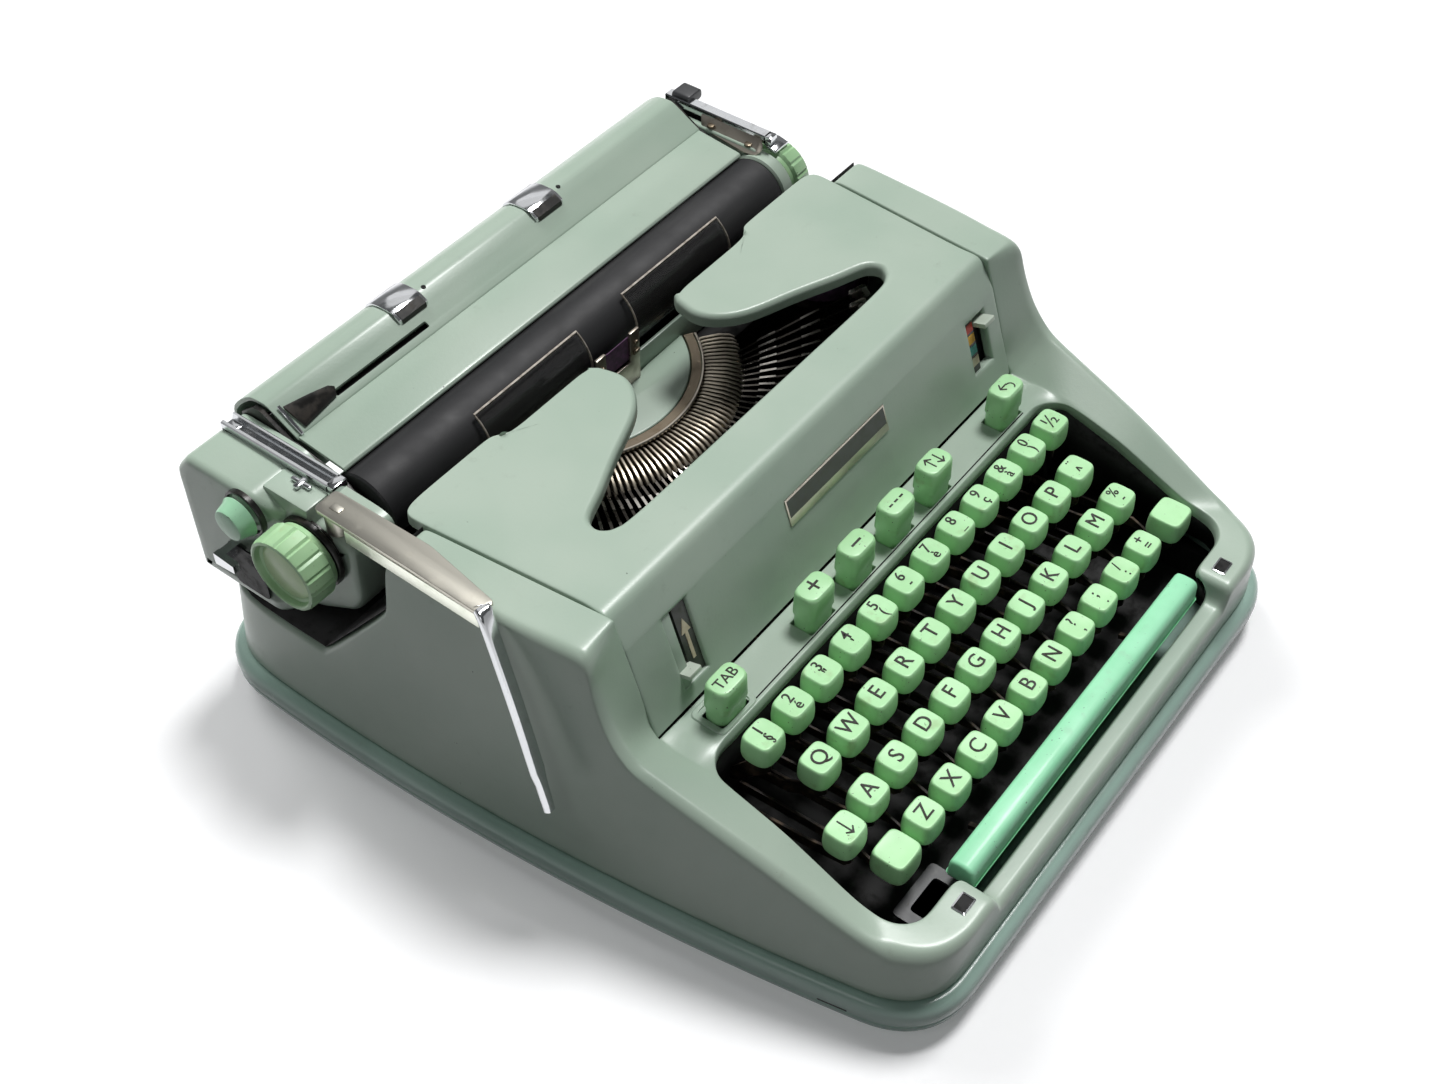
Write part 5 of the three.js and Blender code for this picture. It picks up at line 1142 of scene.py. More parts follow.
    def corner_columns(self) -> list[Span]:
        """Lists the X of each column round the well's rear corner, and its share of the way to straight.

        Returns:
            Pairs of an X and a share.
        """
        angles = [math.pi / 2 * k / 4 for k in range(1, 5)]
        radius = self.well_corner
        return [(radius - self.well_half - radius * math.cos(a), math.sin(a)) for a in angles]

    def deck(self, shell: Form) -> None:
        """Adds the left half of the key deck, with its holes left open.

        Args:
            shell: the case's mesh.
        """
        edge_z = [smooth_path(self.strip_inner, self.inner_at(y))[1] for y in self.deck_rows(0)]
        columns = [(-self.well_half, 0.0), *self.corner_columns()]
        half = self.hole_half[0]
        bounds = []
        for x in self.hole_x:
            bounds += [x - half, x - half + 2, x, x + half - 2, x + half]
        stops = sorted([*bounds, -80.0, -66.0, -57.0, -28.6, 0.0])
        columns += [(x, 1.0) for x in stops]
        rings = []
        for x, share in columns:
            level = min(1.0, (x + self.well_half) / 15)
            level = level * level * (3 - 2 * level)
            rows = self.deck_rows(share)
            rings.append([Vector((x, y, z + (self.deck_z - z) * level)) for y, z in zip(rows, edge_z)])
        shell.loft(rings, closed=False, caps=False)
        cut = []
        for face in shell.bm.faces:
            middle = face.calc_center_median()
            inside_y = abs(middle.y - self.hole_y) < self.hole_half[1]
            if middle.z > 70 and inside_y and any(abs(middle.x - x) < half for x in self.hole_x):
                cut.append(face)
        bmesh.ops.delete(shell.bm, geom=cut, context="FACES")

    def shade_wall(self, stations: Sequence[Station]) -> None:
        """Adds the near-black wall below the edge of the well: painted shade in the well's depths.

        Args:
            stations: the stations of the case.
        """
        edge = [s.inner for s in stations if s.inner.y < self.deck_front + 0.1 and s.inner.z < 75]
        for x, share in self.corner_columns():
            edge.append(Vector((x, self.deck_front + self.well_corner * share, self.deck_z - 1.5)))
        edge += [Vector((x, -57, self.deck_z)) for x in (-90, -60, -30, 0)]
        rows = []
        for drop in (5, 60):
            row = []
            for p in edge:
                grow = Vector((p.x / 127 * 1.2, (1 if p.y > -60 else -0.3) * 1.2, 0))
                row.append(Vector((p.x + grow.x, p.y + grow.y, max(p.z - drop, 30))))
            rows.append(row)
        shade_wall = Form().loft(rows, closed=False, caps=False)
        shade_wall.mirror()
        shade_wall.piece("well_shade_wall", "case", self.finishes.inside, skin=0.8, faces_up=True)

    def trim(self) -> None:
        """Adds near-black pieces of painted shade (the floor inside the case, the gap under the deck's rear
        edge and the groove along the deck), the tab key's frame and the shift bracket.
        """
        f = self.finishes
        # The floor, gap block and groove strip are near-black: painted shade inside the case, under the
        # deck's rear edge and in the deck's groove.
        Form().prism(Axis.Z, rectangle(150, 150, 20, 3), (12.5, 13.5)).piece("case_floor_shade", "case", f.inside)
        Form().block((-125, 125), (-43.5, -38.5), (62, 68), 0).piece("deck_gap_shade", "case", f.inside)
        Form().block((-108, 108), (-56.4, -55.8), (73.2, 73.62), 0.05).piece("deck_groove_shade", "case", f.inside)
        sizes = ((9.4, 6.4, 73.3), (9.4, 6.4, 74.1), (10.9, 7.9, 74.1), (11.3, 8.3, 73.7), (11.3, 8.3, 73.3))
        levels = [(rectangle(half_x, half_y, 3, 5), z) for half_x, half_y, z in sizes]
        Form().band(levels, -100, -49).piece("tab_frame", "case", f.paint)
        sizes = ((9, 4, 26), (9, 4, 27.4), (14, 8.5, 27.4), (14, 8.5, 26))
        levels = [(rectangle(half_x, half_y, 2, 3), z) for half_x, half_y, z in sizes]
        Form().band(levels, -97, -144).piece("shift_bracket", "case", f.grip)

    def bay_shade_wall(self) -> None:
        """Adds near-black sheets in the openings for the carriage ends: painted shade under the end covers.
        """
        line = [
            (66.8, 127), (66.8, 104.5), (69.2, 99.6), (85, 80.4), (99.8, 62.6), (103.4, 58.8), (121, 58.5),
            (139, 58.5),
        ]
        # Each sheet is near-black: painted shade under an end cover.
        for name, sign in (("left", 1), ("right", -1)):
            rows = []
            for y, z in line:
                rows.append([(-sign * (self.plan.half(y, z) - 1.8), y, z), (-sign * 127.5, y, z)])
            for k in range(1, 8):
                wall = self.plan.rear(k / 7, 58.5)
                edge = wall + (Vector((-130, 140, 58.5)) - wall).normalized() * 1.8
                inner_x = max(edge.x + 5, -127.5)
                rows.append([(sign * edge.x, edge.y, 58.5), (sign * inner_x, edge.y - 5, 58.5)])
            sheet = Form().loft(rows, closed=False, caps=False)
            sheet.piece(f"bay_shade_wall_{name}", "case", self.finishes.inside, skin=0.4, faces_up=True)

    def eyelets(self) -> None:
        """Adds the two bright latch eyelets in the front pads."""
        for name, x in (("left", -103.0), ("right", 103.0)):
            outer, inner = rectangle(4.3, 3, 0.9), rectangle(3.6, 2.35, 0.5)
            ring = Form().band(((outer, 46.2), (outer, 47.3), (inner, 47.45), (inner, 46.4)), x, -160)
            ring.piece(f"latch_eyelet_{name}", "case", self.finishes.chrome)
            # A near-black block inside each eyelet: painted shade in its slot.
            hole = Form().prism(Axis.Z, moved(inner, x, -160), (46.2, 47.15))
            hole.piece(f"latch_slot_shade_{name}", "case", self.finishes.inside)


@dataclass
class BasePan:
    """The pan below the seam, with its rolled rim."""

    finishes: Finishes
    plan: CasePlan = CasePlan()
    rim: Outline = (
        (-6, 9), (-3.2, 10.5), (-3, 19), (-2.2, 20.4), (-0.5, 20.7), (1.4, 20.6), (3.4, 19.7), (4.6, 18),
        (5.1, 15.8), (5.2, 13.6), (5.1, 12.4), (4.5, 11.9), (4.4, 11.3), (4.9, 10.8), (4.8, 9), (4.3, 7.8),
        (3.2, 6.8), (1.6, 6.2), (-0.6, 6), (-6, 6),
    )

    def build(self) -> None:
        """Builds the pan as one closed body."""
        loop = self.outline()
        rings = [[Vector((x, y, z)) for x, y in inset(loop, -grow)] for grow, z in self.rim]
        Form().loft(rings).piece("base_tray", "case", self.finishes.base_paint, ["base_pan"], sharp=40)

    def outline(self) -> list[Span]:
        """Gives the whole outline at the seam, anticlockwise from the middle of the front.

        Returns:
            The outline.
        """
        z = self.plan.seam_z
        left = [Vector((x, self.plan.front_y, z)) for x in (-25, -50, -75, -95)]
        left += [self.plan.corner(1 - k / 12, z) for k in range(12)]
        left += [self.plan.side(-145.5 + 285 * k / 20, z) for k in range(20)]
        left += [self.plan.rear(k / 12, z) for k in range(13)]
        left += [Vector((x, self.plan.rear_y, z)) for x in (-100, -60, -30)]
        right = [(-p.x, p.y) for p in left]
        return [(0, self.plan.front_y), *right, (0, self.plan.rear_y), *((p.x, p.y) for p in reversed(left))]


@dataclass
class RibbonCover:
    """The painted cover over the type basket, with its windows, bands, tabs and blank plate."""

    finishes: Finishes
    top: float = 129.0
    front_y: float = -20.0
    half: float = 126.0
    flare: float = 0.087
    edge_radius: float = 7.0
    roll_radius: float = 2.8
    opening: Outline = (
        (0, 7), (45, 7), (80, 7.2), (91, 9), (95, 14), (91.5, 20), (79, 24.5), (62, 32), (43, 39),
        (34, 43.6), (27.6, 49.4), (23.8, 56), (23.2, 63), (26.2, 69.3),
    )
    columns: tuple[float, ...] = (
        0, 15, 30, 45, 60, 75, 85, 91, 92.6, 102, 103.6, 105.4, 107, 112, 116.4, 118, 121, 124, 126
    )
    levels: tuple[float, ...] = (116, 114, 112, 110.4, 99, 87.6, 86, 81.6, 80, 77, 75.2, 74.3)
    left_window: tuple[float, float, float, float] = (-107, -91, 80, 114)
    right_window: tuple[float, float, float, float] = (102, 118, 86, 112)

    def face_y(self, z: float) -> float:
        """Gives the Y of the sloping front face."""
        return self.front_y - (self.top - z) / 3

    def cover_half(self, y: float) -> float:
        """Gives the half width."""
        return self.half - 1.5 + self.flare * max(0.0, y - self.front_y)

    def edge_point(self, at: float) -> tuple[Vector, Vector]:
        """Gives a point on the right half of the opening's edge, and the way into the metal.

        Args:
            at: the place along the opening.

        Returns:
            The point and the way.
        """
        here = smooth_path(self.opening, at)
        ahead, behind = (smooth_path(self.opening, p) for p in (min(at + 0.05, 13), max(at - 0.05, 0)))
        along = (ahead - behind).normalized()
        return here, Vector((along.y, -along.x))

    def inner(self, at: float, room: float) -> Vector:
        """Gives the start of the rolled edge at a place along the opening.

        Args:
            at: the place along the opening.
            room: the width of the metal there.

        Returns:
            The point.
        """
        here, into = self.edge_point(at)
        spot = here + into * min(self.roll_radius, 0.4 * room)
        return Vector((-max(spot.x, 0) if at else 0, spot.y, self.top))

    def build(self) -> None:
        """Builds the cover and what it carries."""
        self.shell()
        self.touch_plate(*self.left_window)
        self.ribbon_plate(*self.right_window)
        self.plate()

    def shell(self) -> None:
        """Builds the painted sheet."""
        cover = Form()
        rings = []
        bend = self.front_y + self.edge_radius
        for x in self.columns:
            at = x / 45 if x < 45 else 1 + (x - 45) / 35 if x < 80 else 2 + (x - 80) / 46 * 2.2
            rings.append(self.band(self.inner(at, 24), Vector((-x, bend, self.top))) + self.face(x))
        cover.loft(rings, closed=False, caps=False)
        side = [(-7, 4.45), (4, 4.7), (16, 5), (30, 5.5), (44, 6), (57, 6.5), (67, 7), (74, 7.4)]
        outer = [(Vector((-self.cover_half(y), y, self.top)), at) for y, at in side]
        rear = [
            (129, 76.8, 7.7), (118, 77, 8), (104, 77, 8.3), (92, 77, 8.7), (83.5, 77, 9), (80.5, 76, 9.3)
        ]
        rear += [
            (79.3, 73, 9.7), (74, 72, 10), (62, 72, 10.5), (50, 72, 11), (40, 72, 11.6), (34.4, 72, 12.4),
            (29.9, 71.4, 13),
        ]
        outer += [(Vector((-x, y, self.top)), at) for x, y, at in rear]
        corner = Vector((-self.half, bend, self.top))
        chains = [self.band(self.inner(4.2, 24), corner)]
        for spot, at in outer:
            here, _ = self.edge_point(at)
            room = (Vector((-spot.x, spot.y)) - here).length
            chains.append(self.band(self.inner(at, room), spot))
        cover.loft(chains, closed=False, caps=False)
        cover.weld()
        cover.mirror()
        doomed = []
        for face in cover.bm.faces:
            p = face.calc_center_median()
            for x0, x1, z0, z1 in (self.left_window, self.right_window):
                if p.y < self.front_y and x0 < p.x < x1 and z0 < p.z < z1:
                    doomed.append(face)
        bmesh.ops.delete(cover.bm, geom=doomed, context="FACES")
        cover.face_up()
        windows = cover.rim(self.in_window)
        opening = cover.rim(lambda p: p.z > 128 and self.in_opening(p))
        outside = cover.rim(lambda p: p.z > 74.5 and not self.in_opening(p) and not self.in_window(p))
        cover.fold(windows, [*roll(1.2, 2), (1.3, 4)])
        cover.fold(opening, [*roll(self.roll_radius, 4), (self.roll_radius, self.roll_radius + 3.2)])
        cover.fold(outside, [*roll(0.9, 2), (0.95, 5)])
        cover.piece("cover_sheet", "cover", self.finishes.paint, ["ribbon_cover"], levels=2, faces_up=True)

    def in_window(self, p: Vector) -> bool:
        """Tells whether a point lies on the front face's windows."""
        return p.y < self.front_y - 1 and 78 < p.z < 116 and abs(p.x) < 119

    def in_opening(self, p: Vector) -> bool:
        """Tells whether a point of the top's edge belongs to the type basket opening.

        Args:
            p: the point.

        Returns:
            Whether it belongs to it.
        """
        if p.z < 128 or abs(p.x) > 101 or p.y < 0:
            return False
        return p.y < 71.9 - 0.02 * abs(p.x) and not (p.y > 70 and abs(p.x) > 30)

    def band(self, inner: Vector, outer: Vector) -> list[Vector]:
        """Gives points across the top, from the opening to the outside."""
        return [inner.lerp(outer, share) for share in (0, 0.1, 0.5, 0.9, 1)]

    def face(self, x: float) -> list[Vector]:
        """Gives the points over the front edge and down the front face.

        Args:
            x: how far they lie to the left of the middle.

        Returns:
            The points.
        """
        points = []
        radius = self.edge_radius
        for k in range(1, 4):
            angle = math.radians(72) * k / 3
            y = self.front_y + radius - radius * math.sin(angle) * 1.02
            points.append(Vector((-x, y, self.top - radius * (1 - math.cos(angle)))))
        return points + [Vector((-x, self.face_y(z), z)) for z in self.levels]

    def slab(
        self,
        name: str,
        body: str,
        finish: Finish,
        outline: Outline,
        lift: Span,
        bevel: float = 0.0,
        replaces: Sequence[str] = (),
    ) -> None:
        """Builds a piece from an (x, z) outline, parallel to the front face.

        Args:
            name: the piece's name.
            body: the CAD body that it moves with.
            finish: its finish.
            outline: the outline.
            lift: how far its back and front lie in front of the face.
            bevel: the rounding of its front edges.
            replaces: the CAD nodes that it stands for.
        """
        slope = Vector((0, -3, 1)).normalized()
        form = Form()
        points = [Vector((x, self.face_y(z), z)) + slope * lift[0] for x, z in outline]
        _, ends = form.push(points, slope * (lift[1] - lift[0]))
        if bevel:
            edges = dict.fromkeys(e for v in ends for e in v.link_edges)
            form.bevel([e for e in edges if set(e.verts) <= set(ends)], bevel)
        form.piece(name, body, finish, replaces)

    def touch_plate(self, x0: float, x1: float, z0: float, z1: float) -> None:
        """Builds the touch lever in its window, with its pale arrow and tab.

        Args:
            x0: the window's left edge.
            x1: its right edge.
            z0: its lower edge.
            z1: its upper edge.
        """
        f = self.finishes
        # A near-black slab behind the window: painted shade in its depths.
        self.slab(
            "left_window_shade", "cover", f.inside, corners((x0 - 1, x1 + 1), (z0 - 1, z1 + 1)), (-7.5, -6.5)
        )
        panel = corners((x0 + 7.4, x1 - 0.8), (z0 + 1, z1 - 1))
        self.slab("touch_scale", "cover", f.plate, panel, (-3.5, -1.5), 0.4)
        shape = [(-0.8, -9), (0.8, -9), (0.8, 3), (2.6, 3), (0, 9), (-2.6, 3), (-0.8, 3)]
        self.slab("touch_arrow", "cover", f.cream, moved(shape, x1 - 5, z0 + 17), (-1.6, -1.2))
        recess = corners((x0 + 0.2, x0 + 5.8), (z0 + 0.4, z1 - 0.4))
        self.slab("touch_recess", "cover", f.paint, recess, (-2.5, -0.7), 0.6)
        tab = corners((x0 + 0.8, x1 - 8), (z0 + 6.4, z0 + 8.2))
        self.slab("touch_tab", "touch", f.pale, tab, (-6, 4.4), 0.5, ["touch_lever"])

    def ribbon_plate(self, x0: float, x1: float, z0: float, z1: float) -> None:
        """Builds the ribbon selector in its window, with its coloured bands and tab.

        Args:
            x0: the window's left edge.
            x1: its right edge.
            z0: its lower edge.
            z1: its upper edge.
        """
        f = self.finishes
        # A near-black slab behind the window: painted shade in its depths.
        self.slab(
            "ribbon_window_shade", "cover", f.inside, corners((x0 - 1, x1 + 1), (z0 - 1, z1 + 1)),
            (-7.5, -6.5),
        )
        panel = corners((x0 + 1, x0 + 7), (z0 + 1, z1 - 1))
        self.slab("ribbon_scale", "cover", f.plate, panel, (-3.5, -1.4), 0.4)
        for i, (name, finish) in enumerate(
            (("white", f.cream), ("teal", f.teal), ("yellow", f.yellow), ("red", f.red))
        ):
            low = z0 + 4.2 + 5.2 * i
            self.slab(
                f"ribbon_band_{name}", "cover", finish, corners((x0 + 1.4, x0 + 6.6), (low, low + 3.9)),
                (-1.5, -1.2),
            )
        tab = corners((x1 - 8.6, x1 - 0.8), (z1 - 5.4, z1 - 3.4))
        self.slab("ribbon_tab", "ribbon_switch", f.pale, tab, (-6, 5), 0.5, ["ribbon_selector"])

    def plate(self) -> None:
        """Adds the blank name plate: a bright frame round a dark field."""
        f = self.finishes
        self.slab("plate_frame", "cover", f.steel, corners((-30, 39), (101, 112.7)), (0.06, 0.5), 0.15)
        self.slab("plate_field", "cover", f.plate, corners((-29.2, 38.2), (104.6, 112)), (0.4, 0.56))


# ---------------------------------------------------------------- the keys
@dataclass(frozen=True)
class KeyPlace:
    """Where one key's cap stands, and what is printed on it."""

    x: float
    y: float
    top: float
    legend: str = ""
    second: str = ""


@dataclass
class Keyboard:
    """The caps, legends and levers of all the keys."""

    finishes: Finishes
    pitch: float = 19.05
    row_pitch: float = 19.2
    row_drop: float = 9.15
    first_y: float = -71.0
    first_top: float = 80.0
    row_x: tuple[float, ...] = (-105.0, -95.4, -90.7, -81.2)
    knees: tuple[float, ...] = (44.0, 41.0, 38.0, 36.0)
    pivot_y: float = 36.0
    pivot_z: float = 24.0
    bar_half: float = 90.0
    lock_x: float = -109.75
    shift_x: Span = (-99.5, 116.0)
    shift_y: float = -128.6
    shift_top: float = 50.0
    function_y: float = -50.0
    function_top: float = 92.0
    print_depth: float = 0.34
    cap: Sequence[tuple[float, float, float]] = (
        (-10.5, 7.4, 6.9), (-10.3, 7.6, 7.1), (-8.5, 7.72, 7.2), (-5.5, 7.5, 7), (-3, 7.2, 6.75),
        (-1.3, 6.95, 6.5), (-0.45, 6.65, 6.2), (-0.1, 6.35, 5.95), (0, 6.1, 5.7), (-0.04, 5.8, 5.4),
        (-0.13, 4, 3.7), (-0.18, 2, 1.9),
    )
    legends: tuple[tuple[str, ...], ...] = (
        ("1§", "2é", "3\"", "4'", "5(", "6-", "7è", "8_", "9ç", "&à", "0)", "½"),
        tuple("QWERTYUIOP") + ("¨^",),
        tuple("ASDFGHJKLM") + ("%-",),
        tuple("ZXCVBN") + ("?,", ";.", "/:", "+="),
    )

    def build(self) -> None:
        """Builds the four rows, the end keys, the space bar and the function keys."""
        names = ("number_row", "top_row", "", "bottom_row")
        for row, name in enumerate(names):
            places = self.places(row)
            if name:
                self.group(name, name, [f"{name}_keys"], places, row)
            else:
                for i, place in enumerate(places):
                    key = f"home_row_key_{i + 1}"
                    self.group(key, f"{key}_body", [key], [place], row)
        lock = KeyPlace(self.lock_x, -112, self.first_top - 2 * self.row_drop)
        self.group("shift_lock", "lock", ["shift_lock"], [lock], 2)
        arrow = Form()
        self.arrow(arrow, Vector((lock.x, lock.y, lock.top - 0.1)), 8, math.pi)
        arrow.piece("shift_lock_arrow", "lock", self.finishes.ink)
        self.shifts()
        self.space_bar()
        self.function_keys()

    def places(self, row: int) -> list[KeyPlace]:
        """Lists the keys of a row.

        Args:
            row: the row, 0 for the numbers.

        Returns:
            Where each key stands.
        """
        y, top = self.first_y - self.row_pitch * row, self.first_top - self.row_drop * row
        return [
            KeyPlace(self.row_x[row] + self.pitch * i, y, top, *words)
            for i, words in enumerate(self.legends[row])
        ]

    def group(
        self, name: str, body: str, replaces: Sequence[str], places: Sequence[KeyPlace], row: int
    ) -> None:
        """Builds the caps, levers and legends that move together.

        Args:
            name: the start of the pieces' names.
            body: the body that they move with.
            replaces: the CAD nodes that they stand for.
            places: where each key stands.
            row: the row that sets the levers' height.
        """
        f = self.finishes
        caps, levers, words = Form(), Form(), Form()
        for place in places:
            self.cushion(caps, place, self.cap)
            self.lever(levers, place, self.knees[row])
            if place.legend:
                rise = 2.4 if place.second else 0.0
                size = 6.9 if place.second else 9.4
                weight = 0.02 if place.second else -0.005
                words.lettering(
                    place.legend, (place.x, place.y + rise, place.top - 0.05), size, self.print_depth,
                    weight=weight,
                )
                if place.second:
                    spot = (place.x, place.y - rise - 0.1, place.top - 0.05)
                    words.lettering(place.second, spot, 6.2, self.print_depth, weight=0.03)
        caps.piece(f"{name}_caps", body, f.keys, replaces, levels=2)
        levers.piece(f"{name}_levers", body, f.levers)
        if words.bm.verts:
            words.piece(f"{name}_legends", body, f.ink)

    def cushion(
        self, form: Form, place: KeyPlace, levels: Sequence[tuple[float, float, float]], grow: float = 0.0,
        corner: float = 0.0,
    ) -> None:
        """Adds one dished cap.

        Args:
            form: the mesh to add to.
            place: where the cap stands.
            levels: its height below the top and its half sizes, from the foot up.
            grow: how much larger each half size is.
            corner: the rounding of its corners, where it isn't left to the height.
        """
        rings = []
        for z, half_x, half_y in levels:
            radius = corner or min(3.3 - 0.2 * z, 0.8 * min(half_x, half_y))
            ring = rectangle(half_x + grow, half_y + grow, radius, 5 if corner else 3)
            rings.append([Vector((place.x + u, place.y + v, place.top + z)) for u, v in ring])
        form.loft(rings)

    def lever(self, form: Form, place: KeyPlace, knee: float) -> None:
        """Adds the flat steel lever below one cap.

        Args:
            form: the mesh to add to.
            place: where the cap stands.
            knee: the height of the lever's bend.
        """
        y, z = place.y, place.top
        outline = [
            (y - 4, z - 10.3), (y + 4.5, z - 10.3), (y + 4.5, z - 19), (y + 16, knee + 2),
            (self.pivot_y, self.pivot_z + 2), (self.pivot_y, self.pivot_z - 1.5), (y + 13, knee - 3),
            (y - 1, z - 24), (y - 4, z - 20),
        ]
        form.prism(Axis.X, outline, (place.x - 0.65, place.x + 0.65), 0.15, 1)

    def arrow(self, form: Form, middle: Vector, length: float, turn: float) -> None:
        """Adds a flat arrow, which points away from the typist where its turn is 0.

        Args:
            form: the mesh to add to.
            middle: the arrow's middle.
            length: its length.
            turn: its turn in radians.
        """
        half = length / 2
        outline = [(-0.3, -half), (0.3, -half), (0.3, half - 1.2), (2.0, half - 2.6), (2.3, half - 2.1)]
        outline += [(0, half + 0.1), (-2.3, half - 2.1), (-2.0, half - 2.6), (-0.3, half - 1.2)]
        c, s = math.cos(turn), math.sin(turn)
        spun = [(middle.x + u * c - v * s, middle.y + u * s + v * c) for u, v in outline]
        form.prism(Axis.Z, spun, (middle.z - self.print_depth / 2, middle.z + self.print_depth / 2))

    def shifts(self) -> None:
        """Builds the two shift keys."""
        for side, x in zip(("left", "right"), self.shift_x):
            place = KeyPlace(x, self.shift_y, self.shift_top)
            caps, levers = Form(), Form()
            self.cushion(caps, place, self.cap, 0.95)
            self.lever(levers, place, 34)
            caps.piece(
                f"shift_{side}_cap", f"shift_{side}", self.finishes.keys, [f"shift_key_{side}"], levels=2
            )
            levers.piece(f"shift_{side}_lever", f"shift_{side}", self.finishes.levers)

    def space_bar(self) -> None:
        """Builds the space bar and its two arms."""
        y0, y1, top = -156.8, -145.0, 47.0
        section = [(y0, top - 11), (y1, top - 11), (y1 - 0.4, top - 3), (y1 - 1.4, top - 0.6), (y1 - 4, top)]
        section += [(y0 + 4, top), (y0 + 1.4, top - 0.8), (y0 + 0.4, top - 3)]
        bar = Form().prism(Axis.X, rounded(section, 1.2, 3), (-self.bar_half, self.bar_half), 1.6, 3)
        bar.piece("space_bar_cap", "space", self.finishes.bar, ["space_bar"], sharp=50)
        arms = Form()
        for side in (-1, 1):
            arm = [
                (y0 + 5, 36), (y0 + 8, 36), (-143, 30), (-138, 28.4), (-138, 26), (-144, 27.5),
                (y0 + 5, 31.5),
            ]
            arms.prism(Axis.X, arm, tuple(sorted((side * 60 - 1, side * 60 + 1))))
        arms.piece("space_bar_arms", "space", self.finishes.levers)

    def function_keys(self) -> None:
        """Builds the six tall keys on the deck."""
        keys = {
            "key_tab": -100.0, "key_plus": -42.9, "key_minus": -14.3, "key_dashes": 14.3,
            "key_arrows": 42.9, "key_back_space": 100.0,
        }
        levels = (
            (-29, 7.9, 5), (-28.8, 8.1, 5.2), (-13, 8.1, 5.2), (-11.8, 8.6, 5.7), (-1.7, 8.35, 5.5),
            (-0.5, 8.0, 5.15), (-0.08, 7.6, 4.8), (0, 7.2, 4.4),
        )
        for name, x in keys.items():
            place = KeyPlace(x, self.function_y, self.function_top)
            cap = Form()
            self.cushion(cap, place, levels, corner=4.3)
            cap.piece(f"{name}_cap", f"{name}_body", self.finishes.keys, [name], sharp=30)
            self.function_mark(name, place)

    def function_mark(self, name: str, place: KeyPlace) -> None:
        """Prints a function key's mark on its top.

        Args:
            name: the key's name.
            place: where the key stands.
        """
        mark = Form()
        x, y, z = place.x, place.y, place.top + 0.05
        if name == "key_tab":
            mark.lettering("TAB", (x, y, z), 6.4, 0.2, weight=0.03)
        elif name == "key_plus":
            mark.lettering("+", (x, y, z), 12.5, 0.2)
        elif name == "key_minus":
            mark.block((x - 3, x + 3), (y - 0.5, y + 0.5), (z - 0.1, z + 0.1), 0)
        elif name == "key_dashes":
            for step in (-3.6, 0, 3.6):
                mark.block((x + step - 1.1, x + step + 1.1), (y - 0.4, y + 0.4), (z - 0.1, z + 0.1), 0)
        elif name == "key_arrows":
            self.arrow(mark, Vector((x - 2.4, y + 0.5, z - 0.05)), 6.4, 0)
            self.arrow(mark, Vector((x + 2.4, y - 0.5, z - 0.05)), 6.4, math.pi)
        else:
            self.arrow(mark, Vector((x - 1.6, y + 0.6, z - 0.05)), 5, math.pi / 2)
            turns = [math.radians(100 - 25 * k) for k in range(8)]
            bend = [(2.4 * math.cos(a), 2.2 * math.sin(a)) for a in turns]
            bend += [(1.8 * math.cos(a), 1.6 * math.sin(a)) for a in reversed(turns)]
            mark.prism(Axis.Z, moved(bend, x + 0.8, y - 1.6), (z - 0.1, z + 0.1))
        mark.piece(f"{name}_mark", f"{name}_body", self.finishes.ink)


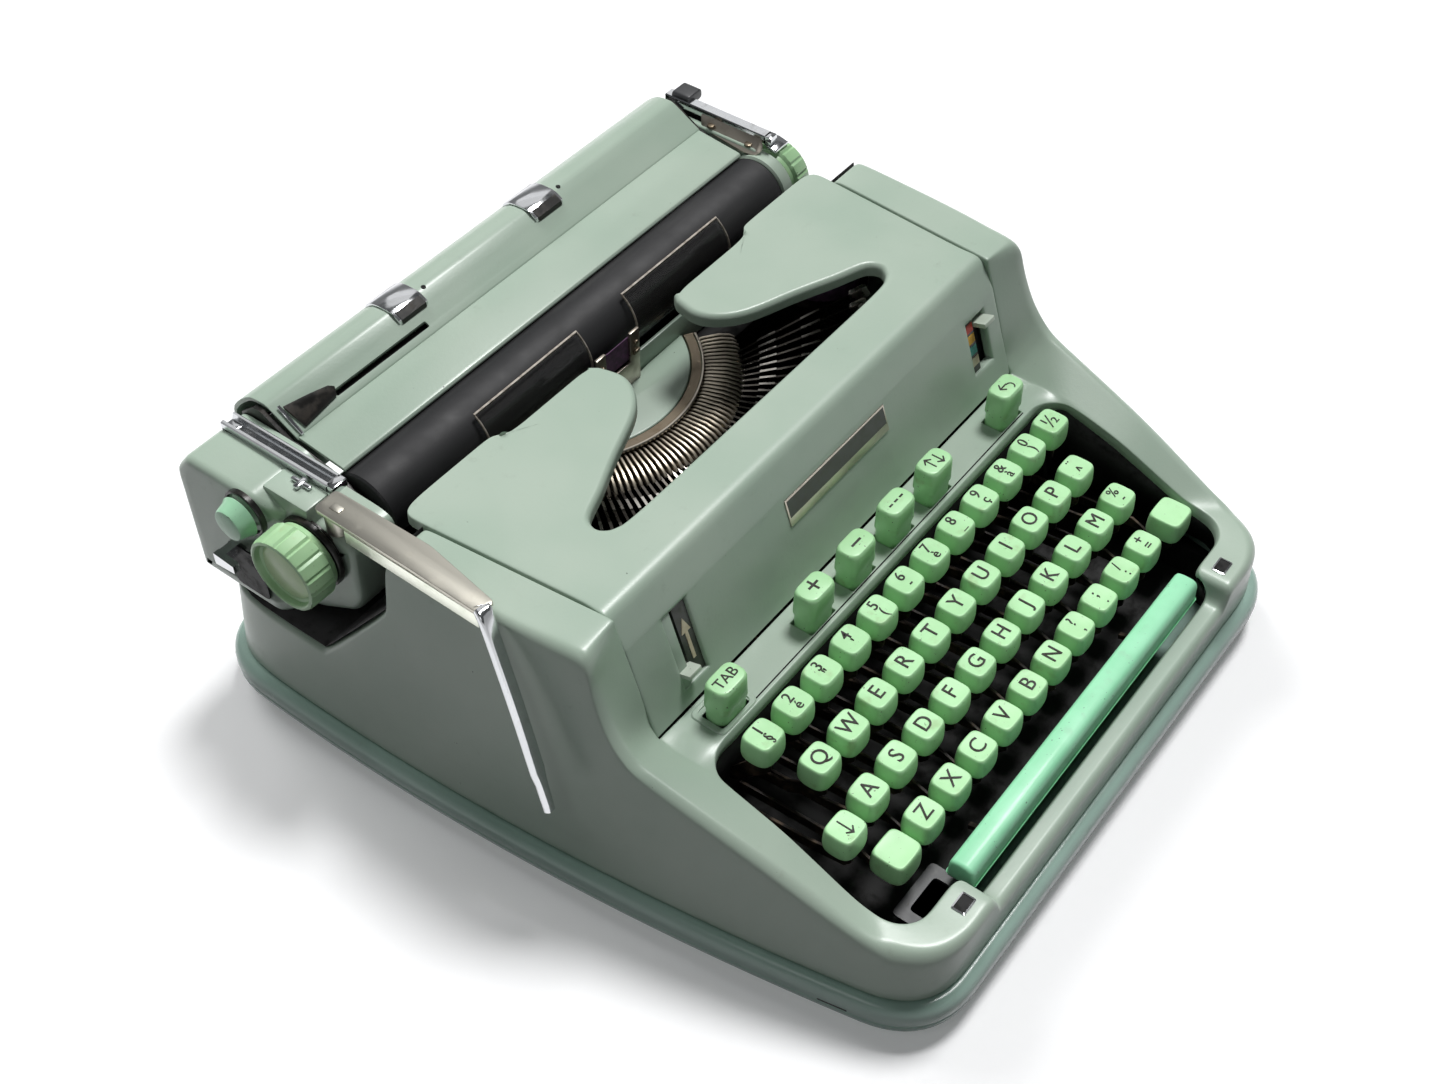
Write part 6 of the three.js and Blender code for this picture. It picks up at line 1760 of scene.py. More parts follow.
# ---------------------------------------------------------------- the type basket
@dataclass
class TypeBasket:
    """The comb, ring, type bars, shield, ribbon vibrator and card holders."""

    finishes: Finishes
    centre_y: float = 111.5
    bar_count: int = 42
    teeth: int = 54
    teeth_fan: float = 56.0
    fan: float = 47.0
    root_radius: float = 73.5
    root_z: float = 81.5
    reach: Span = (120.0, 133.0)
    tip_z: Span = (58.0, 112.0)
    comb_radius: float = 54.0
    comb_half: float = 60.0
    arc_steps: int = 60

    def build(self) -> None:
        """Builds every part of the basket."""
        self.segment()
        self.bars()
        self.spring()
        self.shield()
        self.vibrator()
        self.holders()
        self.spools()

    def polar(self, radius: float, angle: float, z: float) -> Vector:
        """Gives a point by its distance from the centre and its angle from straight ahead, in degrees."""
        a = math.radians(angle)
        return Vector((radius * math.sin(a), self.centre_y - radius * math.cos(a), z))

    def arc(self, radii: Span, heights: Span, half: float) -> Form:
        """Builds a flat ring segment with slightly rounded edges.

        Args:
            radii: its inner and outer radius.
            heights: its bottom and top.
            half: how far it reaches to each side, in degrees.

        Returns:
            The form.
        """
        (r0, r1), (z0, z1) = radii, heights
        e = 0.4
        section = [(r0, z0), (r1, z0), (r1, z1 - e), (r1 - e, z1), (r0 + e, z1), (r0, z1 - e)]
        rings = []
        for k in range(self.arc_steps + 1):
            angle = -half + 2 * half * k / self.arc_steps
            rings.append([self.polar(r, angle, z) for r, z in section])
        return Form().loft(rings)

    def segment(self) -> None:
        """Builds the slotted comb and the bronze ring."""
        f = self.finishes
        # The comb's base is near-black: painted shade in the slots between the teeth.
        base = self.arc((self.comb_radius, 75), (80, 82.4), self.comb_half)
        base.piece("type_comb_base", "case", f.inside, ["type_segment"])
        comb = Form()
        pitch = 2 * self.teeth_fan / (self.teeth - 1)
        for k in range(self.teeth):
            angle = k * pitch - self.teeth_fan
            rings = []
            for r, top in ((59.6, 86.4), (62, 86.9), (70, 86.6), (75, 85), (77.4, 83)):
                a = 0.27 * pitch
                tooth = ((-a, 82), (a, 82), (a, top - 0.3), (0.6 * a, top), (-0.6 * a, top), (-a, top - 0.3))
                rings.append([self.polar(r, angle + turn, z) for turn, z in tooth])
            comb.loft(rings)
        comb.piece("type_comb", "case", f.teeth)
        self.arc((54, 59.4), (84, 88), self.comb_half - 1).piece("type_ring", "case", f.brass)
        self.arc((58.5, 60), (87.5, 88.7), self.comb_half - 2).piece("type_ring_rim", "case", f.steel)

    def bars(self) -> None:
        """Builds the type bars, each with its type head, and short bright strips on them that are painted
        glints.
        """
        f = self.finishes
        bars, heads, glints = Form(), Form(), Form()
        for k in range(self.bar_count):
            angle = -self.fan + 2 * self.fan * k / (self.bar_count - 1)
            share = abs(angle / self.fan) ** 1.3
            far, tip = (low + (high - low) * share for low, high in (self.reach, self.tip_z))
            start, end = self.polar(self.root_radius, angle, self.root_z), self.polar(far, angle, tip)
            side = Vector((math.cos(math.radians(angle)), math.sin(math.radians(angle)), 0))
            along = (end - start).normalized()
            up = side.cross(along)
            up = up if up.z > 0 else -up
            spots = ((0, 0.55, 1.6), (0.5, 0.6, 2.2), (0.82, 0.5, 1.8), (0.86, 0.42, 1.5))
            self.blade(bars, [(start.lerp(end, at), half, tall) for at, half, tall in spots], side, up)
            # Short bright strips above each bar: painted glints.
            for places in ((0.2, 0.33), (0.52, 0.66)):
                self.blade(glints, [(start.lerp(end, at) + up * 2.2, 0.62, 0.25) for at in places], side, up)
            head = start.lerp(end, 0.87)
            spots = [
                (head, 0.9, 2.2), (head.lerp(end, 0.15), 1.1, 3.0), (head.lerp(end, 0.85), 1.1, 3.0),
                (end, 0.9, 2.4),
            ]
            self.blade(heads, spots, side, up)
        glints.piece("type_bar_glints", "case", f.head_steel)
        bars.piece("type_bar_fan", "case", f.bar_steel, ["type_bars"])
        heads.piece("type_heads", "case", f.head_steel)

    def blade(
        self, form: Form, spots: Sequence[tuple[Vector, float, float]], side: Vector, up: Vector
    ) -> None:
        """Adds a four-sided bar through places that each have a half width and a half height."""
        square = ((-1, -1), (1, -1), (1, 1), (-1, 1))
        form.loft([[p + side * a * half + up * b * tall for a, b in square] for p, half, tall in spots])

    def spring(self) -> None:
        """Adds the small bright spring at the right of the basket."""
        profile = [(0.6, 98.0)]
        for k in range(9):
            profile += [(1.2, 98.4 + 1.8 * k), (2.3, 99.3 + 1.8 * k)]
        profile += [(0.6, 115), (0.6, 98)]
        coil = Form().lathe(Axis.Z, (84.5, 14.5), profile, 20)
        coil.piece("basket_spring", "case", self.finishes.spring)

    def shield(self) -> None:
        """Builds the painted shield between the ring and the platen."""
        radius, cut = 53.7, 85.0
        half = math.acos((self.centre_y - cut) / radius)
        outline = []
        for k in range(41):
            p = self.polar(radius, math.degrees(-half + 2 * half * k / 40), 0)
            outline.append((p.x, p.y))
        outline += [(22, 84.6), (9, 83.5), (3, 79), (0, 77.4), (-3, 79), (-9, 83.5), (-22, 84.6)]
        disc = Form().prism(Axis.Z, outline, (80, 88), 0.8, 3)
        disc.piece("type_shield_plate", "case", self.finishes.paint, ["type_shield"], sharp=50)
        bar = Form().block((15, 66), (84.9, 86.6), (80.5, 98), 0.5)
        bar.block((-58, -15), (84.9, 86.6), (80.5, 96), 0.5)
        bar.piece("guide_rail", "case", self.finishes.paint)

    def vibrator(self) -> None:
        """Builds the ribbon vibrator, with ribbon across it and its bright guides."""
        f = self.finishes
        outline = [
            (-14, 88.4), (14, 88.4), (14, 116), (8, 116), (8, 100.3), (-8, 100.3), (-8, 116), (-14, 116)
        ]
        plate = Form().prism(Axis.Y, outline, (81.5, 83), 0.3, 2)
        plate.piece("vibrator_plate", "vibrator", f.steel, ["ribbon_vibrator"])
        cloth = Form().block((-13.4, 13.4), (83.05, 83.35), (101, 113.5), 0)
        cloth.piece("ribbon_across", "vibrator", f.ribbon)
        guides = Form()
        for side in (-1, 1):
            guides.block(tuple(sorted((side * 9, side * 13))), (80.3, 81.6), (104, 106), 0.3)
            guides.rod(Axis.Y, (side * 11, 110), 1.3, (80.2, 81.6), 0.3, 16)
        guides.piece("vibrator_guides", "vibrator", f.brass)

    def holders(self) -> None:
        """Builds the two clear card holders and their screws."""
        f = self.finishes
        for side, x0, x1 in (("left", -75.0, -12.0), ("right", 17.5, 84.0)):
            turns = [math.radians(125 + 90 * k / 18) for k in range(19)]
            inner, outer = (
                [(104 + r * math.cos(a), 110 + r * math.sin(a)) for a in turns] for r in (17.9, 18.9)
            )
            curve = inner + outer[::-1]
            holder = Form().prism(Axis.X, curve, (x0, x1), 0.25, 1)
            # Pale strips on each holder's ends and top edge: painted highlights of the clear plastic's
            # edges.
            edges = Form().prism(Axis.X, curve, (x0 - 0.1, x0 + 0.5), 0.1, 1)
            edges.prism(Axis.X, curve, (x1 - 0.5, x1 + 0.1), 0.1, 1)
            (y_in, z_in), (y_out, z_out) = inner[0], outer[0]
            edges.block((x0, x1), (y_out - 0.2, y_in + 0.2), (z_in - 0.1, z_out + 0.2), 0.1)
            edges.piece(f"card_edge_highlight_{side}", "case", f.edge)
            foot = [(87.5, 80), (89, 80), (89, 100), (87.5, 100)]
            low, high = (x0 + 6, x0 + 16) if side == "left" else (x1 - 16, x1 - 6)
            holder.prism(Axis.X, foot, (low, high), 0.2, 1)
            holder.piece(f"card_guide_{side}", "case", f.clear, [f"card_holder_{side}"])
            screws = Form()
            for x in (low + 2.5, high - 2.5):
                screws.rod(Axis.Y, (x, 91), 1.6, (87.5, 86.6), 0.3, 16)
            screws.piece(f"card_screws_{side}", "case", f.steel)

    def spools(self) -> None:
        """Winds ribbon on the two spools."""
        for side, x in (("left", -105.0), ("right", 105.0)):
            profile = [(6, 99), (17, 99), (17.2, 99.4), (17.2, 109), (17, 109.4), (6, 109.4), (6, 99)]
            wound = Form().lathe(Axis.Z, (x, 50.0), profile, 48)
            wound.piece(f"ribbon_wound_{side}", f"spool_{side}", self.finishes.ribbon)


# ---------------------------------------------------------------- the carriage
@dataclass
class Carriage:
    """The platen, knobs, paper table, hood, end covers, bail, levers and small trim."""

    finishes: Finishes
    platen_y: float = 104.0
    platen_z: float = 110.0
    table_half: float = 128.5
    facets: int = 16
    facet_steps: int = 6
    groove: float = 0.9
    skin: float = 1.6
    crease_y: float = 137.0
    hood_slope: float = 0.586
    bracket_x: float = 129.7
    bracket_slope: float = 0.9

    @property
    def axle(self) -> Span:
        """Gives the Y and Z of the platen's axis."""
        return self.platen_y, self.platen_z

    def build(self) -> None:
        """Builds every part of the carriage."""
        self.roller()
        self.knobs()
        self.table()
        self.hood()
        self.left_cover()
        self.right_cover()
        self.bail()
        self.return_lever()
        self.small_levers()
        self.button()

    def roller(self) -> None:
        """Builds the platen's rubber roller."""
        profile = [(0, -128), (15.2, -128), (16, -127.2), (16, 127.2), (15.2, 128), (0, 128)]
        rubber = Form().lathe(Axis.X, self.axle, profile, 96)
        rubber.piece("platen_roller", "roller", self.finishes.platen, ["platen"])

    def knobs(self) -> None:
        """Builds the two knobs: a cup with flat facets and thin grooves."""
        f = self.finishes
        spans = {"left": (-173.4, -158.0), "right": (149.0, 136.5)}
        for side, (outer, inner) in spans.items():
            sign = 1 if outer > inner else -1
            levels = [
                (outer - sign * 3.4, 12.6, 0), (outer - sign * 2.6, 13.6, 0), (outer - sign * 0.5, 14.3, 0),
                (outer, 14.9, 0.1), (outer - sign * 0.4, 16.0, 0.3), (outer - sign * 1.6, 16.7, 1),
                (inner + sign * 3.4, 17.0, 1), (inner + sign * 2.8, 16.2, 0.4),
                (inner + sign * 2.2, 15.2, 0), (inner + sign * 0.4, 14.8, 0), (inner, 14.2, 0),
                (inner, 4.0, 0),
            ]
            steps = self.facets * self.facet_steps
            rings = [
                [self.knob_point(x, radius, depth, k) for k in range(steps)] for x, radius, depth in levels
            ]
            knob = Form().loft(rings)
            knob.piece(f"{side}_knob_cup", "roller", f.knobs, [f"{side}_knob"], sharp=28)
        # A disc lighter than the knob's plastic: painted light on the left knob's face.
        profile = [(0, -171.0), (11.2, -171.0), (12.2, -170.4), (12.2, -169.6), (0, -169.6)]
        face = Form().lathe(Axis.X, self.axle, profile, 64)
        face.piece("left_knob_face", "roller", f.lit_knob_face)
        shaft = Form().rod(Axis.X, self.axle, 4.0, (-158.2, -127.9))
        shaft.rod(Axis.X, self.axle, 4.0, (127.9, 136.7))
        shaft.piece("platen_shaft", "roller", f.steel)
        # A near-black ring behind the knob: painted shadow where it meets the end cover.
        profile = [
            (4, -157.9), (15.6, -157.9), (15.9, -157.2), (15.9, -155.6), (15.4, -155.2), (4, -155.2),
            (4, -157.9),
        ]
        shade_ring = Form().lathe(Axis.X, self.axle, profile, 64)
        shade_ring.piece("knob_shadow_ring", "roller", f.black)

    def knob_point(self, x: float, radius: float, depth: float, step: int) -> Vector:
        """Gives a point of a knob's ring, which has a groove between each two facets.

        Args:
            x: the ring's place along the axis.
            radius: its radius.
            depth: how flat its facets are, from 0 to 1.
            step: which point of the ring.

        Returns:
            The point.
        """
        angle = 2 * math.pi * step / (self.facets * self.facet_steps)
        place = (step % self.facet_steps) / self.facet_steps
        off = (place - 0.5) * 2 * math.pi / self.facets
        facet = radius * math.cos(math.pi / self.facets) / math.cos(off)
        in_groove = min(place, 1 - place) < 0.09
        reach = radius + (facet - radius) * depth - (self.groove * depth if in_groove else 0.0)
        return Vector((x, self.platen_y + reach * math.cos(angle), self.platen_z + reach * math.sin(angle)))

    def table(self) -> None:
        """Builds the paper table."""
        half = self.table_half - 0.6
        profile = [(112.6, 123.9), (112.3, 125), (113, 126), (114.5, 126.3), (125, 127.5), (136.6, 128.9)]
        lower = [(y, z - self.skin) for y, z in reversed(profile[2:])]
        table = Form().prism(Axis.X, profile + lower, (-half, half), 0.3, 2)
        table.piece("paper_table_sheet", "carriage", self.finishes.paint, ["paper_table"], sharp=50)

    def hood(self) -> None:
        """Builds the rear hood, its clips and its small holes."""
        outer = [
            (137, 129), (140, 130.6), (147, 134.7), (151.3, 137.1), (152.8, 137.6), (154.5, 137.7),
            (158, 137.5), (161, 136.9), (164, 135.2), (167.5, 132.3), (170.5, 129.2), (172.8, 126.2),
            (173.8, 123.5), (174, 120), (174, 100), (174, 64),
        ]
        half = self.table_half
        under = [(y - self.skin * 0.6, z - self.skin) for y, z in outer[:8]]
        under += [(y - self.skin, z - self.skin * 0.7) for y, z in outer[8:12]]
        under += [(y - self.skin, z) for y, z in outer[12:]]
        hood = Form().prism(Axis.X, outer + under[::-1], (-half, half), 0.35, 2)
        slot = Form().block((-103, -50), (139.7, 142.3), (120, 140), 0.6)
        hood.piece("hood_sheet", "carriage", self.finishes.paint, ["rear_hood"], cutters=[slot])
        under = Form().block((-106, -47), (138.5, 144), (126, 128.3), 0)
        under.piece("slot_shadow", "carriage", self.finishes.inside)
        for name, x0, x1 in (("left", -60.0, -43.0), ("right", 25.0, 43.0)):
            self.clip(name, x0, x1)

    def clip(self, name: str, x0: float, x1: float) -> None:
        """Adds a bright paper clip that saddles the hood's ridge, and the small hole beside it.

        Args:
            name: which of the two it is.
            x0: its left end.
            x1: its right end.
        """
        f = self.finishes
        outer = [
            (146.2, 133.9), (146.6, 136.2), (150.5, 138.3), (152.5, 138.7), (158, 138.6), (162, 137.9),
            (165.5, 135.6), (166.4, 134.2),
        ]
        inner = [(v - 0.9, w - 0.9) for v, w in outer[2:6]]
        saddle = Form().prism(
            Axis.X, [*outer, (165.4, 133.6), *inner[::-1], (147.4, 134.6)], (x0, x1), 0.25, 2
        )
        saddle.piece(f"hood_clip_{name}", "carriage", f.chrome)
        # The black face on the clip's front tongue: painted dark reflection in the chrome.
        outline = [(145.7, 134.3), (146.05, 136.3), (149.7, 138.2), (150.4, 137.2)]
        face = Form().prism(Axis.X, outline, (x0 + 1.5, x1 - 1.5))
        face.piece(f"hood_clip_dark_reflection_{name}", "carriage", f.black)
        # A near-black disc: painted shade in the small hole.
        hole = Form().rod(Axis.Z, (x1 + 4, 152.6), 1.1, (136.5, 137.75), 0.2, 16)
        hole.piece(f"hood_hole_shade_{name}", "carriage", f.inside)

    def left_cover(self) -> None:
        """Builds the smooth left end cover, which widens behind the knob."""
        f = self.finishes
        shape = [
            (84, 119), (84, 90), (89, 82), (110, 70), (125, 64), (171, 64), (171, 120), (163, 130),
            (146, 130), (128, 129.6), (120.5, 124.4), (114, 121.9), (90, 121.2),
        ]
        outline = rounded(shape, 3.5, 3)
        levels = [(3.6, 0.0), (2.2, 0.25), (1.0, 0.9), (0.3, 1.9), (0.0, 3.2), (0.0, 6.0)]
        rings = [[Vector((-131.4, y, z)) for y, z in outline]]
        for back, depth in levels:
            ring = inset(outline, depth)
            rings.append([Vector((self.cover_x(y) + back, y, z)) for y, z in ring])
        cover = Form().loft(rings)
        cover.piece("left_end_housing", "carriage", f.paint, ["left_end_cover"], sharp=40)
        outline = [(-155.2, 104.5), (-143.2, 104.5), (-143.2, 128), (-155.2, 128)]
        box = Form().prism(Axis.Z, outline, (119, 130), 0.8, 2)
        box.piece("selector_box", "carriage", f.paint)
        # A near-black ring at the knob: painted shade in the gap between knob and cover.
        profile = [(9, -154.6), (13.5, -154.6), (13.8, -154.2), (13.8, -153.4), (9, -153.4), (9, -154.6)]
        ring = Form().lathe(Axis.X, self.axle, profile, 48)
        ring.piece("knob_gap_shade", "carriage", f.black)

    def cover_x(self, y: float) -> float:
        """Gives the left end cover's outer face."""
        share = min(1.0, max(0.0, (y - 113) / 15))
        return -154 - 9 * share * share * (3 - 2 * share)

    def right_cover(self) -> None:
        """Builds the right end cover."""
        outline = rounded(
            [(100, 98), (113, 84), (171, 84), (171, 118), (161, 128), (106, 128), (100, 120)], 3, 4
        )
        cover = Form().prism(Axis.X, outline, (131.4, 135.5), 1.2, 3)
        wall = [(122, 92), (165, 92), (171, 100), (171, 120), (165, 126), (150, 129), (122, 127.5)]
        cover.prism(Axis.X, rounded(wall, 3, 3), (142.6, 143.9), 0.4, 2)
        cover.block((134, 143.5), (168.5, 170.8), (92, 118), 0.5)
        # A near-black sheet inside the outer wall: painted shade in the channel of the right end.
        dark = Form().prism(Axis.X, rounded(inset(wall, 0.6), 3, 3), (142.25, 142.55))
        dark.piece("right_end_shade_wall", "carriage", self.finishes.inside)
        cover.piece("right_end_plate", "carriage", self.finishes.paint, ["right_end_cover"])

    def bail(self) -> None:
        """Builds the paper bail: a rod between two channelled arms."""
        rod = Form().rod(Axis.X, (160, 126), 1.8, (-135.2, 136.6), 0.2)
        for x0, x1 in ((-143.0, -135.2), (136.4, 142.0)):
            section = [
                (x0, 129.6), (x1, 129.6), (x1, 133), (x1 - 0.5, 133.5), (x1 - 1.4, 133.5), (x1 - 2.2, 130.8),
                (x0 + 3.0, 130.4), (x0 + 1.6, 133.5), (x0 + 0.5, 133.5), (x0, 133),
            ]
            if x0 > 0:
                section = [
                    (x0, 129.6), (x1, 129.6), (x1, 133.1), (x1 - 0.5, 133.5), (x0 + 0.5, 133.5), (x0, 133.1)
                ]
            rod.prism(Axis.Y, section, (105, 163))
            rod.prism(Axis.X, [(163.2, 124), (163.2, 131), (157, 131), (157, 124)], (x0, x1), 0.5, 2)
            rod.block((x0, x1), (102, 106.5), (129.4, 133.5), 0.7)
        rod.piece("bail_frame", "bail", self.finishes.chrome, ["paper_bail"])

    def return_lever(self) -> None:
        """Builds the return lever: a brushed blade, its flange, the hub and the handle."""
        f = self.finishes
        shape = [(-155, 100), (-155.7, 52), (-156.8, 17), (-149, 15), (-142.6, 52), (-143, 100)]
        blade = Form().prism(Axis.Z, rounded(shape, 2.5, 4), (133, 135), 0.4, 2)
        blade.rod(Axis.Z, (-149, 95), 4.6, (121.4, 133.4), 0.5, 40)
        blade.block((-151.5, -148.2), (90, 95), (134.9, 135.35), 0.2)
        blade.piece("return_blade", "lever", f.blade, ["return_lever"])
        handle = Form()
        points = [(-152.7, 18.5, 133.5), (-156, 12.4, 129.6), (-163, -5, 98), (-169.4, -21, 62)]
        path = [smooth_path(points, 3 * k / 24) for k in range(25)]
        sizes = [
            (0.55 + 0.45 * math.sin(math.pi * (0.12 + 0.86 * k / 24)) if k > 20 else 1.0, 1.0)
            for k in range(25)
        ]
        section = rectangle(3.5, 1.6, 1.5, 3)
        handle.sweep(path, section, Vector((1, 0.25, 0)), sizes)
        handle.piece("return_handle", "lever", f.chrome, sharp=40)
        # The flange's pale mint metal paints the green case's reflection in it.
        outline = [(-156.7, 17), (-155.3, 17), (-154.3, 84), (-155.5, 84)]
        flange = Form().prism(Axis.Z, outline, (126.6, 133.1), 0.3, 2)
        flange.piece("return_flange", "lever", f.flange)

    def small_levers(self) -> None:
        """Builds the line space selector, the release levers and the paper guide."""
        stem = Form().rod(Axis.Z, (-146, 116), 1.6, (125.5, 130.4), 0.2, 20)
        stem.block((-149.5, -143.5), (114.8, 117.2), (130.3, 132), 0.5)
        stem.block((-147, -145), (111, 121), (130.3, 131.6), 0.4)
        stem.piece("selector_head", "line_spacing", self.finishes.chrome, ["line_space_selector"])
        self.paper_wedge()
        self.bracket()
        # A near-black panel on the left end cover: painted shade in the recess behind the release lever.
        recess = Form().prism(Axis.X, moved(rectangle(9.5, 12, 3), 139.5, 81), (-163.3, -162.7))
        recess.piece("release_recess_shade", "carriage", self.finishes.inside)

    def paper_wedge(self) -> None:
        """Builds the dark sliding paper guide on the hood and its bright edge."""
        f = self.finishes
        wedge = [
            (-101.5, 142.4), (-103.5, 139.6), (-122.8, 137.6), (-124.2, 147.4), (-112, 145.6), (-103.6, 144)
        ]
        edge = [(-126.6, 136), (-125.2, 136), (-124.6, 148.5), (-126.2, 148.5)]
        shapes = (("guide_wedge", f.black, ["paper_guide"], wedge), ("guide_edge", f.chrome, [], edge))
        for name, finish, replaces, outline in shapes:
            plate = Form().prism(Axis.Z, outline, (129.5, 130.4), 0.2, 1)
            for v in plate.bm.verts:
                v.co.z += (v.co.y - self.crease_y) * self.hood_slope
            plate.piece(name, "side_guide", finish, replaces)

    def bracket(self) -> None:
        """Builds the right bracket with its two screws, the thumb lever and the collar."""
        f = self.finishes
        outline = [(142, 6.8), (138, 2), (112, 0.4), (106, 1), (104, 4), (107, 6.8), (126, 7)]
        plate = Form().prism(
            Axis.Z, [(self.bracket_x + s, y) for y, s in rounded(outline, 1.5, 2)], (124.6, 125.4), 0.2, 1
        )
        for v in plate.bm.verts:
            v.co.z += self.bracket_slope * (v.co.x - self.bracket_x)
        plate.piece("right_bracket", "carriage", f.steel)
        screws = Form()
        for x, y in ((133.6, 134), (132.9, 112)):
            z = 125 + self.bracket_slope * (x - self.bracket_x)
            screws.rod(Axis.Z, (x, y), 1.9, (z, z + 1.3), 0.4, 20)
        screws.piece("bracket_screws", "carriage", f.brass)
        profile = [
            (9, 128.6), (15.2, 128.6), (16.2, 129.4), (16.2, 135.4), (15.4, 136.2), (9, 136.2), (9, 128.6)
        ]
        collar = Form().lathe(Axis.X, self.axle, profile, 64)
        collar.piece("right_collar", "carriage", f.paint)
        outline = [(99, 126.5), (104, 127.5), (106, 129.2), (104, 129.2), (99, 128)]
        thumb = Form().prism(Axis.X, outline, (136.6, 146.5), 0.4, 2)
        thumb.piece("thumb_tab", "bail", f.chrome)
        grip = Form().rod(Axis.X, (168, 114), 3.4, (135.7, 137.8), 0.3, 24)
        grip.prism(Axis.X, [(170, 113), (166, 113), (152, 130), (157, 132)], (135.8, 137.6), 0.4, 2)
        grip.prism(Axis.Y, moved(rectangle(5.5, 2.6, 2.4, 5), 142.5, 133), (150, 160), 0.8, 3)
        grip.piece("release_grip", "paper_release", f.grip, ["paper_release_lever"], sharp=50)

    def button(self) -> None:
        """Builds the platen button and the dark ring behind it, painted shade in the gap round the button.
        """
        place = (130, 121)
        profile = [
            (0, -173.4), (5.6, -173.4), (6.7, -173.0), (7.2, -172), (8.2, -168), (8.9, -167), (9, -166.6),
            (8.6, -166.4), (0, -166.4),
        ]
        knob = Form().lathe(Axis.X, place, profile, 48)
        profile = [
            (9.3, -165.0), (10.0, -165.0), (10.3, -164.6), (10.3, -162.6), (9.3, -162.6), (9.3, -165.0)
        ]
        gap_shade = Form().lathe(Axis.X, place, profile, 48)
        gap_shade.piece("button_gap_shade", "carriage", self.finishes.black)
        knob.piece("platen_button_cap", "button", self.finishes.button, ["platen_button"], sharp=40)


class Kept:
    """Gives the CAD pieces that stay their finishes."""

    def __init__(self, finishes: Finishes) -> None:
        """Keeps the finishes."""
        self.finishes = finishes

    def build(self) -> None:
        """Puts a finish on every slot of each CAD piece that stays."""
        f = self.finishes
        groups = (
            (f.rubber, [f"foot_{end}_{side}" for end in ("front", "rear") for side in ("left", "right")]),
            (f.inside, ["main_frame"]),
            (f.steel, ["key_lever_shaft", "carriage_rail", "mainspring_drum"]),
            (f.black, ["ribbon_spool_left", "ribbon_spool_right", "carriage_frame"]),
            (f.chrome, ["carriage_release_lever"]),
        )
        for finish, names in groups:
            for name in names:
                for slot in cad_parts[name].material_slots:
                    slot.material = finish.material
        LOG.info("finished %d kept pieces", sum(len(names) for _, names in groups))


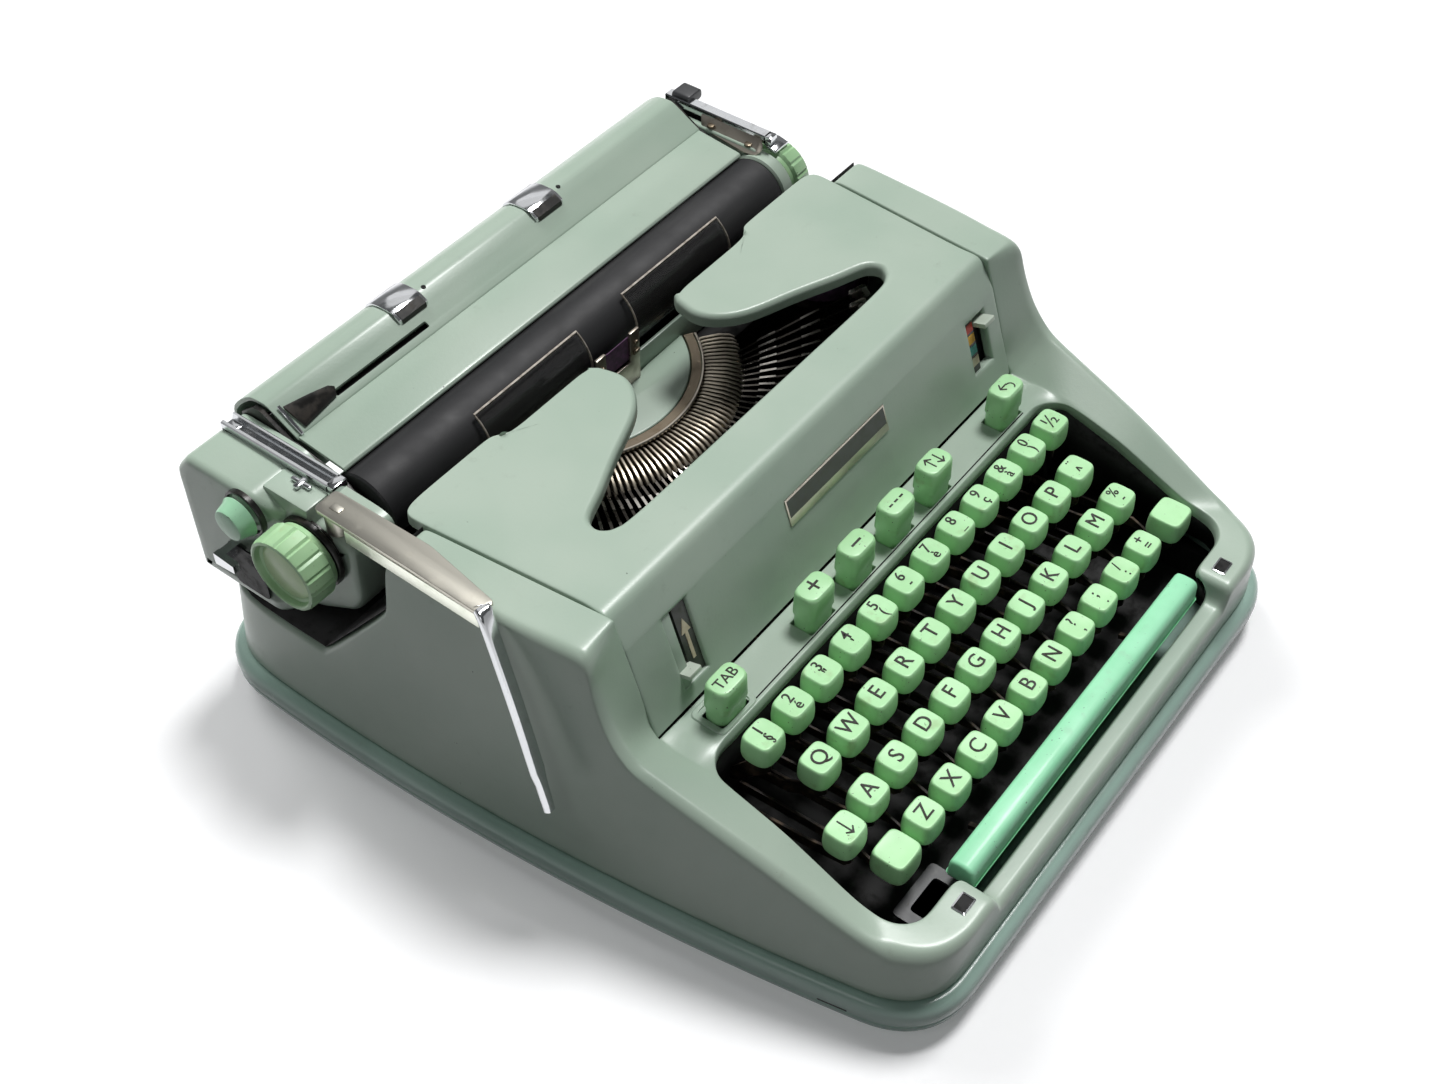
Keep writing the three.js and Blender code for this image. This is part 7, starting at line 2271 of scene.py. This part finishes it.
# ---------------------------------------------------------------- the picture
@dataclass
class Studio:
    """The floor, the lights and the camera, in metres."""

    eye: tuple[float, float, float] = (-0.4442, -0.3072, 0.6309)
    ahead: tuple[float, float, float] = (0.5426, 0.4080, -0.7342)
    focal: float = 46.28927335640138
    film: float = 36.0
    sky: tuple[float, float, float, float] = (0.93, 0.97, 1.0, 1)
    sky_strength: float = 0.085
    floor_glow: float = 0.14

    def build(self) -> None:
        """Sets up the whole picture."""
        self.floor()
        self.light("overhead", (-1.0, -0.1, 1.3), (0.0, 0.0, 0.05), size=0.5, power=1.3)
        self.light("card", (1.12, 1.25, 1.5), (0.0, 0.0, 0.1), size=1.1, power=2.8)
        self.sun("key", (0.42, 0.05, 1.0), energy=2.5, angle=0.28)
        self.sun("back", (0.2, 0.9, 0.75), energy=1.5, angle=0.6).visible_glossy = False
        world = bpy.data.worlds.new("studio")
        world.use_nodes = True
        background = world.node_tree.nodes["Background"]
        background.inputs["Color"].default_value = self.sky
        background.inputs["Strength"].default_value = self.sky_strength
        bpy.context.scene.world = world
        bpy.context.scene.view_settings.view_transform = "Standard"
        self.camera()

    def floor(self) -> None:
        """Lays a plain pale floor."""
        cove = [
            (0, -4), (3804, -4), (3804, 3000), (3800, 3000), (3750, 1100), (3600, 600), (3300, 250),
            (2900, 60), (2500, 0), (0, 0),
        ]
        mesh = Form().lathe(Axis.Z, (0, 0), cove, 96).mesh("floor")
        paper = Plain("paper_floor", "F4F4F5", "F1F1F2", 0.85).make()
        shader = paper.node_tree.nodes["Principled BSDF"]
        shader.inputs["Emission Color"].default_value = (1, 1, 1, 1)
        shader.inputs["Emission Strength"].default_value = self.floor_glow
        mesh.materials.append(paper)
        obj = placed("floor", mesh)
        obj.visible_diffuse = False
        obj.visible_shadow = False

    def sun(self, name: str, toward: Sequence[float], energy: float, angle: float) -> bpy.types.Object:
        """Adds a far light.

        Args:
            name: its name.
            toward: where it stands, as seen from the object.
            energy: its strength.
            angle: how wide it looks, in radians.

        Returns:
            The light's object.
        """
        lamp = bpy.data.lights.new(name, "SUN")
        lamp.energy = energy
        lamp.angle = angle
        obj = placed(name, lamp)
        obj.rotation_euler = Vector(toward).to_track_quat("Z", "Y").to_euler()
        return obj

    def light(
        self, name: str, place: Sequence[float], target: Sequence[float], size: float, power: float
    ) -> None:
        """Adds a square soft light that faces a point.

        Args:
            name: its name.
            place: where it stands.
            target: the point.
            size: how wide it is.
            power: its power.
        """
        lamp = bpy.data.lights.new(name, "AREA")
        lamp.size = size
        lamp.energy = power
        obj = placed(name, lamp)
        obj.location = place
        obj.rotation_euler = (Vector(place) - Vector(target)).to_track_quat("Z", "Y").to_euler()

    def camera(self) -> None:
        """Places the camera."""
        data = bpy.data.cameras.new("camera")
        data.lens = self.focal
        data.sensor_width = self.film
        data.clip_start = 0.01
        obj = placed("camera", data)
        back = -Vector(self.ahead).normalized()
        right = Vector((0, 0, 1)).cross(back).normalized()
        up = back.cross(right)
        obj.matrix_world = Matrix.Translation(self.eye) @ Matrix((right, up, back)).transposed().to_4x4()
        bpy.context.scene.camera = obj


def main() -> None:
    """Builds every part in order."""
    logging.basicConfig(level=logging.INFO, format="%(name)s %(message)s")
    finishes = Finishes()
    parts = [
        UpperCase(finishes), BasePan(finishes), RibbonCover(finishes), Keyboard(finishes),
        TypeBasket(finishes), Carriage(finishes), Kept(finishes), Studio(),
    ]
    for part in parts:
        part.build()
        LOG.info("%s done", type(part).__name__)


if __name__ == "__main__":
    main()
